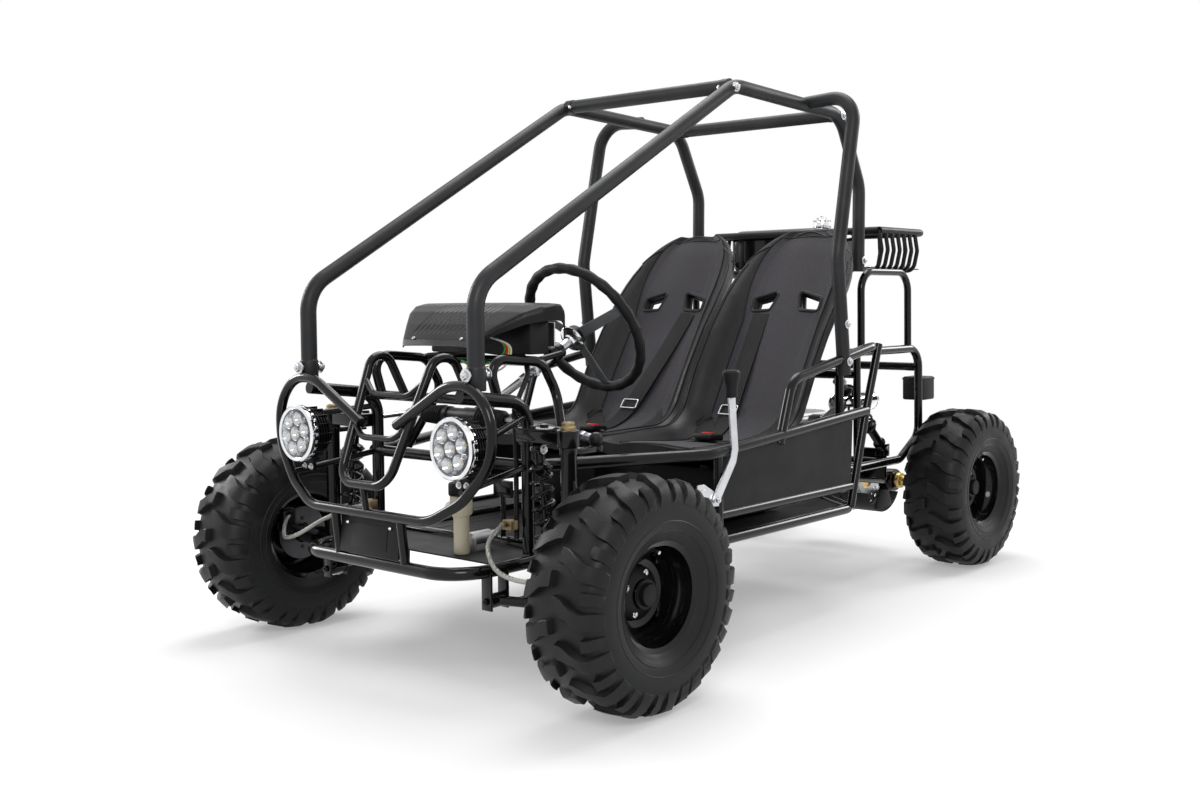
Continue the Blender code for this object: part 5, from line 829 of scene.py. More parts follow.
ROUTES: dict[str, tuple[Route, ...]] = {
    "floor_frame": (
        Route(0.012, 0.08, ((0.235, 0.96, 0.222), (0.235, -0.163, 0.222)), Run.THROUGH),
        Route(0.011, 0, ((0.235, 0.09, 0.222),), Run.THROUGH),
        Route(0.011, 0, ((0.235, 0.62, 0.222),), Run.THROUGH),
        Route(0.011, 0, ((0.235, 0.96, 0.222),), Run.THROUGH),
        Route(0.011, 0.05, ((0.235, 0.22, 0.222), (0.39, 0.345, 0.222), (0.39, 0.855, 0.222), (0.235, 0.96, 0.222)), Run.BOTH),
    ),
    "front_tower": (
        Route(0.012, 0.05, ((0.22, 0.02, 0.2333), (0.22, 0.02, 0.512), (0.22, -0.14, 0.533)), Run.BOTH),
        Route(0.011, 0, ((0.22, 0.02, 0.395),), Run.THROUGH),
        Route(0.0095, 0, ((0.22, -0.005, 0.512),), Run.THROUGH),
    ),
    "nose_hoop": (
        Route(0.0085, 0.042, ((0.096, -0.005, 0.512), (0.096, -0.07, 0.64), (0.07, -0.182, 0.366)), Run.THROUGH),
        Route(0.006, 0.042, ((0.0877, -0.1058, 0.5523), (0.051, -0.117, 0.5249)), Run.THROUGH),
        Route(0.006, 0.042, ((0.0804, -0.1372, 0.4756), (0.0467, -0.1484, 0.4482)), Run.THROUGH),
    ),
    "nose_frame": (
        Route(0.0095, 0.1, ((0.052, -0.145, 0.474), (0.195, -0.145, 0.552), (0.262, -0.145, 0.552), (0.310, -0.145, 0.500),
                            (0.306, -0.147, 0.420), (0.245, -0.160, 0.352), (0.172, -0.174, 0.313)), Run.THROUGH),
        Route(0.006, 0, ((0, -0.174, 0.313), (0, -0.182, 0.366)), Run.ONE),
        Route(0.0085, 0, ((0.096, -0.174, 0.313), (0.096, -0.163, 0.222)), Run.BOTH),
        Route(0.006, 0, ((0.308, -0.145, 0.4691), (0.22, 0.013, 0.487)), Run.BOTH),
        Route(0.006, 0, ((0.244, -0.1595, 0.369), (0.22, 0.02, 0.395)), Run.BOTH),
    ),
    "dash_frame": (
        Route(0.0095, 0.042, ((0.17, -0.005, 0.512), (0.17, -0.03, 0.595), (0.17, 0.108, 0.582), (0.17, 0.145, 0.52),
                              (0.235, 0.108, 0.395)), Run.BOTH),
        Route(0.0095, 0, ((0.17, 0.108, 0.582),), Run.THROUGH),
    ),
    "rear_frame": (
        Route(0.0095, 0, ((0.265, 1.085, 0.2785), (0.265, 1.085, 0.564)), Run.BOTH),
        Route(0.011, 0.05, ((0.235, 0.9655, 0.222), (0.265, 1.005, 0.25), (0.265, 1.005, 0.564), (0.265, 1.39, 0.564),
                            (0.265, 1.39, 0.335), (0.265, 1.29, 0.2785), (0.265, 1.005, 0.2785)), Run.BOTH),
        Route(0.0095, 0.05, ((0.262, 1.11, 0.564), (0.262, 1.11, 0.763), (0.262, 1.34, 0.763), (0.262, 1.34, 0.564)), Run.BOTH),
        Route(0.011, 0, ((0.265, 1.005, 0.514),), Run.THROUGH),
        Route(0.011, 0, ((0.265, 1.39, 0.514),), Run.THROUGH),
        Route(0.011, 0, ((0.265, 1.095, 0.2785),), Run.THROUGH),
        Route(0.011, 0, ((0.265, 1.207, 0.2785),), Run.THROUGH),
        Route(0.011, 0, ((0.265, 1.085, 0.5105),), Run.THROUGH),
    ),
    "side_frame": (
        Route(0.012, 0.065, ((0.232, 0.02, 0.395), (0.285, 0.145, 0.395), (0.39, 0.345, 0.395), (0.39, 0.923, 0.438)), Run.ONE),
        Route(0.011, 0.05, ((0.39, 0.578, 0.395), (0.39, 0.625, 0.526), (0.39, 0.98, 0.59), (0.265, 1.005, 0.553)), Run.ONE),
        Route(0.0095, 0, ((0.39, 0.37, 0.272), (0.39, 0.855, 0.272)), Run.ONE),
        Route(0.0095, 0, ((0.39, 0.37, 0.222), (0.39, 0.37, 0.395)), Run.ONE),
        Route(0.0095, 0, ((0.39, 0.855, 0.222), (0.39, 0.923, 0.438), (0.39, 0.98, 0.59)), Run.ONE),
    ),
    "cage_side": (
        Route(0.0155, 0.08, ((0.244, -0.122, 0.556), (0.244, -0.122, 0.724), (0.254, 0.608, 1.158), (0.254, 1.03, 1.14),
                             (0.254, 1.115, 0.973), (0.254, 1.11, 0.763)), Run.ONE),
    ),
    "cage_main": (
        Route(0.0155, 0.08, ((0.39, 0.831, 0.526), (0.39, 0.805, 0.79), (0.39, 0.855, 1.022), (0.39, 0.885, 1.158),
                             (0.254, 0.885, 1.1502)), Run.ONE),
    ),
    "cage_cross_front": (Route(0.0155, 0, ((0.254, 0.608, 1.158),), Run.THROUGH),),
    "cage_cross_rear": (Route(0.0155, 0, ((0.254, 1.03, 1.14),), Run.THROUGH),),
}


@dataclass(frozen=True)
class TubeFrame:
    """The welded frame: smooth tubes, floor pan, side panels, brackets and the column's bearing."""

    sides: int = 20
    sheet: float = 0.003
    floor_z: float = 0.222
    bracket_offset: float = 0.077

    def build(self) -> None:
        """Build every part of the frame."""
        for node in ("floor_frame", "front_tower", "nose_hoop", "nose_frame", "dash_frame", "rear_frame"):
            self.tubes(node, 1).placed(f"{node}_tubes", GLOSS, replaced=[node])
        for name, side in SIDES:
            self.tubes("side_frame", side).placed(f"side_frame_{name}_tubes", GLOSS, replaced=[f"side_frame_{name}"])
            self.panel(side).placed(f"side_panel_{name}", PANEL_SATIN)
        self.pan().placed("floor_pan_sheet", PAN_PAINT)
        self.brackets().placed("arm_brackets", GLOSS)
        self.bearing().placed("column_bearing", GLOSS)

    def tubes(self, group: str, side: int) -> Shape:
        """All tubes of one group on one side."""
        shape = Shape()
        for route in ROUTES[group]:
            for line in route.lines(side):
                shape.tube(line, route.radius, route.bend, self.sides)
        return shape

    def pan(self) -> Shape:
        """Pressed floor pan with long stiffening beads."""
        edge = 0.3795
        outline = [(0.235, -0.05), (0.235, 0.22), (edge, 0.345), (edge, 0.855), (0.235, 0.9545)]
        spots = [(x, y, self.floor_z - self.sheet / 2) for x, y in outline]
        spots += [(-x, y, z) for x, y, z in spots[::-1]]
        shape = Shape().prism(spots, (0, 0, self.sheet))
        for x in (-0.17, -0.085, 0.0, 0.085, 0.17):
            shape.tube([Vector((x, 0.13, self.floor_z)), Vector((x, 0.56, self.floor_z))], 0.003, sides=8)
        return shape

    def panel(self, side: int) -> Shape:
        """Side panel between sill and belt rail, with a folded field."""
        x = 0.39
        corners = [(0.376, 0.278), (0.852, 0.278), (0.862, 0.428), (0.376, 0.389)]
        shape = Shape()
        spots = [Vector((side * (x - 0.0015), y, z)) for y, z in corners]
        middle = sum(spots, Vector()) / len(spots)
        face = shape.mesh.faces.new([shape.mesh.verts.new(spot) for spot in spots])
        bmesh.ops.inset_region(shape.mesh, faces=[face], thickness=0.016, depth=0.0)
        inner = bmesh.ops.inset_region(shape.mesh, faces=[face], thickness=0.004, depth=0.0)
        bmesh.ops.translate(shape.mesh, vec=(side * 0.004, 0, 0), verts=list(face.verts))
        bmesh.ops.recalc_face_normals(shape.mesh, faces=shape.mesh.faces)
        bmesh.ops.solidify(shape.mesh, geom=list(shape.mesh.faces), thickness=self.sheet * 0.8)
        del middle, inner
        return shape

    def brackets(self) -> Shape:
        """Plates that hold the inner pivots of the lower arms, with their bolts."""
        shape = Shape()
        for _, side in SIDES:
            for end in (-1, 1):
                for face in (-1, 1):
                    station = end * self.bracket_offset + face * 0.0193
                    shape.box((side * 0.235, station, 0.187), (0.026, 0.004, 0.070), 0.0012)
                shape.nut((side * 0.235, end * self.bracket_offset + end * 0.0215, 0.168), (0, end, 0), 0.007)
        return shape

    def bearing(self) -> Shape:
        """Bearing of the steering column with its stay."""
        line = Vector((0, math.cos(math.radians(29.3)), math.sin(math.radians(29.3))))
        centre = Vector((0.13, 0.265, 0.641)) - line * 0.095
        profile = [(0.011, -0.015), (0.0165, -0.015), (0.0175, -0.013), (0.0175, 0.013), (0.0165, 0.015), (0.011, 0.015)]
        shape = Shape().turned(profile, centre, line, 32, True)
        shape.tube([Vector((0.147, centre.y, centre.z)), Vector((0.147, 0.108, 0.582))], 0.006)
        return shape


@dataclass(frozen=True)
class RollCage:
    """The bolted roll cage in satin charcoal with its zinc bolts."""

    sides: int = 28
    tube: float = 0.0155

    def build(self) -> None:
        """Build tubes, collars and bolts."""
        for name, side in SIDES:
            for group in ("cage_side", "cage_main"):
                shape = Shape()
                for route in ROUTES[group]:
                    shape.tube(route.lines(side)[0], route.radius, route.bend, self.sides)
                if group == "cage_side":
                    self.collar(shape, side)
                shape.placed(f"{group}_{name}_tube", CAGE_SATIN, replaced=[f"{group}_{name}"])
            self.bolts(side).placed(f"cage_bolts_{name}", ZINC)
        for node in ("cage_cross_front", "cage_cross_rear"):
            route = ROUTES[node][0]
            line = route.lines()[0]
            shape = Shape().tube([line[0] * 0.94 + line[1] * 0.06, line[0] * 0.06 + line[1] * 0.94], route.radius, 0, self.sides)
            for spot in line:
                inward = -0.03 if spot.x > 0 else 0.03
                shape.tube([spot + Vector((inward * 0.35, 0, 0)), spot + Vector((inward, 0, 0))], 0.0166, 0, self.sides)
            shape.placed(f"{node}_tube", CAGE_SATIN, replaced=[node])

    def collar(self, shape: Shape, side: int) -> None:
        """Flared foot of a front leg, bolted to its stub."""
        base = Vector((side * 0.244, -0.122, 0.543))
        profile = [(0.0, 0.0), (0.0165, 0.0), (0.0172, 0.0015), (0.0172, 0.040), (0.0165, 0.042), (0.0155, 0.043)]
        shape.turned(profile, base, (0, 0, 1), 32)

    def bolts(self, side: int) -> Shape:
        """Bolts with large washers at the feet and at the corners of the roof."""
        shape = Shape()
        for end in (-1, 1):
            foot = Vector((side * 0.244, -0.122 + end * 0.0172, 0.571))
            shape.rod(foot, foot + Vector((0, end * 0.006, 0)), 0.0085, 20, 0.0008)
            shape.nut(foot + Vector((0, end * 0.006, 0)), (0, end, 0), 0.0078, 0.0125)
        front = Vector((side * 0.254, 0.608, 1.1560))
        shape.nut(front + Vector((side * 0.0145, -0.012, -0.004)), (side, -0.25, 0), 0.0075, 0.0105)
        shape.nut(Vector((side * 0.2245, 0.5985, 1.1565)), (0, -1, 0.1), 0.006, 0.009)
        rear = Vector((side * 0.2690, 1.020, 1.135))
        shape.nut(rear, (side, 0, 0), 0.0065, 0.010)
        for place, line in (((0.4050, 0.829, 0.556), (1, 0, 0)), ((0.4050, 0.821, 0.640), (1, 0, 0)), ((0.27, 1.111, 0.79), (1, 0, 0))):
            shape.nut(handed(place, side), handed(line, side), 0.0065, 0.010)
        return shape


# ---------------------------------------------------------------- wheels


@dataclass(frozen=True)
class Wheel:
    """A knobby tyre on a deep steel rim."""

    name: str
    axle: str
    side: int
    half_track: float
    station: float
    body: str
    radius: float = 0.2030
    groove: float = 0.1905
    half_width: float = 0.0815
    lugs: int = 16
    skew: float = 0.45

    @property
    def centre(self) -> Vector:
        """The middle of the wheel."""
        return Vector((self.side * self.half_track, self.station, self.radius))

    def build(self) -> None:
        """Build tyre, rim, hub and nuts."""
        title = f"{self.axle}_{self.name}"
        self.tyre().placed(f"{self.axle}_tyre_{self.name}_tread", RUBBER, self.body, [f"{self.axle}_tyre_{self.name}"], 32)
        self.rim().placed(f"{self.axle}_rim_{self.name}_dish", RIM_GLOSS, self.body, [f"{self.axle}_rim_{self.name}"], 40)
        self.hub().placed(f"hub_{title}", PLASTIC, self.body)
        self.nuts().placed(f"wheel_nuts_{title}", ZINC, self.body)

    def section(self) -> list[tuple[float, float]]:
        """Radius and offset of the carcass from bead to bead."""
        half = [
            (0.0900, 0.0573), (0.0945, 0.0630), (0.1010, 0.0665), (0.1060, 0.0700), (0.1120, 0.0745), (0.1220, 0.0785),
            (0.1350, 0.0805), (0.1480, 0.0803), (0.1600, 0.0785), (0.1700, 0.0755), (0.1790, 0.0700), (0.1850, 0.0600),
            (0.1885, 0.0450), (0.1900, 0.0250), (self.groove, 0.0),
        ]
        return half + [(radius, -offset) for radius, offset in half[-2::-1]]

    def crown(self, offset: float) -> tuple[float, float]:
        """Radius and offset of the carcass at an arc share, from the tread's middle to the sidewall."""
        table_r = ((0.0, 0.1905), (0.25, 0.190), (0.45, 0.1885), (0.60, 0.185), (0.72, 0.179), (0.82, 0.170), (1.0, 0.150))
        table_o = ((0.0, 0.0), (0.25, 0.025), (0.45, 0.045), (0.60, 0.060), (0.72, 0.070), (0.82, 0.0755), (1.0, 0.0800))
        return between(table_r, offset), between(table_o, offset)

    def lug(self, shape: Shape, turn: float, hand: int, span: tuple[float, float], width: float, rise: float) -> None:
        """Add one lug.

        Args:
            shape: The tyre.
            turn: The lug's angle round the axle.
            hand: Which half of the tread it is on.
            span: Where it starts and ends, as arc shares from the middle to the sidewall.
            width: Its angular width as a share of the pitch.
            rise: Its height above the carcass.
        """
        pitch = math.tau / self.lugs
        made = bmesh.ops.create_grid(shape.mesh, x_segments=9, y_segments=2, size=0.5)["verts"]
        faces = list({face for vert in made for face in vert.link_faces})
        grown = bmesh.ops.extrude_face_region(shape.mesh, geom=faces)["geom"]
        top = {item for item in grown if isinstance(item, bmesh.types.BMVert)}
        for vert in list(made) + list(top):
            lifted = 1.0 if vert in top else 0.0
            share = span[0] + (span[1] - span[0]) * (0.5 + vert.co.x * (1 - 0.06 * lifted))
            radius, offset = self.crown(share)
            slope = max(0.0, (share - 0.60) / 0.40)
            height = lifted * rise * (1 - 0.72 * slope) - 0.002 * (1 - lifted)
            kink = 0.10 * math.sin(share * 9.0)
            taper = 1 - 0.16 * lifted + 0.25 * share
            angle = turn + pitch * (self.skew * (1 - share) + vert.co.y * width * taper + kink * 0.5)
            lean = slope * 1.15
            radius = min(radius + height * math.cos(lean), self.radius)
            offset = min(offset + height * math.sin(lean) * 0.5, self.half_width)
            vert.co = Vector((hand * offset, radius * math.sin(angle), radius * math.cos(angle)))
        self_edges = [edge for edge in shape._edges_of(top) if any(len(face.verts) == 4 and not all(v in top for v in face.verts) for face in edge.link_faces)]
        shape._bevelled(self_edges, 0.0014, 1)

    def tyre(self) -> Shape:
        """Carcass with long chevron lugs and short shoulder blocks."""
        shape = Shape()
        pitch = math.tau / self.lugs
        for spot in range(self.lugs):
            for hand, phase in ((-1, 0.0), (1, 0.5)):
                turn = (spot + 0.3 + phase) * pitch
                self.lug(shape, turn, hand, (0.02, 0.97), 0.36, 0.0125)
                self.lug(shape, turn + pitch * 0.49, hand, (0.58, 0.95), 0.26, 0.0110)
        shape.turned(self.section(), (0, 0, 0), (1, 0, 0), 96)
        for ring, height in ((0.1130, 0.0008), (0.1290, 0.0008)):
            for hand in (-1, 1):
                offset = hand * (0.0752 if ring < 0.12 else 0.0797)
                shape.turned([(ring - 0.0012, offset), (ring, offset + hand * height), (ring + 0.0012, offset)], (0, 0, 0), (1, 0, 0), 96)
        self._move(shape)
        return shape

    def _move(self, shape: Shape) -> None:
        """Bring a shape made round the origin to the wheel."""
        if self.side < 0:
            bmesh.ops.scale(shape.mesh, vec=(-1, 1, 1), verts=shape.mesh.verts)
        bmesh.ops.translate(shape.mesh, vec=self.centre, verts=shape.mesh.verts)

    def rim(self) -> Shape:
        """Rolled steel rim with rounded flanges, drop centre, disc and hub."""
        outer = [(0.026, 0.004), (0.045, 0.004), (0.058, 0.010), (0.066, 0.006), (0.0735, 0.004), (0.0740, 0.010), (0.0740, 0.024),
                 (0.0790, 0.034), (0.0845, 0.044), (0.0855, 0.058), (0.0925, 0.0620), (0.0985, 0.0640), (0.1008, 0.0655),
                 (0.1014, 0.0640), (0.0998, 0.0612), (0.0925, 0.0580), (0.0888, 0.0540), (0.0880, 0.0400), (0.0780, 0.0250)]
        inner = [(radius, -offset) for radius, offset in outer[:3:-1]]
        profile = outer + inner + [(0.0735, -0.004), (0.066, -0.002), (0.058, 0.002), (0.045, -0.004), (0.026, -0.004)]
        shape = Shape().turned(profile, (0, 0, 0), (1, 0, 0), 72, True)
        shape.turned([(0.0128, -0.028), (0.024, -0.028), (0.026, -0.026), (0.026, 0.026), (0.024, 0.028), (0.0128, 0.028)],
                     (0, 0, 0), (1, 0, 0), 40, True)
        for spot in range(4):
            angle = math.tau * (spot + 0.5) / 4
            place = Vector((0.012, 0.0665 * math.sin(angle), 0.0665 * math.cos(angle)))
            shape.rod(place - Vector((0.010, 0, 0)), place + Vector((0.001, 0, 0)), 0.0045, 12, 0.001)
        self._move(shape)
        return shape

    def hub(self) -> Shape:
        """Black hub cap and the flange that the nuts hold."""
        cap = [(0.0, 0.0400), (0.014, 0.0398), (0.0185, 0.0380), (0.020, 0.0345), (0.020, 0.029), (0.0255, 0.0285), (0.0255, 0.020),
               (0.044, 0.012), (0.046, 0.0095), (0.046, 0.0045), (0.0, 0.0045)]
        shape = Shape().turned(cap, (0, 0, 0), (1, 0, 0), 40)
        self._move(shape)
        return shape

    def nuts(self) -> Shape:
        """Four nuts on their studs and the valve."""
        shape = Shape()
        for spot in range(4):
            angle = math.tau * spot / 4 + 0.4
            place = Vector((0.0105, 0.0355 * math.sin(angle), 0.0355 * math.cos(angle)))
            shape.nut(place, (1, 0, 0), 0.0072, 0.0)
        shape.tube([Vector((0.035, 0.0, 0.0820)), Vector((0.046, 0.0, 0.0775)), Vector((0.058, 0.0, 0.0740))], 0.0032, 0.006, 12)
        self._move(shape)
        return shape


# ---------------------------------------------------------------- seats and belts


@dataclass(frozen=True)
class Seat:
    """Bucket seat: vinyl shell with bolsters, woven insert, piping, bezelled belt holes and a riser."""

    name: str
    side: int
    middle: float = 0.176
    half_width: float = 0.173
    thickness: float = 0.030
    bolster: float = 0.055
    hole_offset: float = 0.062
    hole_share: float = 0.775

    def spine(self) -> list[Vector]:
        """The seat's middle line from the front lip over the low point to the head."""
        corners = [Vector((0, 0.40, 0.395)), Vector((0, 0.73, 0.36)), Vector((0, 1.02, 0.861))]
        return bent(corners, 0.14, 4.0)

    def spot(self, share: float) -> tuple[Vector, Vector]:
        """Point and normal of the middle line at a share of its length."""
        route = self.spine()
        lengths = [(after - before).length for before, after in zip(route, route[1:])]
        left = min(max(share, 0.0), 1.0) * sum(lengths)
        for before, after, length in zip(route, route[1:], lengths):
            if left <= length or after is route[-1]:
                heading = (after - before).normalized()
                return before + heading * min(left, length), Vector((0, -heading.z, heading.y))
            left -= length
        return route[-1], Vector((0, 0, 1))

    def surface(self, across: float, along: float, lift: float = 0.0) -> Vector:
        """Point of the seat's front face.

        Args:
            across: From -1 at one edge to 1 at the other.
            along: Share of the seat's length.
            lift: Height above the face.

        Returns:
            The point.
        """
        widths = ((0.0, 0.86), (0.02, 0.92), (0.06, 0.96), (0.18, 0.98), (0.34, 1.0), (0.44, 1.01), (0.54, 1.02), (0.66, 1.02),
                  (0.76, 1.015), (0.82, 0.99), (0.86, 0.95), (0.90, 0.88), (0.93, 0.80), (0.96, 0.68), (0.985, 0.53), (1.0, 0.38))
        heights = ((0.0, 0.08), (0.04, 0.25), (0.18, 0.55), (0.26, 0.70), (0.34, 0.85), (0.44, 1.0), (0.54, 1.08), (0.66, 1.0),
                   (0.78, 0.72), (0.88, 0.42), (0.96, 0.22), (1.0, 0.12))
        section = ((0.0, 0.0), (0.30, 0.0), (0.45, 0.03), (0.60, 0.16), (0.72, 0.52), (0.80, 0.82), (0.88, 0.98), (0.94, 1.0), (1.0, 0.86))
        spot, normal = self.spot(along)
        size = abs(across)
        rise = self.bolster * between(heights, along) * between(section, size)
        crown = 0.006 * math.cos(min(size / 0.58, 1.0) * math.pi / 2)
        middle = Vector((self.side * self.middle + across * self.half_width * between(widths, along), 0, 0))
        return spot + middle + normal * (rise + crown - 0.004 + lift)

    def build(self) -> None:
        """Build the seat."""
        shell = self.shell()
        shell_piece = shell.placed(f"seat_{self.name}_shell", VINYL, replaced=[f"seat_{self.name}"], smooth=50)
        self.cut_holes(shell_piece)
        self.cut_holes(self.insert().placed(f"seat_{self.name}_insert", WOVEN, smooth=60))
        self.piping().placed(f"seat_{self.name}_piping", VINYL)
        self.bezels().placed(f"seat_{self.name}_bezels", PLASTIC)
        self.riser().placed(f"seat_{self.name}_riser", PANEL_SATIN)

    def shell(self) -> Shape:
        """Closed shell with its bolsters."""
        shape = Shape()
        shape.sheet(lambda u, v: self.surface(2 * u - 1, v), 46, 84, self.thickness * 0.8)
        return shape

    def cut_holes(self, piece: bpy.types.Object) -> None:
        """Cut the two belt holes through the shell."""
        tool = Shape()
        for hand in (-1, 1):
            outline, normal = self.hole(hand, 1.0, -0.06)
            tool.prism(outline, normal * 0.14)
        bmesh.ops.recalc_face_normals(tool.mesh, faces=tool.mesh.faces)
        bmesh.ops.translate(tool.mesh, vec=AXLE_SHIFT, verts=tool.mesh.verts)
        mesh = bpy.data.meshes.new("hole_tool")
        tool.mesh.to_mesh(mesh)
        tool.mesh.free()
        cutter = bpy.data.objects.new("hole_tool", mesh)
        bpy.context.scene.collection.objects.link(cutter)
        step = piece.modifiers.new("holes", "BOOLEAN")
        step.operation, step.object, step.solver = "DIFFERENCE", cutter, "EXACT"
        bpy.context.view_layer.update()
        graph = bpy.context.evaluated_depsgraph_get()
        cut = bpy.data.meshes.new_from_object(piece.evaluated_get(graph), depsgraph=graph)
        piece.modifiers.clear()
        piece.data = cut
        piece.data.name = piece.name
        bpy.data.objects.remove(cutter)

    def hole(self, hand: int, size: float, depth: float) -> tuple[list[Vector], Vector]:
        """Outline of one belt hole and the seat's normal there."""
        spot, normal = self.spot(self.hole_share)
        heading = Vector((0, normal.z, -normal.y))
        middle = spot + Vector((self.side * self.middle + hand * self.hole_offset, 0, 0)) + normal * depth
        outline = []
        for across, along in ((-1, 1.0), (1, 0.30), (1, -0.85), (-0.55, -0.75)):
            outline.append(middle + Vector((hand * across * 0.031 * size, 0, 0)) + heading * along * 0.027 * size)
        return outline, normal

    def insert(self) -> Shape:
        """Padded woven panel over the seat and the back."""
        def face(u: float, v: float) -> Vector:
            """Point of the panel, crowned and tucked in at its edge."""
            along = 0.035 + v * 0.945
            narrow = 0.62 + 0.20 * max(0.0, (v - 0.72) / 0.28)
            edge = min(min(u, 1 - u) * 9.0, min(v, 1 - v) * 16.0, 1.0)
            puff = 0.0045 * math.sin(edge * math.pi / 2) - 0.0012
            return self.surface((2 * u - 1) * narrow, along, puff)
        return Shape().sheet(face, 44, 110, 0.0024, (0.22, 0.84))

    def piping(self) -> Shape:
        """Seams: piping round the insert and along the bolsters' crests."""
        shape = Shape()
        for hand in (-1, 1):
            line = [self.surface(hand * (0.625 + 0.20 * max(0.0, (step / 40 - 0.72) / 0.28)), 0.035 + step / 40 * 0.945, 0.0012)
                    for step in range(41)]
            shape.tube(line, 0.0022, 0, 8)
            crest = [self.surface(hand * 0.93, 0.03 + step / 44 * 0.86, 0.0003) for step in range(45)]
            shape.tube(crest, 0.0016, 0, 8)
        top = [self.surface(0.80 * (step / 12 * 2 - 1), 0.982, 0.0008) for step in range(13)]
        front = [self.surface(0.60 * (step / 12 * 2 - 1), 0.035, 0.0012) for step in range(13)]
        rim = [self.surface(0.985 * math.cos(step / 40 * math.pi), 0.90 + 0.098 * math.sin(step / 40 * math.pi), 0.0002) for step in range(41)]
        for line in (top, front, rim):
            shape.tube(line, 0.0020, 0, 8)
        return shape

    def bezels(self) -> Shape:
        """Thick moulded bezels of the belt holes."""
        shape = Shape()
        for hand in (-1, 1):
            outline, normal = self.hole(hand, 1.16, 0.0035)
            loop = [outline[0].lerp(outline[1], 0.5)] + outline[1:] + outline[:1] + [outline[0].lerp(outline[1], 0.5)]
            shape.tube(loop, 0.0052, 0.009, 12)
            inner, normal = self.hole(hand, 1.02, 0.0)
            inner_loop = [inner[0].lerp(inner[1], 0.5)] + inner[1:] + inner[:1] + [inner[0].lerp(inner[1], 0.5)]
            shape.tube([spot - normal * 0.012 for spot in inner_loop], 0.0035, 0.006, 8)
        return shape

    def riser(self) -> Shape:
        """Stand of the seat on the floor pan."""
        shape = Shape()
        x = self.side * self.middle
        shape.box((x, 0.615, 0.285), (0.21, 0.230, 0.114), 0.006)
        for across in (-1, 1):
            shape.box((x + across * 0.085, 0.615, 0.345), (0.022, 0.26, 0.012), 0.002)
        return shape


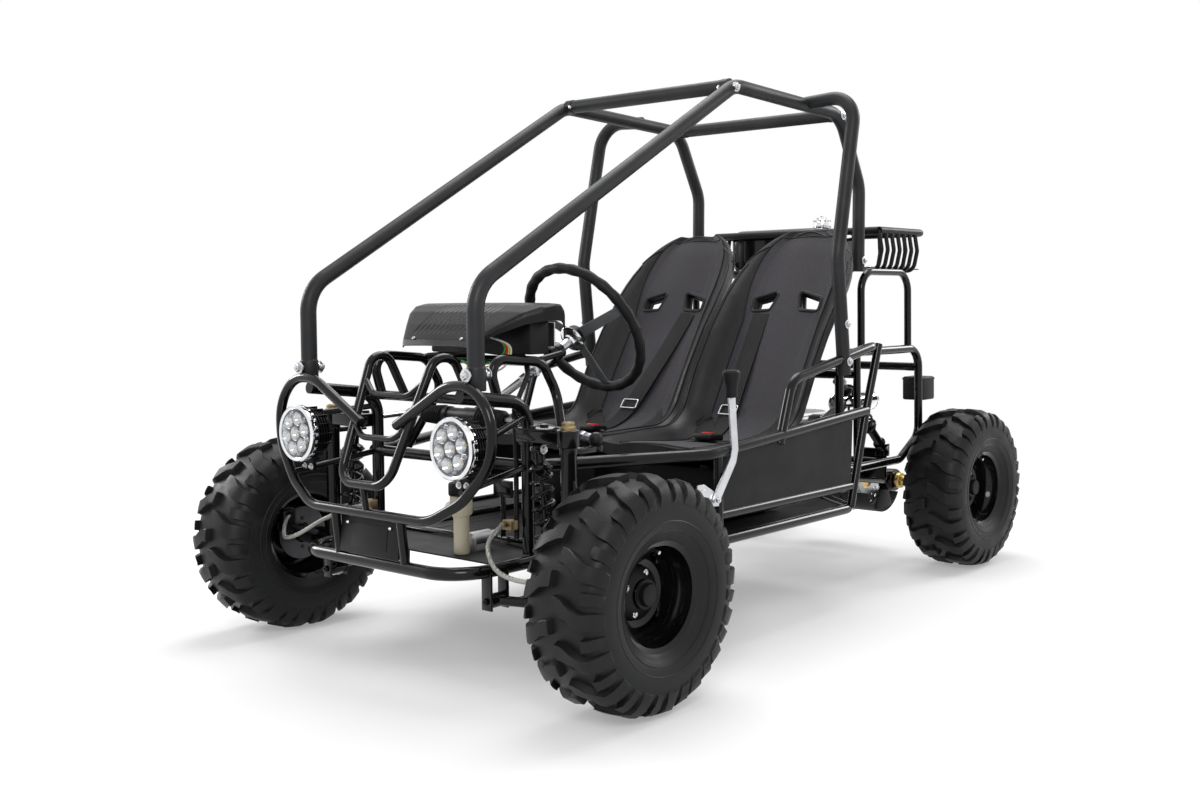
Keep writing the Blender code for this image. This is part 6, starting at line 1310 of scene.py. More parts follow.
@dataclass(frozen=True)
class Harness:
    """Belts of one seat: shoulder straps, lap straps, adjusters and the buckle."""

    seat: Seat
    width: float = 0.046
    thick: float = 0.0016

    def build(self) -> None:
        """Build the belts."""
        name = self.seat.name
        self.straps().placed(f"belt_{name}_straps", STRAP, replaced=[f"harness_{name}"], smooth=30)
        self.fittings().placed(f"belt_{name}_fittings", ZINC)
        self.buckle().placed(f"belt_{name}_buckle", PLASTIC)
        self.button().placed(f"belt_{name}_button", PLASTIC_RED)

    def band(self, shape: Shape, route: Sequence[tuple[float, float, float]], lift: float = 0.0075) -> None:
        """Lay one strap over the seat through (across, share, extra lift) spots."""
        table_x = [(step / (len(route) - 1), spot[0]) for step, spot in enumerate(route)]
        table_s = [(step / (len(route) - 1), spot[1]) for step, spot in enumerate(route)]
        table_l = [(step / (len(route) - 1), spot[2]) for step, spot in enumerate(route)]

        def face(u: float, v: float) -> Vector:
            """Point of the strap."""
            def centre(place: float) -> Vector:
                """Point of the strap's middle line."""
                return self.seat.surface(between(table_x, place), between(table_s, place), lift + between(table_l, place))
            low, high = centre(max(v - 0.02, 0.0)), centre(min(v + 0.02, 1.0))
            _, normal = self.seat.spot(between(table_s, v))
            sideways = (high - low).cross(normal).normalized()
            return centre(v) + sideways * (u - 0.5) * self.width + normal * 0.0012 * math.sin(u * math.pi)
        length = sum((self.seat.surface(*first[:2]) - self.seat.surface(*second[:2])).length for first, second in zip(route, route[1:]))
        shape.sheet(face, 8, 60, self.thick, (self.width, length))

    def straps(self) -> Shape:
        """Shoulder straps from the holes and lap straps from the hips."""
        shape = Shape()
        inner = -self.seat.side
        ends = ((0.34, 0.34), (0.36, 0.30), (0.37, 0.26)) if self.seat.side > 0 else ((-0.20, 0.36), (-0.42, 0.32), (-0.55, 0.29))
        shoulder = [(0.36, 0.760, -0.022), (0.36, 0.735, 0.0), (0.35, 0.62, 0.002), (0.335, 0.52, 0.006)] if self.seat.side > 0 else \
            [(0.36, 0.760, -0.022), (0.34, 0.735, 0.0), (0.20, 0.62, 0.002), (0.04, 0.50, 0.006)]
        self.band(shape, [(inner * x, share, lift) for x, share, lift in shoulder] + [(inner * x, share, 0.003) for x, share in ends])
        for hand in (-1, 1):
            self.band(shape, [(hand * 0.66, 0.40, 0.004), (hand * 0.46, 0.345, 0.003), (hand * 0.22, 0.275, 0.003), (0.0, 0.235, 0.001)])
        return shape

    def _sitting(self, across: float, share: float, lift: float) -> Matrix:
        """A frame on the seat's face at a spot."""
        place = self.seat.surface(across, share, lift)
        _, normal = self.seat.spot(share)
        heading = Vector((0, normal.z, -normal.y))
        turn = Matrix((Vector((1, 0, 0)), heading, normal)).transposed().to_4x4()
        return Matrix.Translation(place) @ turn

    def fittings(self) -> Shape:
        """Slides on the shoulder straps and the tongue of the buckle."""
        shape = Shape()
        inner = -self.seat.side
        across, share = (0.335, 0.44) if self.seat.side > 0 else (-0.08, 0.44)
        place = self._sitting(inner * across, share, 0.0165)
        loop = [(-0.024, -0.012), (0.024, -0.012), (0.024, 0.012), (-0.024, 0.012), (-0.024, -0.012)]
        shape.tube([place @ Vector((x, y, 0)) for x, y in loop], 0.0018, 0.004, 10)
        place = self._sitting(inner * 0.10, 0.240, 0.014)
        shape.box(place.translation, (0.026, 0.012, 0.0024), 0.001, place.to_3x3().to_4x4())
        return shape

    def buckle(self) -> Shape:
        """Body of the buckle."""
        place = self._sitting(0.0, 0.235, 0.018)
        return Shape().box(place.translation, (0.046, 0.050, 0.015), 0.005, place.to_3x3().to_4x4(), 3)

    def button(self) -> Shape:
        """Red release button."""
        place = self._sitting(0.0, 0.232, 0.0262)
        return Shape().box(place.translation, (0.026, 0.018, 0.004), 0.0016, place.to_3x3().to_4x4())


# ---------------------------------------------------------------- front axle


@dataclass(frozen=True)
class Spring:
    """A coil-over shock absorber between two eyes."""

    low: Vector
    top: Vector
    coil: float = 0.0195
    wire: float = 0.0033
    turns: int = 6

    def body(self) -> Shape:
        """Tube, rod, spring seats and eyes."""
        line = self.top - self.low
        length = line.length
        profile = [(0.0, 0.0), (0.0095, 0.0), (0.0095, 0.012), (0.0165, 0.020), (0.0165, 0.024), (0.0115, 0.026), (0.0115, length * 0.34),
                   (0.0045, length * 0.35), (0.0045, length * 0.80), (0.0120, length * 0.83), (0.0190, length * 0.86),
                   (0.0190, length * 0.88), (0.0100, length * 0.90), (0.0095, length), (0.0, length)]
        shape = Shape().turned(profile, self.low, line, 28)
        for ring in (0.30, 0.33):
            shape.turned([(0.0115, length * ring), (0.0165, length * ring), (0.0165, length * ring + 0.004), (0.0115, length * ring + 0.004)],
                         self.low, line, 16, True)
        for eye in (self.low, self.top):
            half = Vector((0.011, 0, 0))
            shape.rod(eye - half, eye + half, 0.0108, 24, 0.001)
        return shape

    def coils(self) -> Shape:
        """The spring itself, with closed ends."""
        place = stations([self.low, self.top])[0]
        length = (self.top - self.low).length
        start, end = length * 0.345, length * 0.858
        points = []
        steps = self.turns * 18
        for step in range(steps + 1):
            share = step / steps
            rise = start + (end - start) * min(max((share - 0.07) / 0.86, 0.0), 1.0)
            turn = math.tau * self.turns * share
            points.append(place @ Vector((self.coil * math.cos(turn), self.coil * math.sin(turn), rise)))
        return Shape().tube(points, self.wire, 0, 8)

    def bolts(self) -> Shape:
        """Bolts through the eyes."""
        shape = Shape()
        for eye in (self.low, self.top):
            for hand in (-1, 1):
                shape.nut(eye + Vector((hand * 0.0112, 0, 0)), (hand, 0, 0), 0.0062, 0.0085)
        return shape


@dataclass(frozen=True)
class FrontAxle:
    """Arms, knuckles, kingpin nuts and shocks of one side."""

    name: str
    side: int
    pin_x: float = 0.345
    top_z: float = 0.440
    low_z: float = 0.170

    def build(self) -> None:
        """Build the side's pieces."""
        name = self.name
        self.upper_arm().placed(f"upper_arm_{name}_box", GLOSS, replaced=[f"upper_arm_{name}"])
        self.lower_arm().placed(f"lower_arm_{name}_tubes", GLOSS, replaced=[f"lower_arm_{name}"])
        self.knuckle().placed(f"knuckle_{name}_forging", GLOSS, f"knuckle_{name}", [f"knuckle_{name}"])
        self.caps().placed(f"kingpin_{name}_cap", BRASS)
        self.nuts().placed(f"kingpin_{name}_nuts", ZINC)
        spring = Spring(handed((0.298, 0, 0.190), self.side), handed((0.270, 0, 0.432), self.side))
        spring.body().placed(f"front_shock_{name}_body", GLOSS, replaced=[f"front_shock_{name}"])
        spring.coils().placed(f"front_shock_{name}_spring", GLOSS)
        spring.bolts().placed(f"front_shock_{name}_bolts", ZINC)
        self.caliper().placed(f"brake_caliper_{name}", ALLOY_DARK, f"knuckle_{name}")
        self.disc().placed(f"brake_disc_{name}", DARK_STEEL, f"wheel_front_{name}")

    def upper_arm(self) -> Shape:
        """Boxed arm over the kingpin with a folded upper plate."""
        side, base = self.side, self.top_z + 0.0005
        outline = [(0.228, -0.018), (0.228, 0.038), (0.330, 0.013), (0.338, 0.010), (0.338, -0.010), (0.330, -0.013)]
        shape = Shape().prism([(side * x, y, base + 0.003) for x, y in outline], (0, 0, 0.024), 0.003)
        shape.prism([(side * (x - 0.004 * (x > 0.3)), y * 1.12, base + 0.0265) for x, y in outline], (0, 0, 0.0030), 0.001)
        shape.turned([(0.0, 0.0), (0.0195, 0.0), (0.020, 0.001), (0.020, 0.029), (0.0185, 0.030), (0.0, 0.030)], (side * self.pin_x, 0, base), (0, 0, 1), 32)
        for station in (-0.010, 0.022):
            shape.rod((side * 0.262, station, base + 0.027), (side * 0.262, station, base + 0.034), 0.008, 24, 0.001)
        return shape

    def lower_arm(self) -> Shape:
        """Wishbone of two tubes with bushes, an eye and the shock's bracket."""
        side = self.side
        pin = handed((self.pin_x, 0, 0.1565), side)
        shape = Shape().turned([(0.0, -0.013), (0.019, -0.013), (0.020, -0.012), (0.020, 0.012), (0.019, 0.013), (0.0, 0.013)], pin, (0, 0, 1), 32)
        for end in (-1, 1):
            bush = handed((0.235, end * 0.077, 0.168), side)
            shape.rod(bush - Vector((0, 0.0168, 0)), bush + Vector((0, 0.0168, 0)), 0.013, 28, 0.0012)
            shape.tube([bush, pin], 0.009, 0, 20)
        cross = (handed((0.262, -0.058, 0.1655), side), handed((0.262, 0.058, 0.1655), side))
        shape.tube(cross, 0.006, 0, 16)
        for hand in (-1, 1):
            shape.box((side * 0.298 + hand * 0.0128, 0, 0.176), (0.003, 0.034, 0.036), 0.001)
        shape.box((side * 0.298, 0, 0.1625), (0.026, 0.040, 0.010), 0.002)
        return shape

    def knuckle(self) -> Shape:
        """Kingpin barrel, stub axle, brake bracket and steering arm."""
        side, x = self.side, self.side * self.pin_x
        profile = [(0.0, 0.0), (0.0150, 0.0), (0.0160, 0.001), (0.0160, 0.010), (0.0145, 0.013), (0.0145, 0.255), (0.0160, 0.259), (0.0160, 0.269),
                   (0.0150, 0.270), (0.0, 0.270)]
        shape = Shape().turned(profile, (x, 0, self.low_z), (0, 0, 1), 32)
        stub = [(0.0, 0.0), (0.0200, 0.0), (0.0200, 0.092), (0.0180, 0.110), (0.0180, 0.119), (0.0100, 0.122), (0.0100, 0.1740), (0.0, 0.1740)]
        shape.turned(stub, (x, 0, 0.203), (side, 0, 0), 32)
        shape.prism([(x - 0.012, 0.0, 0.4262), (x + 0.012, 0.0, 0.4262), (x + 0.009, 0.070, 0.4262), (x - 0.009, 0.070, 0.4262)], (0, 0, 0.0096), 0.0015)
        shape.rod((x, 0.070, 0.4262), (x, 0.070, 0.4358), 0.0128, 28, 0.001)
        for high in (0.235, 0.330):
            shape.prism([(x + side * 0.012, -0.004, high), (x + side * 0.020, -0.004, high + 0.03), (x + side * 0.012, -0.004, high + 0.06)], (0, 0.008, 0), 0.001)
        return shape

    def caps(self) -> Shape:
        """Brass coloured caps above the kingpin's eye."""
        base = self.top_z + 0.0305
        profile = [(0.0, 0.0), (0.0140, 0.0), (0.0140, 0.0055), (0.0118, 0.0075), (0.0118, 0.0125), (0.0100, 0.0145), (0.0, 0.0145)]
        return Shape().turned(profile, (self.side * self.pin_x, 0, base), (0, 0, 1), 28)

    def nuts(self) -> Shape:
        """Castle nut with its pin below the kingpin."""
        x = self.side * self.pin_x
        shape = Shape()
        shape.rod((x, 0, 0.1435), (x, 0, 0.1325), 0.0125, 6, 0.001)
        for turn in range(3):
            angle = math.radians(60 * turn)
            shape.box((x, 0, 0.1300), (0.0235, 0.0040, 0.0060), 0.0008, Matrix.Rotation(angle, 4, "Z"))
        shape.rod((x, 0, 0.1320), (x, 0, 0.1265), 0.0065, 16, 0.001)
        shape.tube([Vector((x - 0.016, 0.004, 0.1295)), Vector((x + 0.014, -0.004, 0.1295))], 0.0012, 0, 8)
        return shape

    def disc(self) -> Shape:
        """Small disc behind the wheel, with its bolts."""
        x = self.side * 0.4605
        shape = Shape().turned([(0.0215, -0.0016), (0.0560, -0.0016), (0.0565, -0.001), (0.0565, 0.001), (0.0560, 0.0016), (0.0215, 0.0016)],
                               (x, 0, 0.203), (self.side, 0, 0), 56, True)
        for spot in range(4):
            angle = math.tau * spot / 4
            place = Vector((x - self.side * 0.0016, 0.031 * math.sin(angle), 0.203 + 0.031 * math.cos(angle)))
            shape.nut(place, (-self.side, 0, 0), 0.0045, 0.0)
        return shape

    def caliper(self) -> Shape:
        """Brake calliper on its bracket, in front of the stub."""
        x = self.side * 0.4605
        shape = Shape()
        shape.box((x - self.side * 0.0145, -0.045, 0.236), (0.019, 0.030, 0.048), 0.005, segments=3)
        shape.box((x + self.side * 0.0065, -0.045, 0.236), (0.008, 0.028, 0.042), 0.003)
        shape.box((x - self.side * 0.003, -0.054, 0.244), (0.016, 0.010, 0.022), 0.002)
        shape.tube([Vector((x - self.side * 0.020, -0.040, 0.225)), handed((0.380, -0.010, 0.210), self.side)], 0.007, 0, 16)
        shape.rod((x - self.side * 0.024, -0.047, 0.250), (x - self.side * 0.031, -0.047, 0.250), 0.007, 20, 0.001)
        return shape


# ---------------------------------------------------------------- steering


@dataclass(frozen=True)
class Steering:
    """Steering wheel, column, joint, lower shaft and rack."""

    hub: Spot = (0.13, 0.265, 0.641)
    tilt: float = 29.3
    radius: float = 0.139
    grip: float = 0.0115
    rack: Spot = (0.03, 0.06, 0.472)

    @property
    def line(self) -> Vector:
        """Direction of the column towards the driver."""
        return Vector((0, math.cos(math.radians(self.tilt)), math.sin(math.radians(self.tilt))))

    @property
    def joint(self) -> Vector:
        """Middle of the universal joint."""
        return Vector(self.hub) - self.line * 0.165

    def build(self) -> None:
        """Build the steering."""
        self.rim().placed("steering_wheel_rim", GRIP, "steering_wheel", ["steering_wheel"], 60)
        self.spokes().placed("steering_wheel_spokes", PLASTIC_GREY, "steering_wheel")
        self.boss().placed("steering_wheel_boss", PLASTIC, "steering_wheel")
        self.flange().placed("steering_wheel_flange", CHROME, "steering_wheel")
        self.column().placed("steering_column", ZINC, "steering_wheel")
        self.shaft().placed("lower_shaft", ZINC, "steering_shaft", ["steering_shaft"])
        self.bar().placed("rack_bar", STEEL, "steering_rack", ["steering_rack"])
        self.boots().placed("tie_rod_boots", BOOT, "steering_rack")
        self.housing().placed("rack_casing", ALLOY_DARK, replaced=["rack_housing"])
        self.bellows().placed("rack_bellows", BOOT)

    def rim(self) -> Shape:
        """Grip ring with shallow finger ripples all round."""
        hub, line = Vector(self.hub), self.line
        out = Vector((1, 0, 0))
        up = line.cross(out)
        shape = Shape()
        points, radii = [], []
        for step in range(97):
            turn = math.tau * step / 96
            swell = 0.0008 * math.cos(turn * 24)
            points.append(hub + (out * math.cos(turn) + up * math.sin(turn)) * (self.radius - 0.0006))
            radii.append(self.grip - 0.0009 + swell)
        shape.tube(points, radii, 0, 20)
        return shape

    def spokes(self) -> Shape:
        """Three pressed spokes with a groove."""
        hub, line = Vector(self.hub), self.line
        across = Vector((1, 0, 0))
        up = Vector((0, -line.z, line.y))
        low = hub - line * 0.030
        shape = Shape()
        for turn in (0, math.radians(110), math.radians(250)):
            outward = across * math.sin(turn) - up * math.cos(turn)
            sideways = line.cross(outward).normalized()
            inner, outer = low + outward * 0.012, hub + outward * (self.radius - 0.006) - line * 0.002
            outline = [inner - sideways * 0.0115, inner + sideways * 0.0115, outer + sideways * 0.0098, outer - sideways * 0.0098]
            shape.prism(outline, line * 0.003, 0.001)
            for hand in (-1, 1):
                shape.tube([inner + sideways * 0.0085 * hand + line * 0.003, outer + sideways * 0.0070 * hand + line * 0.003], 0.0018, 0, 8)
        return shape

    def boss(self) -> Shape:
        """Cover over the hub."""
        low = Vector(self.hub) - self.line * 0.030
        profile = [(0.0, -0.0115), (0.019, -0.0115), (0.022, -0.008), (0.022, 0.005), (0.0205, 0.009), (0.015, 0.0112), (0.0, 0.0115)]
        return Shape().turned(profile, low, self.line, 36)

    def flange(self) -> Shape:
        """Bright dished flange in front of the hub."""
        low = Vector(self.hub) - self.line * 0.030
        profile = [(0.0, -0.022), (0.0125, -0.022), (0.0140, -0.018), (0.0265, -0.0125), (0.0280, -0.0105), (0.0270, -0.0090), (0.0, -0.0090)]
        return Shape().turned(profile, low, self.line, 40)

    def column(self) -> Shape:
        """Column with the fork of its joint."""
        low = Vector(self.hub) - self.line * 0.0400
        profile = [(0.0, 0.0), (0.0098, 0.0), (0.0098, 0.108), (0.0078, 0.109), (0.0078, 0.121), (0.0, 0.121)]
        shape = Shape().turned(profile, low, -self.line, 24)
        joint = self.joint
        for hand in (-1, 1):
            shape.box(joint + Vector((hand * 0.0095, 0, 0)) + self.line * 0.003, (0.0032, 0.012, 0.018), 0.0015)
        shape.rod(joint - Vector((0.0128, 0, 0)), joint + Vector((0.0128, 0, 0)), 0.0042, 16, 0.0008)
        return shape

    def shaft(self) -> Shape:
        """Lower shaft with its yoke and pinch bolt."""
        start = Vector(self.rack)
        line = (self.joint - start).normalized()
        base = start + line * 0.0309
        tip = self.joint - line * 0.0135
        shape = Shape().rod(base, tip - line * 0.004, 0.0078, 24, 0.001)
        shape.rod(tip - line * 0.014, tip, 0.0102, 24, 0.0015)
        shape.rod(base, base + line * 0.012, 0.0100, 24, 0.001)
        side = line.orthogonal().normalized()
        shape.rod(base + line * 0.006 - side * 0.0125, base + line * 0.006 + side * 0.0125, 0.0032, 6, 0.0005)
        return shape

    def bar(self) -> Shape:
        """Rack bar, tie rods and their lock nuts."""
        shape = Shape().rod((-0.165, 0.06, 0.472), (0.165, 0.06, 0.472), 0.0059, 20)
        for _, side in SIDES:
            inner, outer = handed((0.165, 0.060, 0.472), side), handed((0.345, 0.070, 0.4483), side)
            shape.rod(inner, inner.lerp(outer, 0.93), 0.0056, 20)
            shape.rod(inner - Vector((side * 0.006, 0, 0)), inner + Vector((side * 0.007, 0, 0)), 0.0088, 6, 0.0006)
            shape.rod(inner.lerp(outer, 0.80), inner.lerp(outer, 0.86), 0.0090, 6, 0.0006)
            shape.rod(inner.lerp(outer, 0.86), inner.lerp(outer, 0.97), 0.0080, 20, 0.001)
            shape.rod((side * 0.345, 0.070, 0.4590), (side * 0.345, 0.070, 0.4601), 0.0050, 6, 0.0003)
        return shape

    def boots(self) -> Shape:
        """Rubber boots of the tie rods' outer joints."""
        shape = Shape()
        for _, side in SIDES:
            profile = [(0.0, 0.0005), (0.0080, 0.0005), (0.0118, 0.0040), (0.0126, 0.0085), (0.0126, 0.0145), (0.0110, 0.0195), (0.0078, 0.0225), (0.0, 0.0228)]
            shape.turned(profile, (side * 0.345, 0.070, 0.4363), (0, 0, 1), 28)
        return shape

    def housing(self) -> Shape:
        """Cast casing with its pinion tower, feet and end collars."""
        profile = [(0.0082, -0.050), (0.0175, -0.050), (0.0190, -0.0485), (0.0190, -0.040), (0.0165, -0.038), (0.0165, 0.000), (0.0185, 0.006),
                   (0.0185, 0.046), (0.0190, 0.0485), (0.0175, 0.050), (0.0082, 0.050)]
        shape = Shape().turned(profile, (0, 0.06, 0.472), (1, 0, 0), 36, True)
        start = Vector(self.rack)
        line = (self.joint - start).normalized()
        shape.rod(start + line * 0.010, start + line * 0.0302, 0.0150, 28, 0.0015)
        shape.rod(start + line * 0.020, start + line * 0.025, 0.0175, 28, 0.001)
        for _, side in SIDES:
            shape.box((side * 0.031, 0.040, 0.426), (0.018, 0.036, 0.060), 0.003)
            shape.nut((side * 0.031, 0.0585, 0.405), (0, 1, 0), 0.006, 0.0085)
        return shape

    def bellows(self) -> Shape:
        """Ribbed bellows at both ends of the casing, with their clamps."""
        shape = Shape()
        for _, side in SIDES:
            profile = [(0.0082, 0.050), (0.0172, 0.050), (0.0172, 0.054)]
            for fold in range(9):
                base = 0.0555 + fold * 0.0066
                size = 0.0205 - 0.0004 * fold
                profile += [(0.0140, base), (size, base + 0.0024), (size, base + 0.0036)]
            profile += [(0.0112, 0.1155), (0.0112, 0.1200), (0.0082, 0.1200)]
            shape.turned(profile, (0, 0.06, 0.472), (side, 0, 0), 32, True)
        return shape


# ---------------------------------------------------------------- nose


@dataclass(frozen=True)
class HeadLamp:
    """Round lamp with many reflectors, a chrome ring and a finned body."""

    name: str
    side: int
    centre: Spot = (0.227, -0.173, 0.445)
    radius: float = 0.0555

    def build(self) -> None:
        """Build the lamp from lens to stem."""
        name = self.name
        self.ring().placed(f"lamp_{name}_ring", CHROME, replaced=[f"head_lamp_{name}"])
        self.reflectors().placed(f"lamp_{name}_reflectors", MIRROR)
        self.chips().placed(f"lamp_{name}_chips", LED_WARM)
        self.lens().placed(f"lamp_{name}_lens", CLEAR)
        self.body().placed(f"lamp_{name}_body", ALLOY_DARK)
        self.screws().placed(f"lamp_{name}_screws", ZINC)

    def base(self) -> Vector:
        """Front middle of the lamp."""
        return handed(self.centre, self.side)

    def ring(self) -> Shape:
        """Knurled chrome ring round the lens."""
        profile = [(0.0475, 0.0055), (0.0495, 0.0040), (0.0530, 0.0042), (0.0552, 0.0065), (0.0555, 0.0125), (0.0540, 0.0150), (0.0515, 0.0155), (0.0490, 0.0120)]
        shape = Shape().turned(profile, self.base(), (0, 1, 0), 64, True)
        for spot in range(24):
            angle = math.tau * spot / 24
            place = self.base() + Vector((0.0538 * math.cos(angle), 0.0175, 0.0538 * math.sin(angle)))
            shape.box(place, (0.0022, 0.0050, 0.0060), 0.0006, Matrix.Rotation(-angle, 4, "Y"))
        return shape

    def spots(self) -> list[tuple[float, float, float]]:
        """Middle and radius of each reflector cup."""
        result = [(0.0, 0.0, 0.0135)]
        for spot in range(6):
            angle = math.tau * spot / 6 + 0.26
            result.append((0.0305 * math.cos(angle), 0.0305 * math.sin(angle), 0.0140))
            angle += math.tau / 12
            result.append((0.0385 * math.cos(angle), 0.0385 * math.sin(angle), 0.0070))
        return result

    def reflectors(self) -> Shape:
        """Bright bowl with round cups."""
        base = self.base()
        shape = Shape().turned([(0.0, 0.0170), (0.0470, 0.0170), (0.0485, 0.0080)], base, (0, 1, 0), 48)
        for x, z, size in self.spots():
            profile = [(size * 0.22, 0.0160), (size * 0.45, 0.0145), (size * 0.75, 0.0100), (size * 0.95, 0.0050), (size, 0.0046), (size * 1.04, 0.0060), (size, 0.0168)]
            shape.turned(profile, base + Vector((x, 0, z)), (0, 1, 0), 28)
        return shape

    def chips(self) -> Shape:
        """Light chips at the bottom of the cups."""
        shape = Shape()
        for x, z, size in self.spots():
            place = self.base() + Vector((x, 0.0, z))
            shape.rod(place + Vector((0, 0.0165, 0)), place + Vector((0, 0.0120, 0)), size * 0.24, 12, 0.0006)
        return shape

    def lens(self) -> Shape:
        """Domed clear lens."""
        profile = [(0.0, 0.0002), (0.0180, 0.0006), (0.0330, 0.0020), (0.0440, 0.0042), (0.0480, 0.0062), (0.0480, 0.0078), (0.0430, 0.0060), (0.0325, 0.0040),
                   (0.0175, 0.0026), (0.0, 0.0022)]
        return Shape().turned(profile, self.base(), (0, 1, 0), 56)

    def body(self) -> Shape:
        """Finned dark housing, its rear cap, and the stem to the loop."""
        profile = [(0.0, 0.0172), (0.0540, 0.0172), (0.0545, 0.0200), (0.0455, 0.0215)]
        for fin in range(5):
            base = 0.0225 + fin * 0.0066
            size = 0.0500 - 0.0012 * fin
            profile += [(0.0420 - 0.0008 * fin, base), (size, base + 0.0006), (size, base + 0.0030), (0.0420 - 0.0008 * fin, base + 0.0036)]
        profile += [(0.0390, 0.0560), (0.0370, 0.0620), (0.0300, 0.0645), (0.0, 0.0648)]
        shape = Shape().turned(profile, self.base(), (0, 1, 0), 56)
        for spot in range(16):
            angle = math.tau * spot / 16
            place = self.base() + Vector((0.0435 * math.cos(angle), 0.0385, 0.0435 * math.sin(angle)))
            shape.box(place, (0.0125, 0.0330, 0.0026), 0.0006, Matrix.Rotation(-angle, 4, "Y"))
        x, _, z = self.base()
        shape.box((x, -0.1360, z - 0.0590), (0.030, 0.0090, 0.0300), 0.002)
        shape.box((x, -0.1400, z - 0.0500), (0.046, 0.0200, 0.0060), 0.0015)
        return shape

    def screws(self) -> Shape:
        """Bolts of the bracket."""
        x, _, z = self.base()
        shape = Shape()
        for hand in (-1, 1):
            shape.nut((x + hand * 0.010, -0.1406, z - 0.066), (0, -1, 0), 0.0045, 0.0065)
        return shape


@dataclass(frozen=True)
class Hood:
    """Moulded hood with ribs on its front slope, a rounded rear edge and wires beneath."""

    rib_pitch: float = 0.0143

    def build(self) -> None:
        """Build the hood, its screws and the wires."""
        self.skin().placed("hood_skin", HOOD_BLACK, replaced=["hood"], smooth=50)
        self.dash().placed("dash_panel", PLASTIC)
        self.screws().placed("hood_screws", ZINC)
        for name, finish, start in (("green", WIRE_GREEN, 0.0), ("red", WIRE_RED, 0.005), ("yellow", WIRE_YELLOW, 0.010), ("white", WIRE_WHITE, 0.015)):
            self.wire(start).placed(f"wire_{name}", finish)
        self.loom().placed("wiring_loom", GRIP)

    def point(self, across: float, along: float) -> Vector:
        """Point of the outer skin.

        Args:
            across: From -1 to 1 between the skirts' lower edges.
            along: From 0 at the front skirt to 1 at the rear skirt.

        Returns:
            The point.
        """
        line = ((0.0, -0.0120, 0.613, 0.0950), (0.08, -0.0060, 0.6240, 0.1020), (0.30, 0.0300, 0.6530, 0.1370), (0.50, 0.0650, 0.6770, 0.1700),
                (0.66, 0.0950, 0.6890, 0.1920), (0.80, 0.1200, 0.6935, 0.1990), (0.90, 0.1360, 0.6925, 0.1995), (0.95, 0.1430, 0.6850, 0.1980),
                (1.0, 0.1445, 0.6600, 0.1960))
        y = between([(row[0], row[1]) for row in line], along)
        z = between([(row[0], row[2]) for row in line], along)
        half = between([(row[0], row[3]) for row in line], along)
        size = abs(across)
        drop = between(((0.0, 0.0), (0.70, 0.0), (0.78, 0.0015), (0.84, 0.0060), (0.90, 0.0150), (1.0, 0.0360)), size)
        wide = between(((0.0, 0.0), (0.70, 0.900), (0.78, 0.965), (0.84, 0.990), (0.90, 1.0), (1.0, 1.0)), size)
        x = math.copysign(half * wide, across)
        slope = between(((0.0, 0.0), (0.16, 0.0), (0.22, 1.0), (0.60, 1.0), (0.76, 0.0), (1.0, 0.0)), along)
        place = x / self.rib_pitch
        valley = math.exp(-((place - round(place)) / 0.17) ** 2) if abs(x) < self.rib_pitch * 6.4 and size < 0.74 else 0.0
        skirt = drop * between(((0.0, 0.12), (0.3, 0.45), (0.7, 0.85), (1.0, 1.0)), along)
        return Vector((x, y, min(z + 0.0015 * (1 - wide * wide) - 0.0024 * slope * valley - skirt, 0.6949)))

    def skin(self) -> Shape:
        """The hood's shell."""
        return Shape().sheet(lambda u, v: self.point(2 * u - 1, v), 210, 60, 0.003)

    def dash(self) -> Shape:
        """Dark panel under the hood's rear edge, with a round switch."""
        shape = Shape().box((0.02, 0.1080, 0.6290), (0.290, 0.050, 0.066), 0.004)
        shape.rod((-0.06, 0.133, 0.632), (-0.06, 0.1405, 0.632), 0.0125, 28, 0.001)
        shape.box((-0.06, 0.1405, 0.632), (0.004, 0.004, 0.018), 0.001)
        return shape

    def screws(self) -> Shape:
        """Screws that hold the hood."""
        shape = Shape()
        for _, side in SIDES:
            shape.nut((side * 0.070, -0.0035, 0.6262), (0, -0.6, 0.8), 0.0040, 0.0)
        shape.box((0.158, 0.1440, 0.6330), (0.022, 0.0030, 0.046), 0.001)
        return shape

    def wire(self, start: float) -> Shape:
        """One bundle of wires between the loom and the switch."""
        points = [Vector((0.100, 0.050 - start, 0.632)), Vector((0.128 + start, 0.052, 0.612)), Vector((0.124 + start, 0.040, 0.590 - start)),
                  Vector((0.095, 0.012 + start, 0.577 - start)), Vector((0.060, 0.004, 0.586))]
        return Shape().tube(smooth_line(points, 22), 0.0019, 0, 8)

    def loom(self) -> Shape:
        """Corrugated sleeve round the wires along the dash hoop and down a post."""
        points = [Vector((-0.150, 0.094, 0.588)), Vector((0.020, 0.098, 0.600)), Vector((0.140, 0.092, 0.592)), Vector((0.182, 0.060, 0.560)),
                  Vector((0.196, 0.010, 0.500)), Vector((0.204, 0.006, 0.420)), Vector((0.205, 0.004, 0.260))]
        route = bent(points, 0.03, 9.0)
        fine = []
        for before, after in zip(route, route[1:]):
            steps = max(1, int((after - before).length / 0.0025))
            fine += [before.lerp(after, step / steps) for step in range(steps)]
        return Shape().tube(fine, [0.0052 if index % 2 else 0.0043 for index in range(len(fine))], 0, 12)


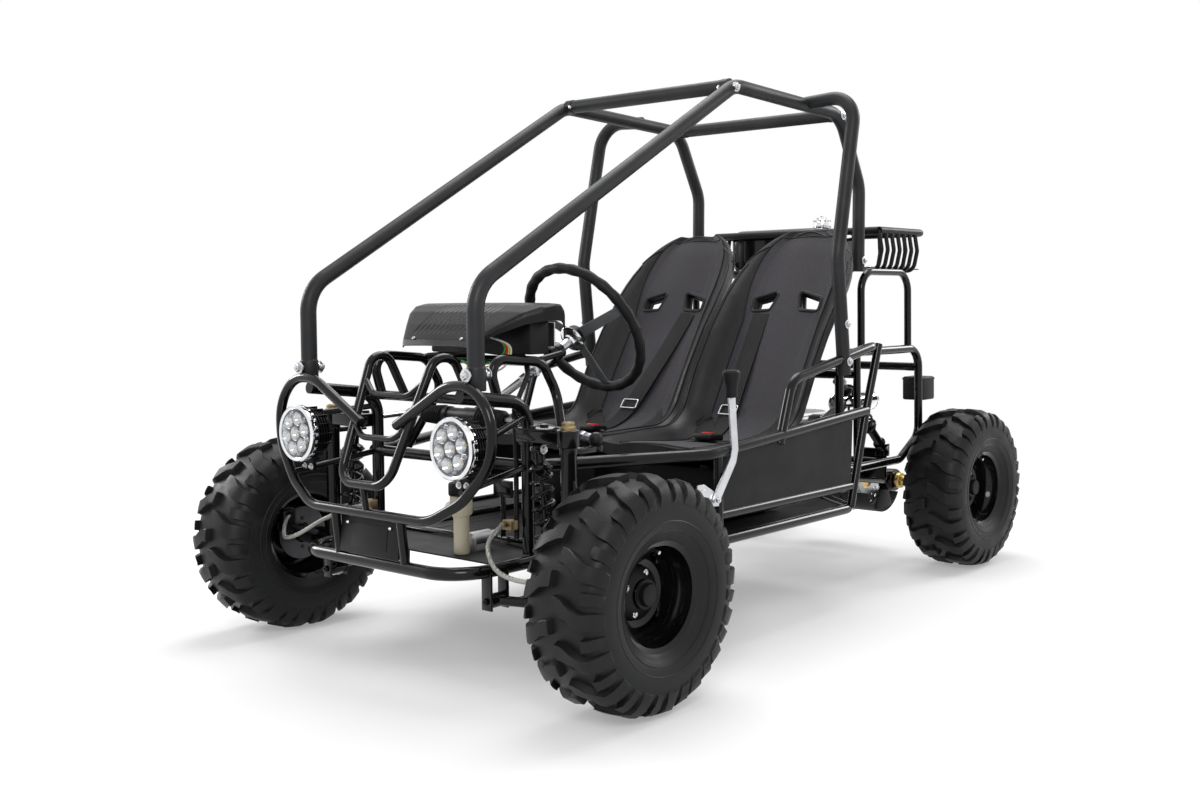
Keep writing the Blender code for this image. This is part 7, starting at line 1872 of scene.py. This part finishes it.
@dataclass(frozen=True)
class NoseParts:
    """Blank plate, brake reservoir, pedals and brake hoses."""

    def build(self) -> None:
        """Build the small parts of the nose."""
        self.plate().placed("blank_plate", PLASTIC, replaced=["plate_bracket"])
        self.plate_rivets().placed("plate_rivets", ZINC)
        self.bottle().placed("reservoir_bottle", BOTTLE, replaced=["brake_reservoir"])
        self.cap().placed("reservoir_cap", PLASTIC)
        self.cylinder().placed("brake_cylinder", ALLOY)
        self.pedals().placed("foot_pedals", GLOSS, replaced=["pedals"])
        self.treads().placed("pedal_treads", GRIP)
        for name, side in SIDES:
            self.hose(name, side)

    def plate(self) -> Shape:
        """Blank plate with a rolled border and an empty field."""
        shape = Shape().box((0, -0.1680, 0.2695), (0.172, 0.0028, 0.070), 0.0012, Matrix.Rotation(math.radians(-6), 4, "X"))
        shape.box((0, -0.1698, 0.2690), (0.104, 0.0014, 0.046), 0.0006, Matrix.Rotation(math.radians(-6), 4, "X"))
        return shape

    def plate_rivets(self) -> Shape:
        """Rivets of the plate."""
        shape = Shape()
        for across in (-0.062, 0.062):
            for height in (0.248, 0.291):
                shape.turned([(0.0, -0.0022), (0.0020, -0.0018), (0.0034, 0.0)], (across, -0.1692 - (height - 0.2695) * 0.1, height), (0, 1, 0), 16)
        return shape

    def bottle(self) -> Shape:
        """Translucent bottle of the brake fluid with its band."""
        profile = [(0.0, 0.0), (0.0135, 0.0), (0.0147, 0.002), (0.0147, 0.066), (0.0160, 0.071), (0.0205, 0.0745), (0.0210, 0.077), (0.0210, 0.108), (0.0195, 0.1105), (0.0, 0.1105)]
        return Shape().turned(profile, (0.08, -0.02, 0.2238), (0, 0, 1), 40)

    def cap(self) -> Shape:
        """Black ribbed cap."""
        profile = [(0.0, 0.1110), (0.0225, 0.1110), (0.0231, 0.1125), (0.0231, 0.1320), (0.0215, 0.1345), (0.0, 0.1350)]
        shape = Shape().turned(profile, (0.08, -0.02, 0.2238), (0, 0, 1), 40)
        for spot in range(20):
            angle = math.tau * spot / 20
            shape.box((0.08 + 0.0226 * math.cos(angle), -0.02 + 0.0226 * math.sin(angle), 0.2238 + 0.122), (0.0012, 0.0022, 0.016), 0.0004, Matrix.Rotation(angle, 4, "Z"))
        return shape

    def cylinder(self) -> Shape:
        """Master cylinder beside the bottle."""
        shape = Shape().turned([(0.0, 0.0), (0.011, 0.0), (0.013, 0.002), (0.013, 0.050), (0.009, 0.054), (0.009, 0.066), (0.0, 0.067)], (0.072, 0.004, 0.246), (0, 1, 0), 28)
        shape.rod((0.072, 0.070, 0.246), (0.072, 0.086, 0.256), 0.0032, 12)
        shape.box((0.072, 0.006, 0.236), (0.034, 0.006, 0.028), 0.001)
        return shape

    def pedals(self) -> Shape:
        """Two pedals on bent levers with their pivot tube."""
        shape = Shape().rod((0.048, 0.090, 0.2355), (0.212, 0.090, 0.2355), 0.0055, 20, 0.0006)
        for x in (0.074, 0.186):
            shape.tube([Vector((x, 0.090, 0.236)), Vector((x, 0.0925, 0.285)), Vector((x, 0.0900, 0.325))], 0.0052, 0.03, 14)
            shape.box((x, 0.0900, 0.332), (0.050, 0.004, 0.032), 0.0015)
        return shape

    def treads(self) -> Shape:
        """Ribbed rubber faces of the pedals."""
        shape = Shape()
        for x in (0.074, 0.186):
            shape.box((x, 0.0938, 0.332), (0.051, 0.0036, 0.033), 0.0012)
            for row in range(5):
                shape.box((x, 0.0958, 0.320 + row * 0.006), (0.046, 0.0012, 0.0024), 0.0004)
        return shape

    def hose(self, name: str, side: int) -> None:
        """Braided brake hose from a union on the frame to the calliper, curved across the kingpin."""
        corners = [(0.203, -0.030, 0.290), (0.214, -0.052, 0.286), (0.240, -0.098, 0.268), (0.290, -0.124, 0.236), (0.345, -0.116, 0.222), (0.392, -0.090, 0.226),
                   (0.424, -0.064, 0.240), (0.4345, -0.047, 0.250)]
        points = [handed(corner, side) + AXLE_SHIFT for corner in corners]
        curve = bpy.data.curves.new(f"brake_hose_{name}", "CURVE")
        curve.dimensions = "3D"
        curve.bevel_depth = 0.0042
        curve.bevel_resolution = 3
        curve.resolution_u = 6
        curve.use_fill_caps = True
        fine = smooth_line(points, 24)
        spline = curve.splines.new("POLY")
        spline.points.add(len(fine) - 1)
        for knot, spot in zip(spline.points, fine):
            knot.co = (*spot, 1.0)
        spline.use_smooth = True
        length = sum((after - before).length for before, after in zip(fine, fine[1:]))
        raw = bpy.data.objects.new(f"brake_hose_{name}", curve)
        bpy.context.scene.collection.objects.link(raw)
        bpy.context.view_layer.update()
        graph = bpy.context.evaluated_depsgraph_get()
        mesh = bpy.data.meshes.new_from_object(raw.evaluated_get(graph), depsgraph=graph)
        bpy.data.objects.remove(raw)
        mesh.materials.append(BRAIDED.material())
        piece = bpy.data.objects.new(f"brake_hose_{name}", mesh)
        bpy.context.scene.collection.objects.link(piece)
        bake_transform(piece)
        union = Shape().rod(handed((0.196, -0.018, 0.2915), side), handed((0.2035, -0.031, 0.2898), side), 0.0062, 6, 0.0005)
        union.box(handed((0.205, -0.012, 0.290), side), (0.026, 0.018, 0.018), 0.002)
        union.placed(f"hose_union_{name}", BRASS)
        LOG.info("brake_hose_%s: %.3f m of braided hose", name, length)


def smooth_line(points: Sequence[Vector], count: int) -> list[Vector]:
    """A smooth curve of evenly shared stations through points.

    Args:
        points: What the curve runs through.
        count: How many stations it has.

    Returns:
        The stations.
    """
    knots = [points[0] * 2 - points[1], *points, points[-1] * 2 - points[-2]]
    result = []
    spans = len(points) - 1
    for index in range(count + 1):
        place = min(index / count * spans, spans - 1e-9)
        low = int(place)
        share = place - low
        before, first, second, after = knots[low:low + 4]
        result.append(0.5 * ((2 * first) + (second - before) * share + (2 * before - 5 * first + 4 * second - after) * share ** 2
                             + (3 * first - before - 3 * second + after) * share ** 3))
    return result


# ---------------------------------------------------------------- rear


@dataclass(frozen=True)
class RearDrive:
    """Live axle with drilled disc, sprocket and chain, swing arm, guard and shocks."""

    axle_y: float = WHEELBASE
    axle_z: float = 0.203
    sprocket_x: float = -0.115
    disc_x: float = 0.085
    teeth: int = 40

    @property
    def centre(self) -> Vector:
        """Middle of the axle."""
        return Vector((0, self.axle_y, self.axle_z))

    def build(self) -> None:
        """Build the rear drive."""
        self.shaft().placed("axle_shaft", GOLD, "rear_wheels", ["rear_axle"])
        self.disc().placed("rear_brake_disc", STEEL, "rear_wheels", smooth=30)
        self.sprocket().placed("rear_sprocket", DARK_STEEL, "rear_wheels", smooth=30)
        self.links().placed("chain_links", DARK_STEEL, replaced=["drive_chain"])
        self.arm().placed("swing_arm_tubes", GLOSS, replaced=["swing_arm"])
        self.guard().placed("axle_guard", PAN_PAINT)
        self.caliper().placed("rear_caliper", ALLOY_DARK)
        for name, side in SIDES:
            spring = Spring(handed((0.215, 1.290, 0.305), side), handed((0.215, 1.085, 0.490), side), turns=7)
            spring.body().placed(f"rear_shock_{name}_body", GLOSS, replaced=[f"rear_shock_{name}"])
            spring.coils().placed(f"rear_shock_{name}_spring", GLOSS)
            spring.bolts().placed(f"rear_shock_{name}_bolts", ZINC)

    def shaft(self) -> Shape:
        """Axle shaft with its hubs and lock collars."""
        shape = Shape().rod(self.centre - Vector((0.403, 0, 0)), self.centre + Vector((0.403, 0, 0)), 0.0124, 32, 0.001)
        for place, hand in ((self.disc_x, -1), (self.sprocket_x, 1)):
            profile = [(0.0, 0.0), (0.0400, 0.0), (0.0400, 0.004), (0.0220, 0.005), (0.0215, 0.0215), (0.0200, 0.0230), (0.0, 0.0230)]
            shape.turned(profile, self.centre + Vector((place + hand * 0.0022, 0, 0)), (hand, 0, 0), 36)
        for place in (-0.190, 0.190):
            shape.turned([(0.0, -0.008), (0.0200, -0.008), (0.0210, -0.006), (0.0210, 0.006), (0.0200, 0.008), (0.0, 0.008)], self.centre + Vector((place, 0, 0)), (1, 0, 0), 32)
        return shape

    def disc(self) -> Shape:
        """Brake disc drilled in two rows, made as rings joined by webs between the holes."""
        shape = Shape()
        half = 0.0019
        shape.turned([(0.030, -half), (0.0490, -half), (0.0490, half), (0.030, half)], self.centre + Vector((self.disc_x, 0, 0)), (1, 0, 0), 72, True)
        shape.turned([(0.0735, -half), (0.0815, -half), (0.0815, half), (0.0735, half)], self.centre + Vector((self.disc_x, 0, 0)), (1, 0, 0), 72, True)
        shape.turned([(0.0575, -half), (0.0650, -half), (0.0650, half), (0.0575, half)], self.centre + Vector((self.disc_x, 0, 0)), (1, 0, 0), 72, True)
        for spot in range(18):
            for ring, width, phase in ((0.0530, 0.0105, 0.0), (0.0693, 0.0125, 0.5)):
                angle = math.tau * (spot + phase) / 18
                place = self.centre + Vector((self.disc_x, ring * math.sin(angle), ring * math.cos(angle)))
                shape.box(place, (2 * half, width, 0.0100), 0.0, Matrix.Rotation(-angle, 4, "X"))
        return shape

    def sprocket(self) -> Shape:
        """Toothed sprocket with round windows between its spokes."""
        shape = Shape()
        half = 0.0021
        spot = self.centre + Vector((self.sprocket_x, 0, 0))
        shape.turned([(0.0590, -half), (0.0725, -half), (0.0725, half), (0.0590, half)], spot, (1, 0, 0), 80, True)
        shape.turned([(0.020, -half), (0.0420, -half), (0.0420, half), (0.020, half)], spot, (1, 0, 0), 64, True)
        for arm in range(5):
            angle = math.tau * arm / 5
            place = spot + Vector((0, 0.0505 * math.sin(angle), 0.0505 * math.cos(angle)))
            shape.box(place, (2 * half, 0.0170, 0.0220), 0.0, Matrix.Rotation(-angle, 4, "X"))
        for tooth in range(self.teeth):
            angle = math.tau * tooth / self.teeth
            place = spot + Vector((0, 0.0745 * math.sin(angle), 0.0745 * math.cos(angle)))
            shape.box(place, (2 * half * 0.8, 0.0048, 0.0068), 0.0010, Matrix.Rotation(-angle, 4, "X"))
        return shape

    def loop(self) -> list[tuple[Vector, Vector]]:
        """Evenly spaced points of the chain's middle line, with their outward directions."""
        big, small = self.centre, Vector((0, 1.235, 0.345))
        big_radius, small_radius = 0.0795 + 0.0035, 0.0215 + 0.0035
        line = small - big
        lean = math.asin((big_radius - small_radius) / line.length)
        heading = math.atan2(line.z, line.y)
        path = []
        for hub, radius, start, sweep in ((small, small_radius, heading + math.pi / 2 - lean, -math.pi + 2 * lean),
                                          (big, big_radius, heading - math.pi / 2 + lean, -math.pi - 2 * lean)):
            for step in range(33):
                turn = start + sweep * step / 32
                outward = Vector((0, math.cos(turn), math.sin(turn)))
                path.append((hub + outward * radius, outward))
        path.append(path[0])
        lengths = [(after[0] - before[0]).length for before, after in zip(path, path[1:])]
        count = round(sum(lengths) / 0.0085 / 2) * 2
        result = []
        for spot in range(count):
            left = sum(lengths) * spot / count
            for before, after, length in zip(path, path[1:], lengths):
                if left <= length:
                    result.append((before[0].lerp(after[0], left / length), before[1].lerp(after[1], left / length).normalized()))
                    break
                left -= length
        return result

    def links(self) -> Shape:
        """Chain of rollers and side plates."""
        shape = Shape()
        spots = self.loop()
        for index, (place, outward) in enumerate(spots):
            following = spots[(index + 1) % len(spots)][0]
            middle = place.lerp(following, 0.5) + Vector((self.sprocket_x, 0, 0))
            heading = (following - place).normalized()
            turn = Matrix((Vector((1, 0, 0)), heading, Vector((1, 0, 0)).cross(heading))).transposed().to_4x4()
            wide = 0.0040 if index % 2 else 0.0030
            for hand in (-1, 1):
                shape.box(middle + Vector((hand * wide, 0, 0)), (0.0009, 0.0125, 0.0064), 0.0, turn)
            centre = place + Vector((self.sprocket_x, 0, 0))
            shape.rod(centre - Vector((0.0044, 0, 0)), centre + Vector((0.0044, 0, 0)), 0.0023, 8)
        return shape

    def arm(self) -> Shape:
        """Swing arm tubes, cross tubes, bearing carriers and shock feet."""
        shape = Shape().rod((-0.215, 1.09, 0.255), (0.215, 1.09, 0.255), 0.0138, 28, 0.001)
        for _, side in SIDES:
            shape.tube([handed((0.160, 1.09, 0.255), side), handed((0.160, 1.400, 0.2065), side)], 0.0138, 0, 28)
            ring = [(0.0136, -0.020), (0.0285, -0.020), (0.0300, -0.018), (0.0300, 0.018), (0.0285, 0.020), (0.0136, 0.020)]
            shape.turned(ring, self.centre + Vector((side * 0.160, 0, 0)), (1, 0, 0), 40, True)
            shape.box((side * 0.1875, 1.290, 0.2645), (0.075, 0.013, 0.079), 0.002)
            for hand in (-1, 1):
                shape.box((side * 0.215 + hand * 0.0125, 1.290, 0.300), (0.0028, 0.026, 0.032), 0.001)
            for turn in (45, 135, 225, 315):
                place = self.centre + Vector((side * 0.1805, 0.0235 * math.cos(math.radians(turn)), 0.0235 * math.sin(math.radians(turn))))
                shape.nut(place, (side, 0, 0), 0.0042, 0.0)
        return shape

    def guard(self) -> Shape:
        """Curved scoop under the axle with side plates and stiffening beads."""
        def face(u: float, v: float) -> Vector:
            """Point of the scoop."""
            turn = math.radians(-160 + 130 * v)
            return self.centre + Vector(((2 * u - 1) * 0.1408, math.cos(turn) * 0.0903, math.sin(turn) * 0.0903))
        shape = Shape().sheet(face, 16, 26, 0.0024)
        for _, side in SIDES:
            x = side * 0.1400
            outline = [(x, self.axle_y - 0.018, 0.188), (x, self.axle_y + 0.018, 0.188), (x, self.axle_y + 0.0455, 0.1245), (x, self.axle_y - 0.0455, 0.1245)]
            shape.prism([Vector(spot) - Vector((0.0015, 0, 0)) for spot in outline], (0.003, 0, 0), 0.0008)
        for x in (-0.07, 0.0, 0.05):
            ring = [self.centre + Vector((x, math.cos(math.radians(-150 + 11 * step)) * 0.0915, math.sin(math.radians(-150 + 11 * step)) * 0.0915)) for step in range(11)]
            shape.tube(ring, 0.0016, 0, 8)
        return shape

    def caliper(self) -> Shape:
        """Rear calliper over the disc with its arm from the carrier."""
        shape = Shape()
        place = self.centre + Vector((self.disc_x, -0.0690, 0.0350))
        for hand in (-1, 1):
            shape.box(place + Vector((hand * 0.0125, 0, 0)), (0.0170, 0.032, 0.046), 0.004, Matrix.Rotation(math.radians(25), 4, "X"))
        shape.box(place + Vector((0, -0.0185, 0.0085)), (0.040, 0.010, 0.034), 0.002, Matrix.Rotation(math.radians(25), 4, "X"))
        shape.tube([place + Vector((0.012, -0.010, -0.002)), Vector((0.150, self.axle_y - 0.060, 0.216))], 0.0065, 0, 14)
        return shape


@dataclass(frozen=True)
class Engine:
    """Open engine: crankcase with covers, finned cylinder, carburettor, filter and exhaust."""

    centre: Spot = (0.0, 1.17, 0.344)
    rise: float = 12.0

    def build(self) -> None:
        """Build the engine."""
        self.case().placed("engine_crankcase", ALLOY, replaced=["engine"])
        self.covers().placed("engine_covers", ALLOY_DARK)
        self.cylinder().placed("engine_cylinder", ALLOY)
        self.bolts().placed("engine_bolts", ZINC)
        self.carburettor().placed("engine_carburettor", ALLOY)
        self.filter().placed("engine_air_filter", GRIP)
        self.exhaust().placed("engine_exhaust", DARK_STEEL)
        self.muffler().placed("engine_muffler", CHROME)
        self.lead().placed("engine_spark_lead", GRIP)

    @property
    def line(self) -> Vector:
        """Direction of the cylinder."""
        turn = math.radians(self.rise)
        return Vector((0, -math.cos(turn), math.sin(turn)))

    def case(self) -> Shape:
        """Crankcase in three stepped castings with ribs."""
        x, y, z = self.centre
        shape = Shape().box((x, y, z), (0.150, 0.168, 0.116), 0.016, segments=4)
        shape.box((x - 0.004, y + 0.006, z + 0.004), (0.176, 0.140, 0.092), 0.014, segments=4)
        shape.box((x, y - 0.040, z - 0.050), (0.120, 0.060, 0.016), 0.004)
        for across in (-0.045, -0.015, 0.015, 0.045):
            shape.box((across, y, z + 0.0575), (0.0035, 0.120, 0.0045), 0.001)
        shape.rod((-0.077, 1.235, 0.345), (-0.1185, 1.235, 0.345), 0.0180, 28, 0.001)
        for spot in range(12):
            angle = math.tau * spot / 12
            shape.box((-0.115, 1.235 + 0.0190 * math.cos(angle), 0.345 + 0.0190 * math.sin(angle)), (0.004, 0.0042, 0.0042), 0.0008, Matrix.Rotation(angle, 4, "X"))
        return shape

    def covers(self) -> Shape:
        """Round covers on both ends of the crankcase."""
        x, y, z = self.centre
        profile = [(0.0, 0.109), (0.020, 0.1088), (0.030, 0.105), (0.044, 0.103), (0.0505, 0.099), (0.0520, 0.094), (0.0520, 0.078), (0.0, 0.078)]
        shape = Shape().turned(profile, (x, y, z), (1, 0, 0), 48)
        profile = [(0.0, 0.0945), (0.030, 0.0940), (0.046, 0.0900), (0.0480, 0.0850), (0.0480, 0.074), (0.0, 0.074)]
        shape.turned(profile, (x, y - 0.014, z), (-1, 0, 0), 48)
        for spot in range(6):
            angle = math.tau * spot / 6
            shape.box((0.1055, y + 0.030 * math.cos(angle), z + 0.030 * math.sin(angle)), (0.004, 0.0200, 0.0030), 0.0008, Matrix.Rotation(angle, 4, "X"))
        return shape

    def cylinder(self) -> Shape:
        """Cylinder and head with thin cooling fins."""
        profile = [(0.0, 0.060), (0.036, 0.060)]
        for fin in range(9):
            low = 0.078 + fin * 0.0076
            size = 0.0555 if fin % 8 else 0.0500
            profile += [(0.0365, low), (size, low + 0.0004), (size, low + 0.0020), (0.0365, low + 0.0024)]
        profile += [(0.0480, 0.1465), (0.0500, 0.1480), (0.0500, 0.1560), (0.0400, 0.1640), (0.0180, 0.1655), (0.0, 0.1655)]
        shape = Shape().turned(profile, self.centre, self.line, 52)
        up = self.line.cross(Vector((1, 0, 0)))
        for hand in (-1, 1):
            shape.box(Vector(self.centre) + self.line * 0.158 + up * 0.024 * hand, (0.040, 0.012, 0.016), 0.003)
        return shape

    def bolts(self) -> Shape:
        """Cover bolts and head nuts."""
        x, y, z = self.centre
        shape = Shape()
        for spot in range(6):
            angle = math.tau * (spot + 0.5) / 6
            shape.nut((0.1000, y + 0.0455 * math.cos(angle), z + 0.0455 * math.sin(angle)), (1, 0, 0), 0.0038, 0.0)
            shape.nut((-0.0895, y - 0.014 + 0.0425 * math.cos(angle), z + 0.0425 * math.sin(angle)), (-1, 0, 0), 0.0038, 0.0)
        side = Vector((1, 0, 0))
        up = self.line.cross(side)
        for first in (-1, 1):
            for second in (-1, 1):
                place = Vector(self.centre) + self.line * 0.1555 + side * 0.030 * first + up * 0.030 * second
                shape.nut(place, self.line, 0.0055, 0.0)
        return shape

    def port(self) -> Vector:
        """Where intake and exhaust meet the head."""
        return Vector(self.centre) + self.line * 0.1465

    def carburettor(self) -> Shape:
        """Intake elbow, carburettor body and bowl."""
        port = self.port()
        corner = port + Vector((0, 0, 0.0730))
        carb = port + Vector((0, 0.051, 0.0815))
        shape = Shape().tube([port + Vector((0, 0, 0.030)), corner + Vector((0, 0, 0.006)), carb], 0.0125, 0.022, 20)
        shape.rod(carb - Vector((0, 0.012, 0)), carb + Vector((0, 0.004, 0)), 0.0165, 28, 0.002)
        shape.rod(carb + Vector((0, -0.004, -0.010)), carb + Vector((0, -0.004, -0.0245)), 0.0120, 24, 0.002)
        return shape

    def filter(self) -> Shape:
        """Pleated air filter."""
        base = self.port() + Vector((0, 0.051, 0.0815))
        profile = [(0.0, 0.0), (0.0260, 0.0), (0.0295, 0.0030)]
        for pleat in range(8):
            place = 0.0060 + pleat * 0.0062
            profile += [(0.0298, place), (0.0270, place + 0.0030)]
        profile += [(0.0295, 0.0570), (0.0270, 0.0598), (0.0, 0.0600)]
        return Shape().turned(profile, base, (0, 1, 0), 44)

    def exhaust(self) -> Shape:
        """Exhaust pipe from under the head to the muffler."""
        port = self.port() + Vector((0.0045, 0, 0))
        low = port - Vector((0, 0, 0.065))
        route = [port - Vector((0, 0, 0.040)), low, Vector((0.148, port.y + 0.036, 0.369)), Vector((0.148, 1.196, 0.425))]
        return Shape().tube(route, 0.0088, 0.036, 20)

    def muffler(self) -> Shape:
        """Muffler with rolled ends and its outlet."""
        profile = [(0.0, 0.0), (0.0180, 0.0), (0.0245, 0.003), (0.0260, 0.008), (0.0260, 0.012), (0.0252, 0.013), (0.0252, 0.166), (0.0260, 0.167),
                   (0.0260, 0.172), (0.0240, 0.178), (0.0120, 0.1798), (0.0085, 0.1798), (0.0085, 0.168), (0.0, 0.168)]
        return Shape().turned(profile, (0.148, 1.17, 0.425), (0, 1, 0), 40)

    def lead(self) -> Shape:
        """Spark plug cap and its lead."""
        head = Vector(self.centre) + self.line * 0.150
        plug = head + Vector((-0.045, 0, 0.012))
        route = [plug, plug + Vector((-0.018, 0.0, 0.018)), plug + Vector((-0.022, 0.050, 0.036)), Vector((-0.060, 1.14, 0.410)), Vector((-0.060, 1.16, 0.398))]
        shape = Shape().tube(smooth_line(route, 24), 0.0035, 0, 10)
        shape.rod(plug + Vector((0.016, 0, -0.010)), plug + Vector((-0.010, 0, 0.008)), 0.0075, 20, 0.0015)
        return shape


@dataclass(frozen=True)
class TankAndRack:
    """Fuel tank with its cap, the luggage rack, the tail box and their fastenings."""

    half_width: float = 0.26
    front: float = 1.20
    rear: float = 1.44
    top: float = 0.868
    deck: float = 0.771

    def build(self) -> None:
        """Build the pieces above the rear frame."""
        self.rack().placed("rack_tubes", RACK_MATT, replaced=["rear_rack"])
        self.tray().placed("rack_tray", PAN_PAINT)
        self.tank().placed("tank_shell", RIM_GLOSS, replaced=["fuel_tank"], smooth=45)
        self.tank_straps().placed("tank_straps", PLASTIC)
        self.cap().placed("tank_cap", CHROME, replaced=["fuel_cap"])
        self.box().placed("tail_box_case", PLASTIC, replaced=["tail_box"])
        self.bolts().placed("rack_bolts", ZINC)

    def rack(self) -> Shape:
        """Rim tube, cross tube and curved ribs."""
        rim = [Vector((self.half_width, self.front, self.top)), Vector((self.half_width, self.rear, self.top)),
               Vector((-self.half_width, self.rear, self.top)), Vector((-self.half_width, self.front, self.top))]
        shape = Shape().tube(rim, 0.0094, 0.042, 20)
        shape.tube([rim[0], rim[3]], 0.0094, 0, 20)
        for _, side in SIDES:
            for share in (0.0, 0.125, 0.25, 0.375, 0.5, 0.625, 0.75):
                y = self.front + share * (self.rear - self.front)
                rib = [handed((self.half_width, y, self.top), side), handed((self.half_width + 0.0080, y, 0.8195), side),
                       handed((self.half_width - 0.004, y, self.deck - 0.0030), side), handed((self.half_width - 0.042, y, self.deck - 0.0030), side)]
                shape.tube(rib, 0.0055, 0.024, 12)
        for across in (-0.195, -0.117, -0.039, 0.039, 0.117, 0.195):
            rib = [Vector((across, self.rear, self.top)), Vector((across, self.rear + 0.004, 0.8195)), Vector((across, self.rear - 0.012, self.deck - 0.002)),
                   Vector((across, self.rear - 0.045, self.deck - 0.002))]
            shape.tube(rib, 0.0055, 0.024, 12)
        return shape

    def tray(self) -> Shape:
        """Deck plate with pressed beads."""
        middle = (self.front + self.rear) / 2
        shape = Shape().box((0, middle, self.deck + 0.0015), (0.478, 0.2395, 0.0028), 0.0008)
        shape.box((0.153, middle, self.deck + 0.0030), (0.161, 0.215, 0.0056), 0.002)
        for row in range(6):
            shape.box((0.153, self.front + 0.045 + row * 0.030, self.deck + 0.0057), (0.130, 0.008, 0.0006), 0.0003)
        return shape

    def tank(self) -> Shape:
        """Pressed tank with a seam flange round its middle."""
        low = self.deck + 0.0035
        centre = Vector((-0.0875, 1.32, (0.885 + low) / 2))
        size = (0.2945, 0.2015, 0.885 - low - 0.0004)
        shape = Shape().box(centre, size, 0.0300, segments=6)
        shape.box(centre - Vector((0, 0, 0.004)), (size[0] - 0.001, size[1] - 0.001, 0.0040), 0.0017, segments=2)
        for across in (-0.045, 0.045):
            shape.box(centre + Vector((across - 0.02, 0, size[2] / 2 - 0.0022)), (0.022, 0.135, 0.0040), 0.0019)
        return shape

    def tank_straps(self) -> Shape:
        """Two rubber-lined bands over the tank."""
        shape = Shape()
        for x in (-0.190, -0.045):
            shape.box((x, 1.32, 0.8835), (0.016, 0.146, 0.0024), 0.001)
            for end in (-1, 1):
                shape.box((x, 1.32 + end * 0.1008, 0.818), (0.016, 0.0016, 0.078), 0.0006)
        return shape

    def cap(self) -> Shape:
        """Chrome cap with a grip ring and a vent."""
        profile = [(0.0, 0.0), (0.0235, 0.0), (0.0250, 0.0020), (0.0250, 0.0145), (0.0235, 0.0170), (0.0213, 0.0190), (0.0213, 0.0270), (0.0195, 0.0300),
                   (0.0130, 0.0312), (0.0080, 0.0315), (0.0070, 0.0345), (0.0, 0.0349)]
        shape = Shape().turned(profile, (0.01, 1.32, 0.8853), (0, 0, 1), 48)
        for spot in range(10):
            angle = math.tau * spot / 10
            shape.box((0.01 + 0.0222 * math.cos(angle), 1.32 + 0.0222 * math.sin(angle), 0.8853 + 0.0232), (0.0042, 0.0060, 0.0090), 0.0016, Matrix.Rotation(angle, 4, "Z"))
        return shape

    def box(self) -> Shape:
        """Electrical box with a lid and two ribs."""
        shape = Shape().box((0.24, 1.4358, 0.455), (0.062, 0.066, 0.062), 0.005, segments=3)
        shape.box((0.24, 1.4360, 0.4800), (0.063, 0.067, 0.0050), 0.0015)
        for across in (-0.024, 0.024):
            shape.box((0.24 + across, 1.4690, 0.455), (0.005, 0.0012, 0.040), 0.0005)
        return shape

    def bolts(self) -> Shape:
        """Bolts of the rack."""
        shape = Shape()
        for _, side in SIDES:
            for y in (1.245, 1.38):
                shape.nut((side * 0.205, y, self.deck + 0.0028), (0, 0, 1), 0.0055, 0.008)
        return shape


@dataclass(frozen=True)
class SideControls:
    """Shift lever with its bracket and knob."""

    def build(self) -> None:
        """Build the lever."""
        self.blade().placed("lever_blade", ZINC, replaced=["shift_lever"])
        self.knob().placed("lever_knob", PLASTIC)
        self.bracket().placed("lever_bracket", ZINC)

    def blade(self) -> Shape:
        """Cranked flat lever."""
        spots = [(0.3420, 0.3040), (0.3500, 0.3170), (0.3980, 0.3800), (0.4040, 0.4000), (0.3990, 0.4550), (0.3950, 0.5080)]
        left, right = [], []
        for index, (y, z) in enumerate(spots):
            before, after = spots[max(index - 1, 0)], spots[min(index + 1, len(spots) - 1)]
            heading = Vector((0, after[0] - before[0], after[1] - before[1])).normalized()
            out = Vector((0, heading.z, -heading.y)) * 0.0102
            left.append(Vector((0.4025, y, z)) + out)
            right.append(Vector((0.4025, y, z)) - out)
        return Shape().prism(left + right[::-1], (0.0044, 0, 0), 0.0008)

    def knob(self) -> Shape:
        """Black waisted knob."""
        profile = [(0.0, -0.006), (0.0108, -0.005), (0.0125, 0.0), (0.0122, 0.012), (0.0150, 0.026), (0.0178, 0.038), (0.0180, 0.045), (0.0150, 0.0490), (0.0, 0.0500)]
        return Shape().turned(profile, (0.4050, 0.395, 0.5095), (0, 0, 1), 36)

    def bracket(self) -> Shape:
        """Bracket on the side panel with its pivot bolt."""
        shape = Shape().prism([(0.4000, 0.2900, 0.2980), (0.4000, 0.3560, 0.2940), (0.4000, 0.3560, 0.3160), (0.4000, 0.3100, 0.3420),
                               (0.4000, 0.2900, 0.3420)], (0.0022, 0, 0), 0.0006)
        shape.nut((0.4068, 0.3440, 0.3080), (1, 0, 0), 0.0062, 0.0095)
        shape.rod((0.4020, 0.3060, 0.3240), (0.4070, 0.3060, 0.3240), 0.0085, 20, 0.001)
        return shape


def main() -> None:
    """Build the studio and every sub-assembly in order."""
    logging.basicConfig(level=logging.INFO, format="%(message)s")
    Studio().build()
    TubeFrame().build()
    RollCage().build()
    for name, side in SIDES:
        Wheel(name, "front", side, 0.496, 0.0, f"wheel_front_{name}").build()
        Wheel(name, "rear", side, 0.380, WHEELBASE, "rear_wheels").build()
        seat = Seat(name, side)
        seat.build()
        Harness(seat).build()
        FrontAxle(name, side).build()
        HeadLamp(name, side).build()
    Steering().build()
    Hood().build()
    NoseParts().build()
    RearDrive().build()
    Engine().build()
    TankAndRack().build()
    SideControls().build()
    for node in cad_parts:
        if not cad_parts[node].hide_render:
            dress(node, PLASTIC)


if __name__ == "__main__":
    main()
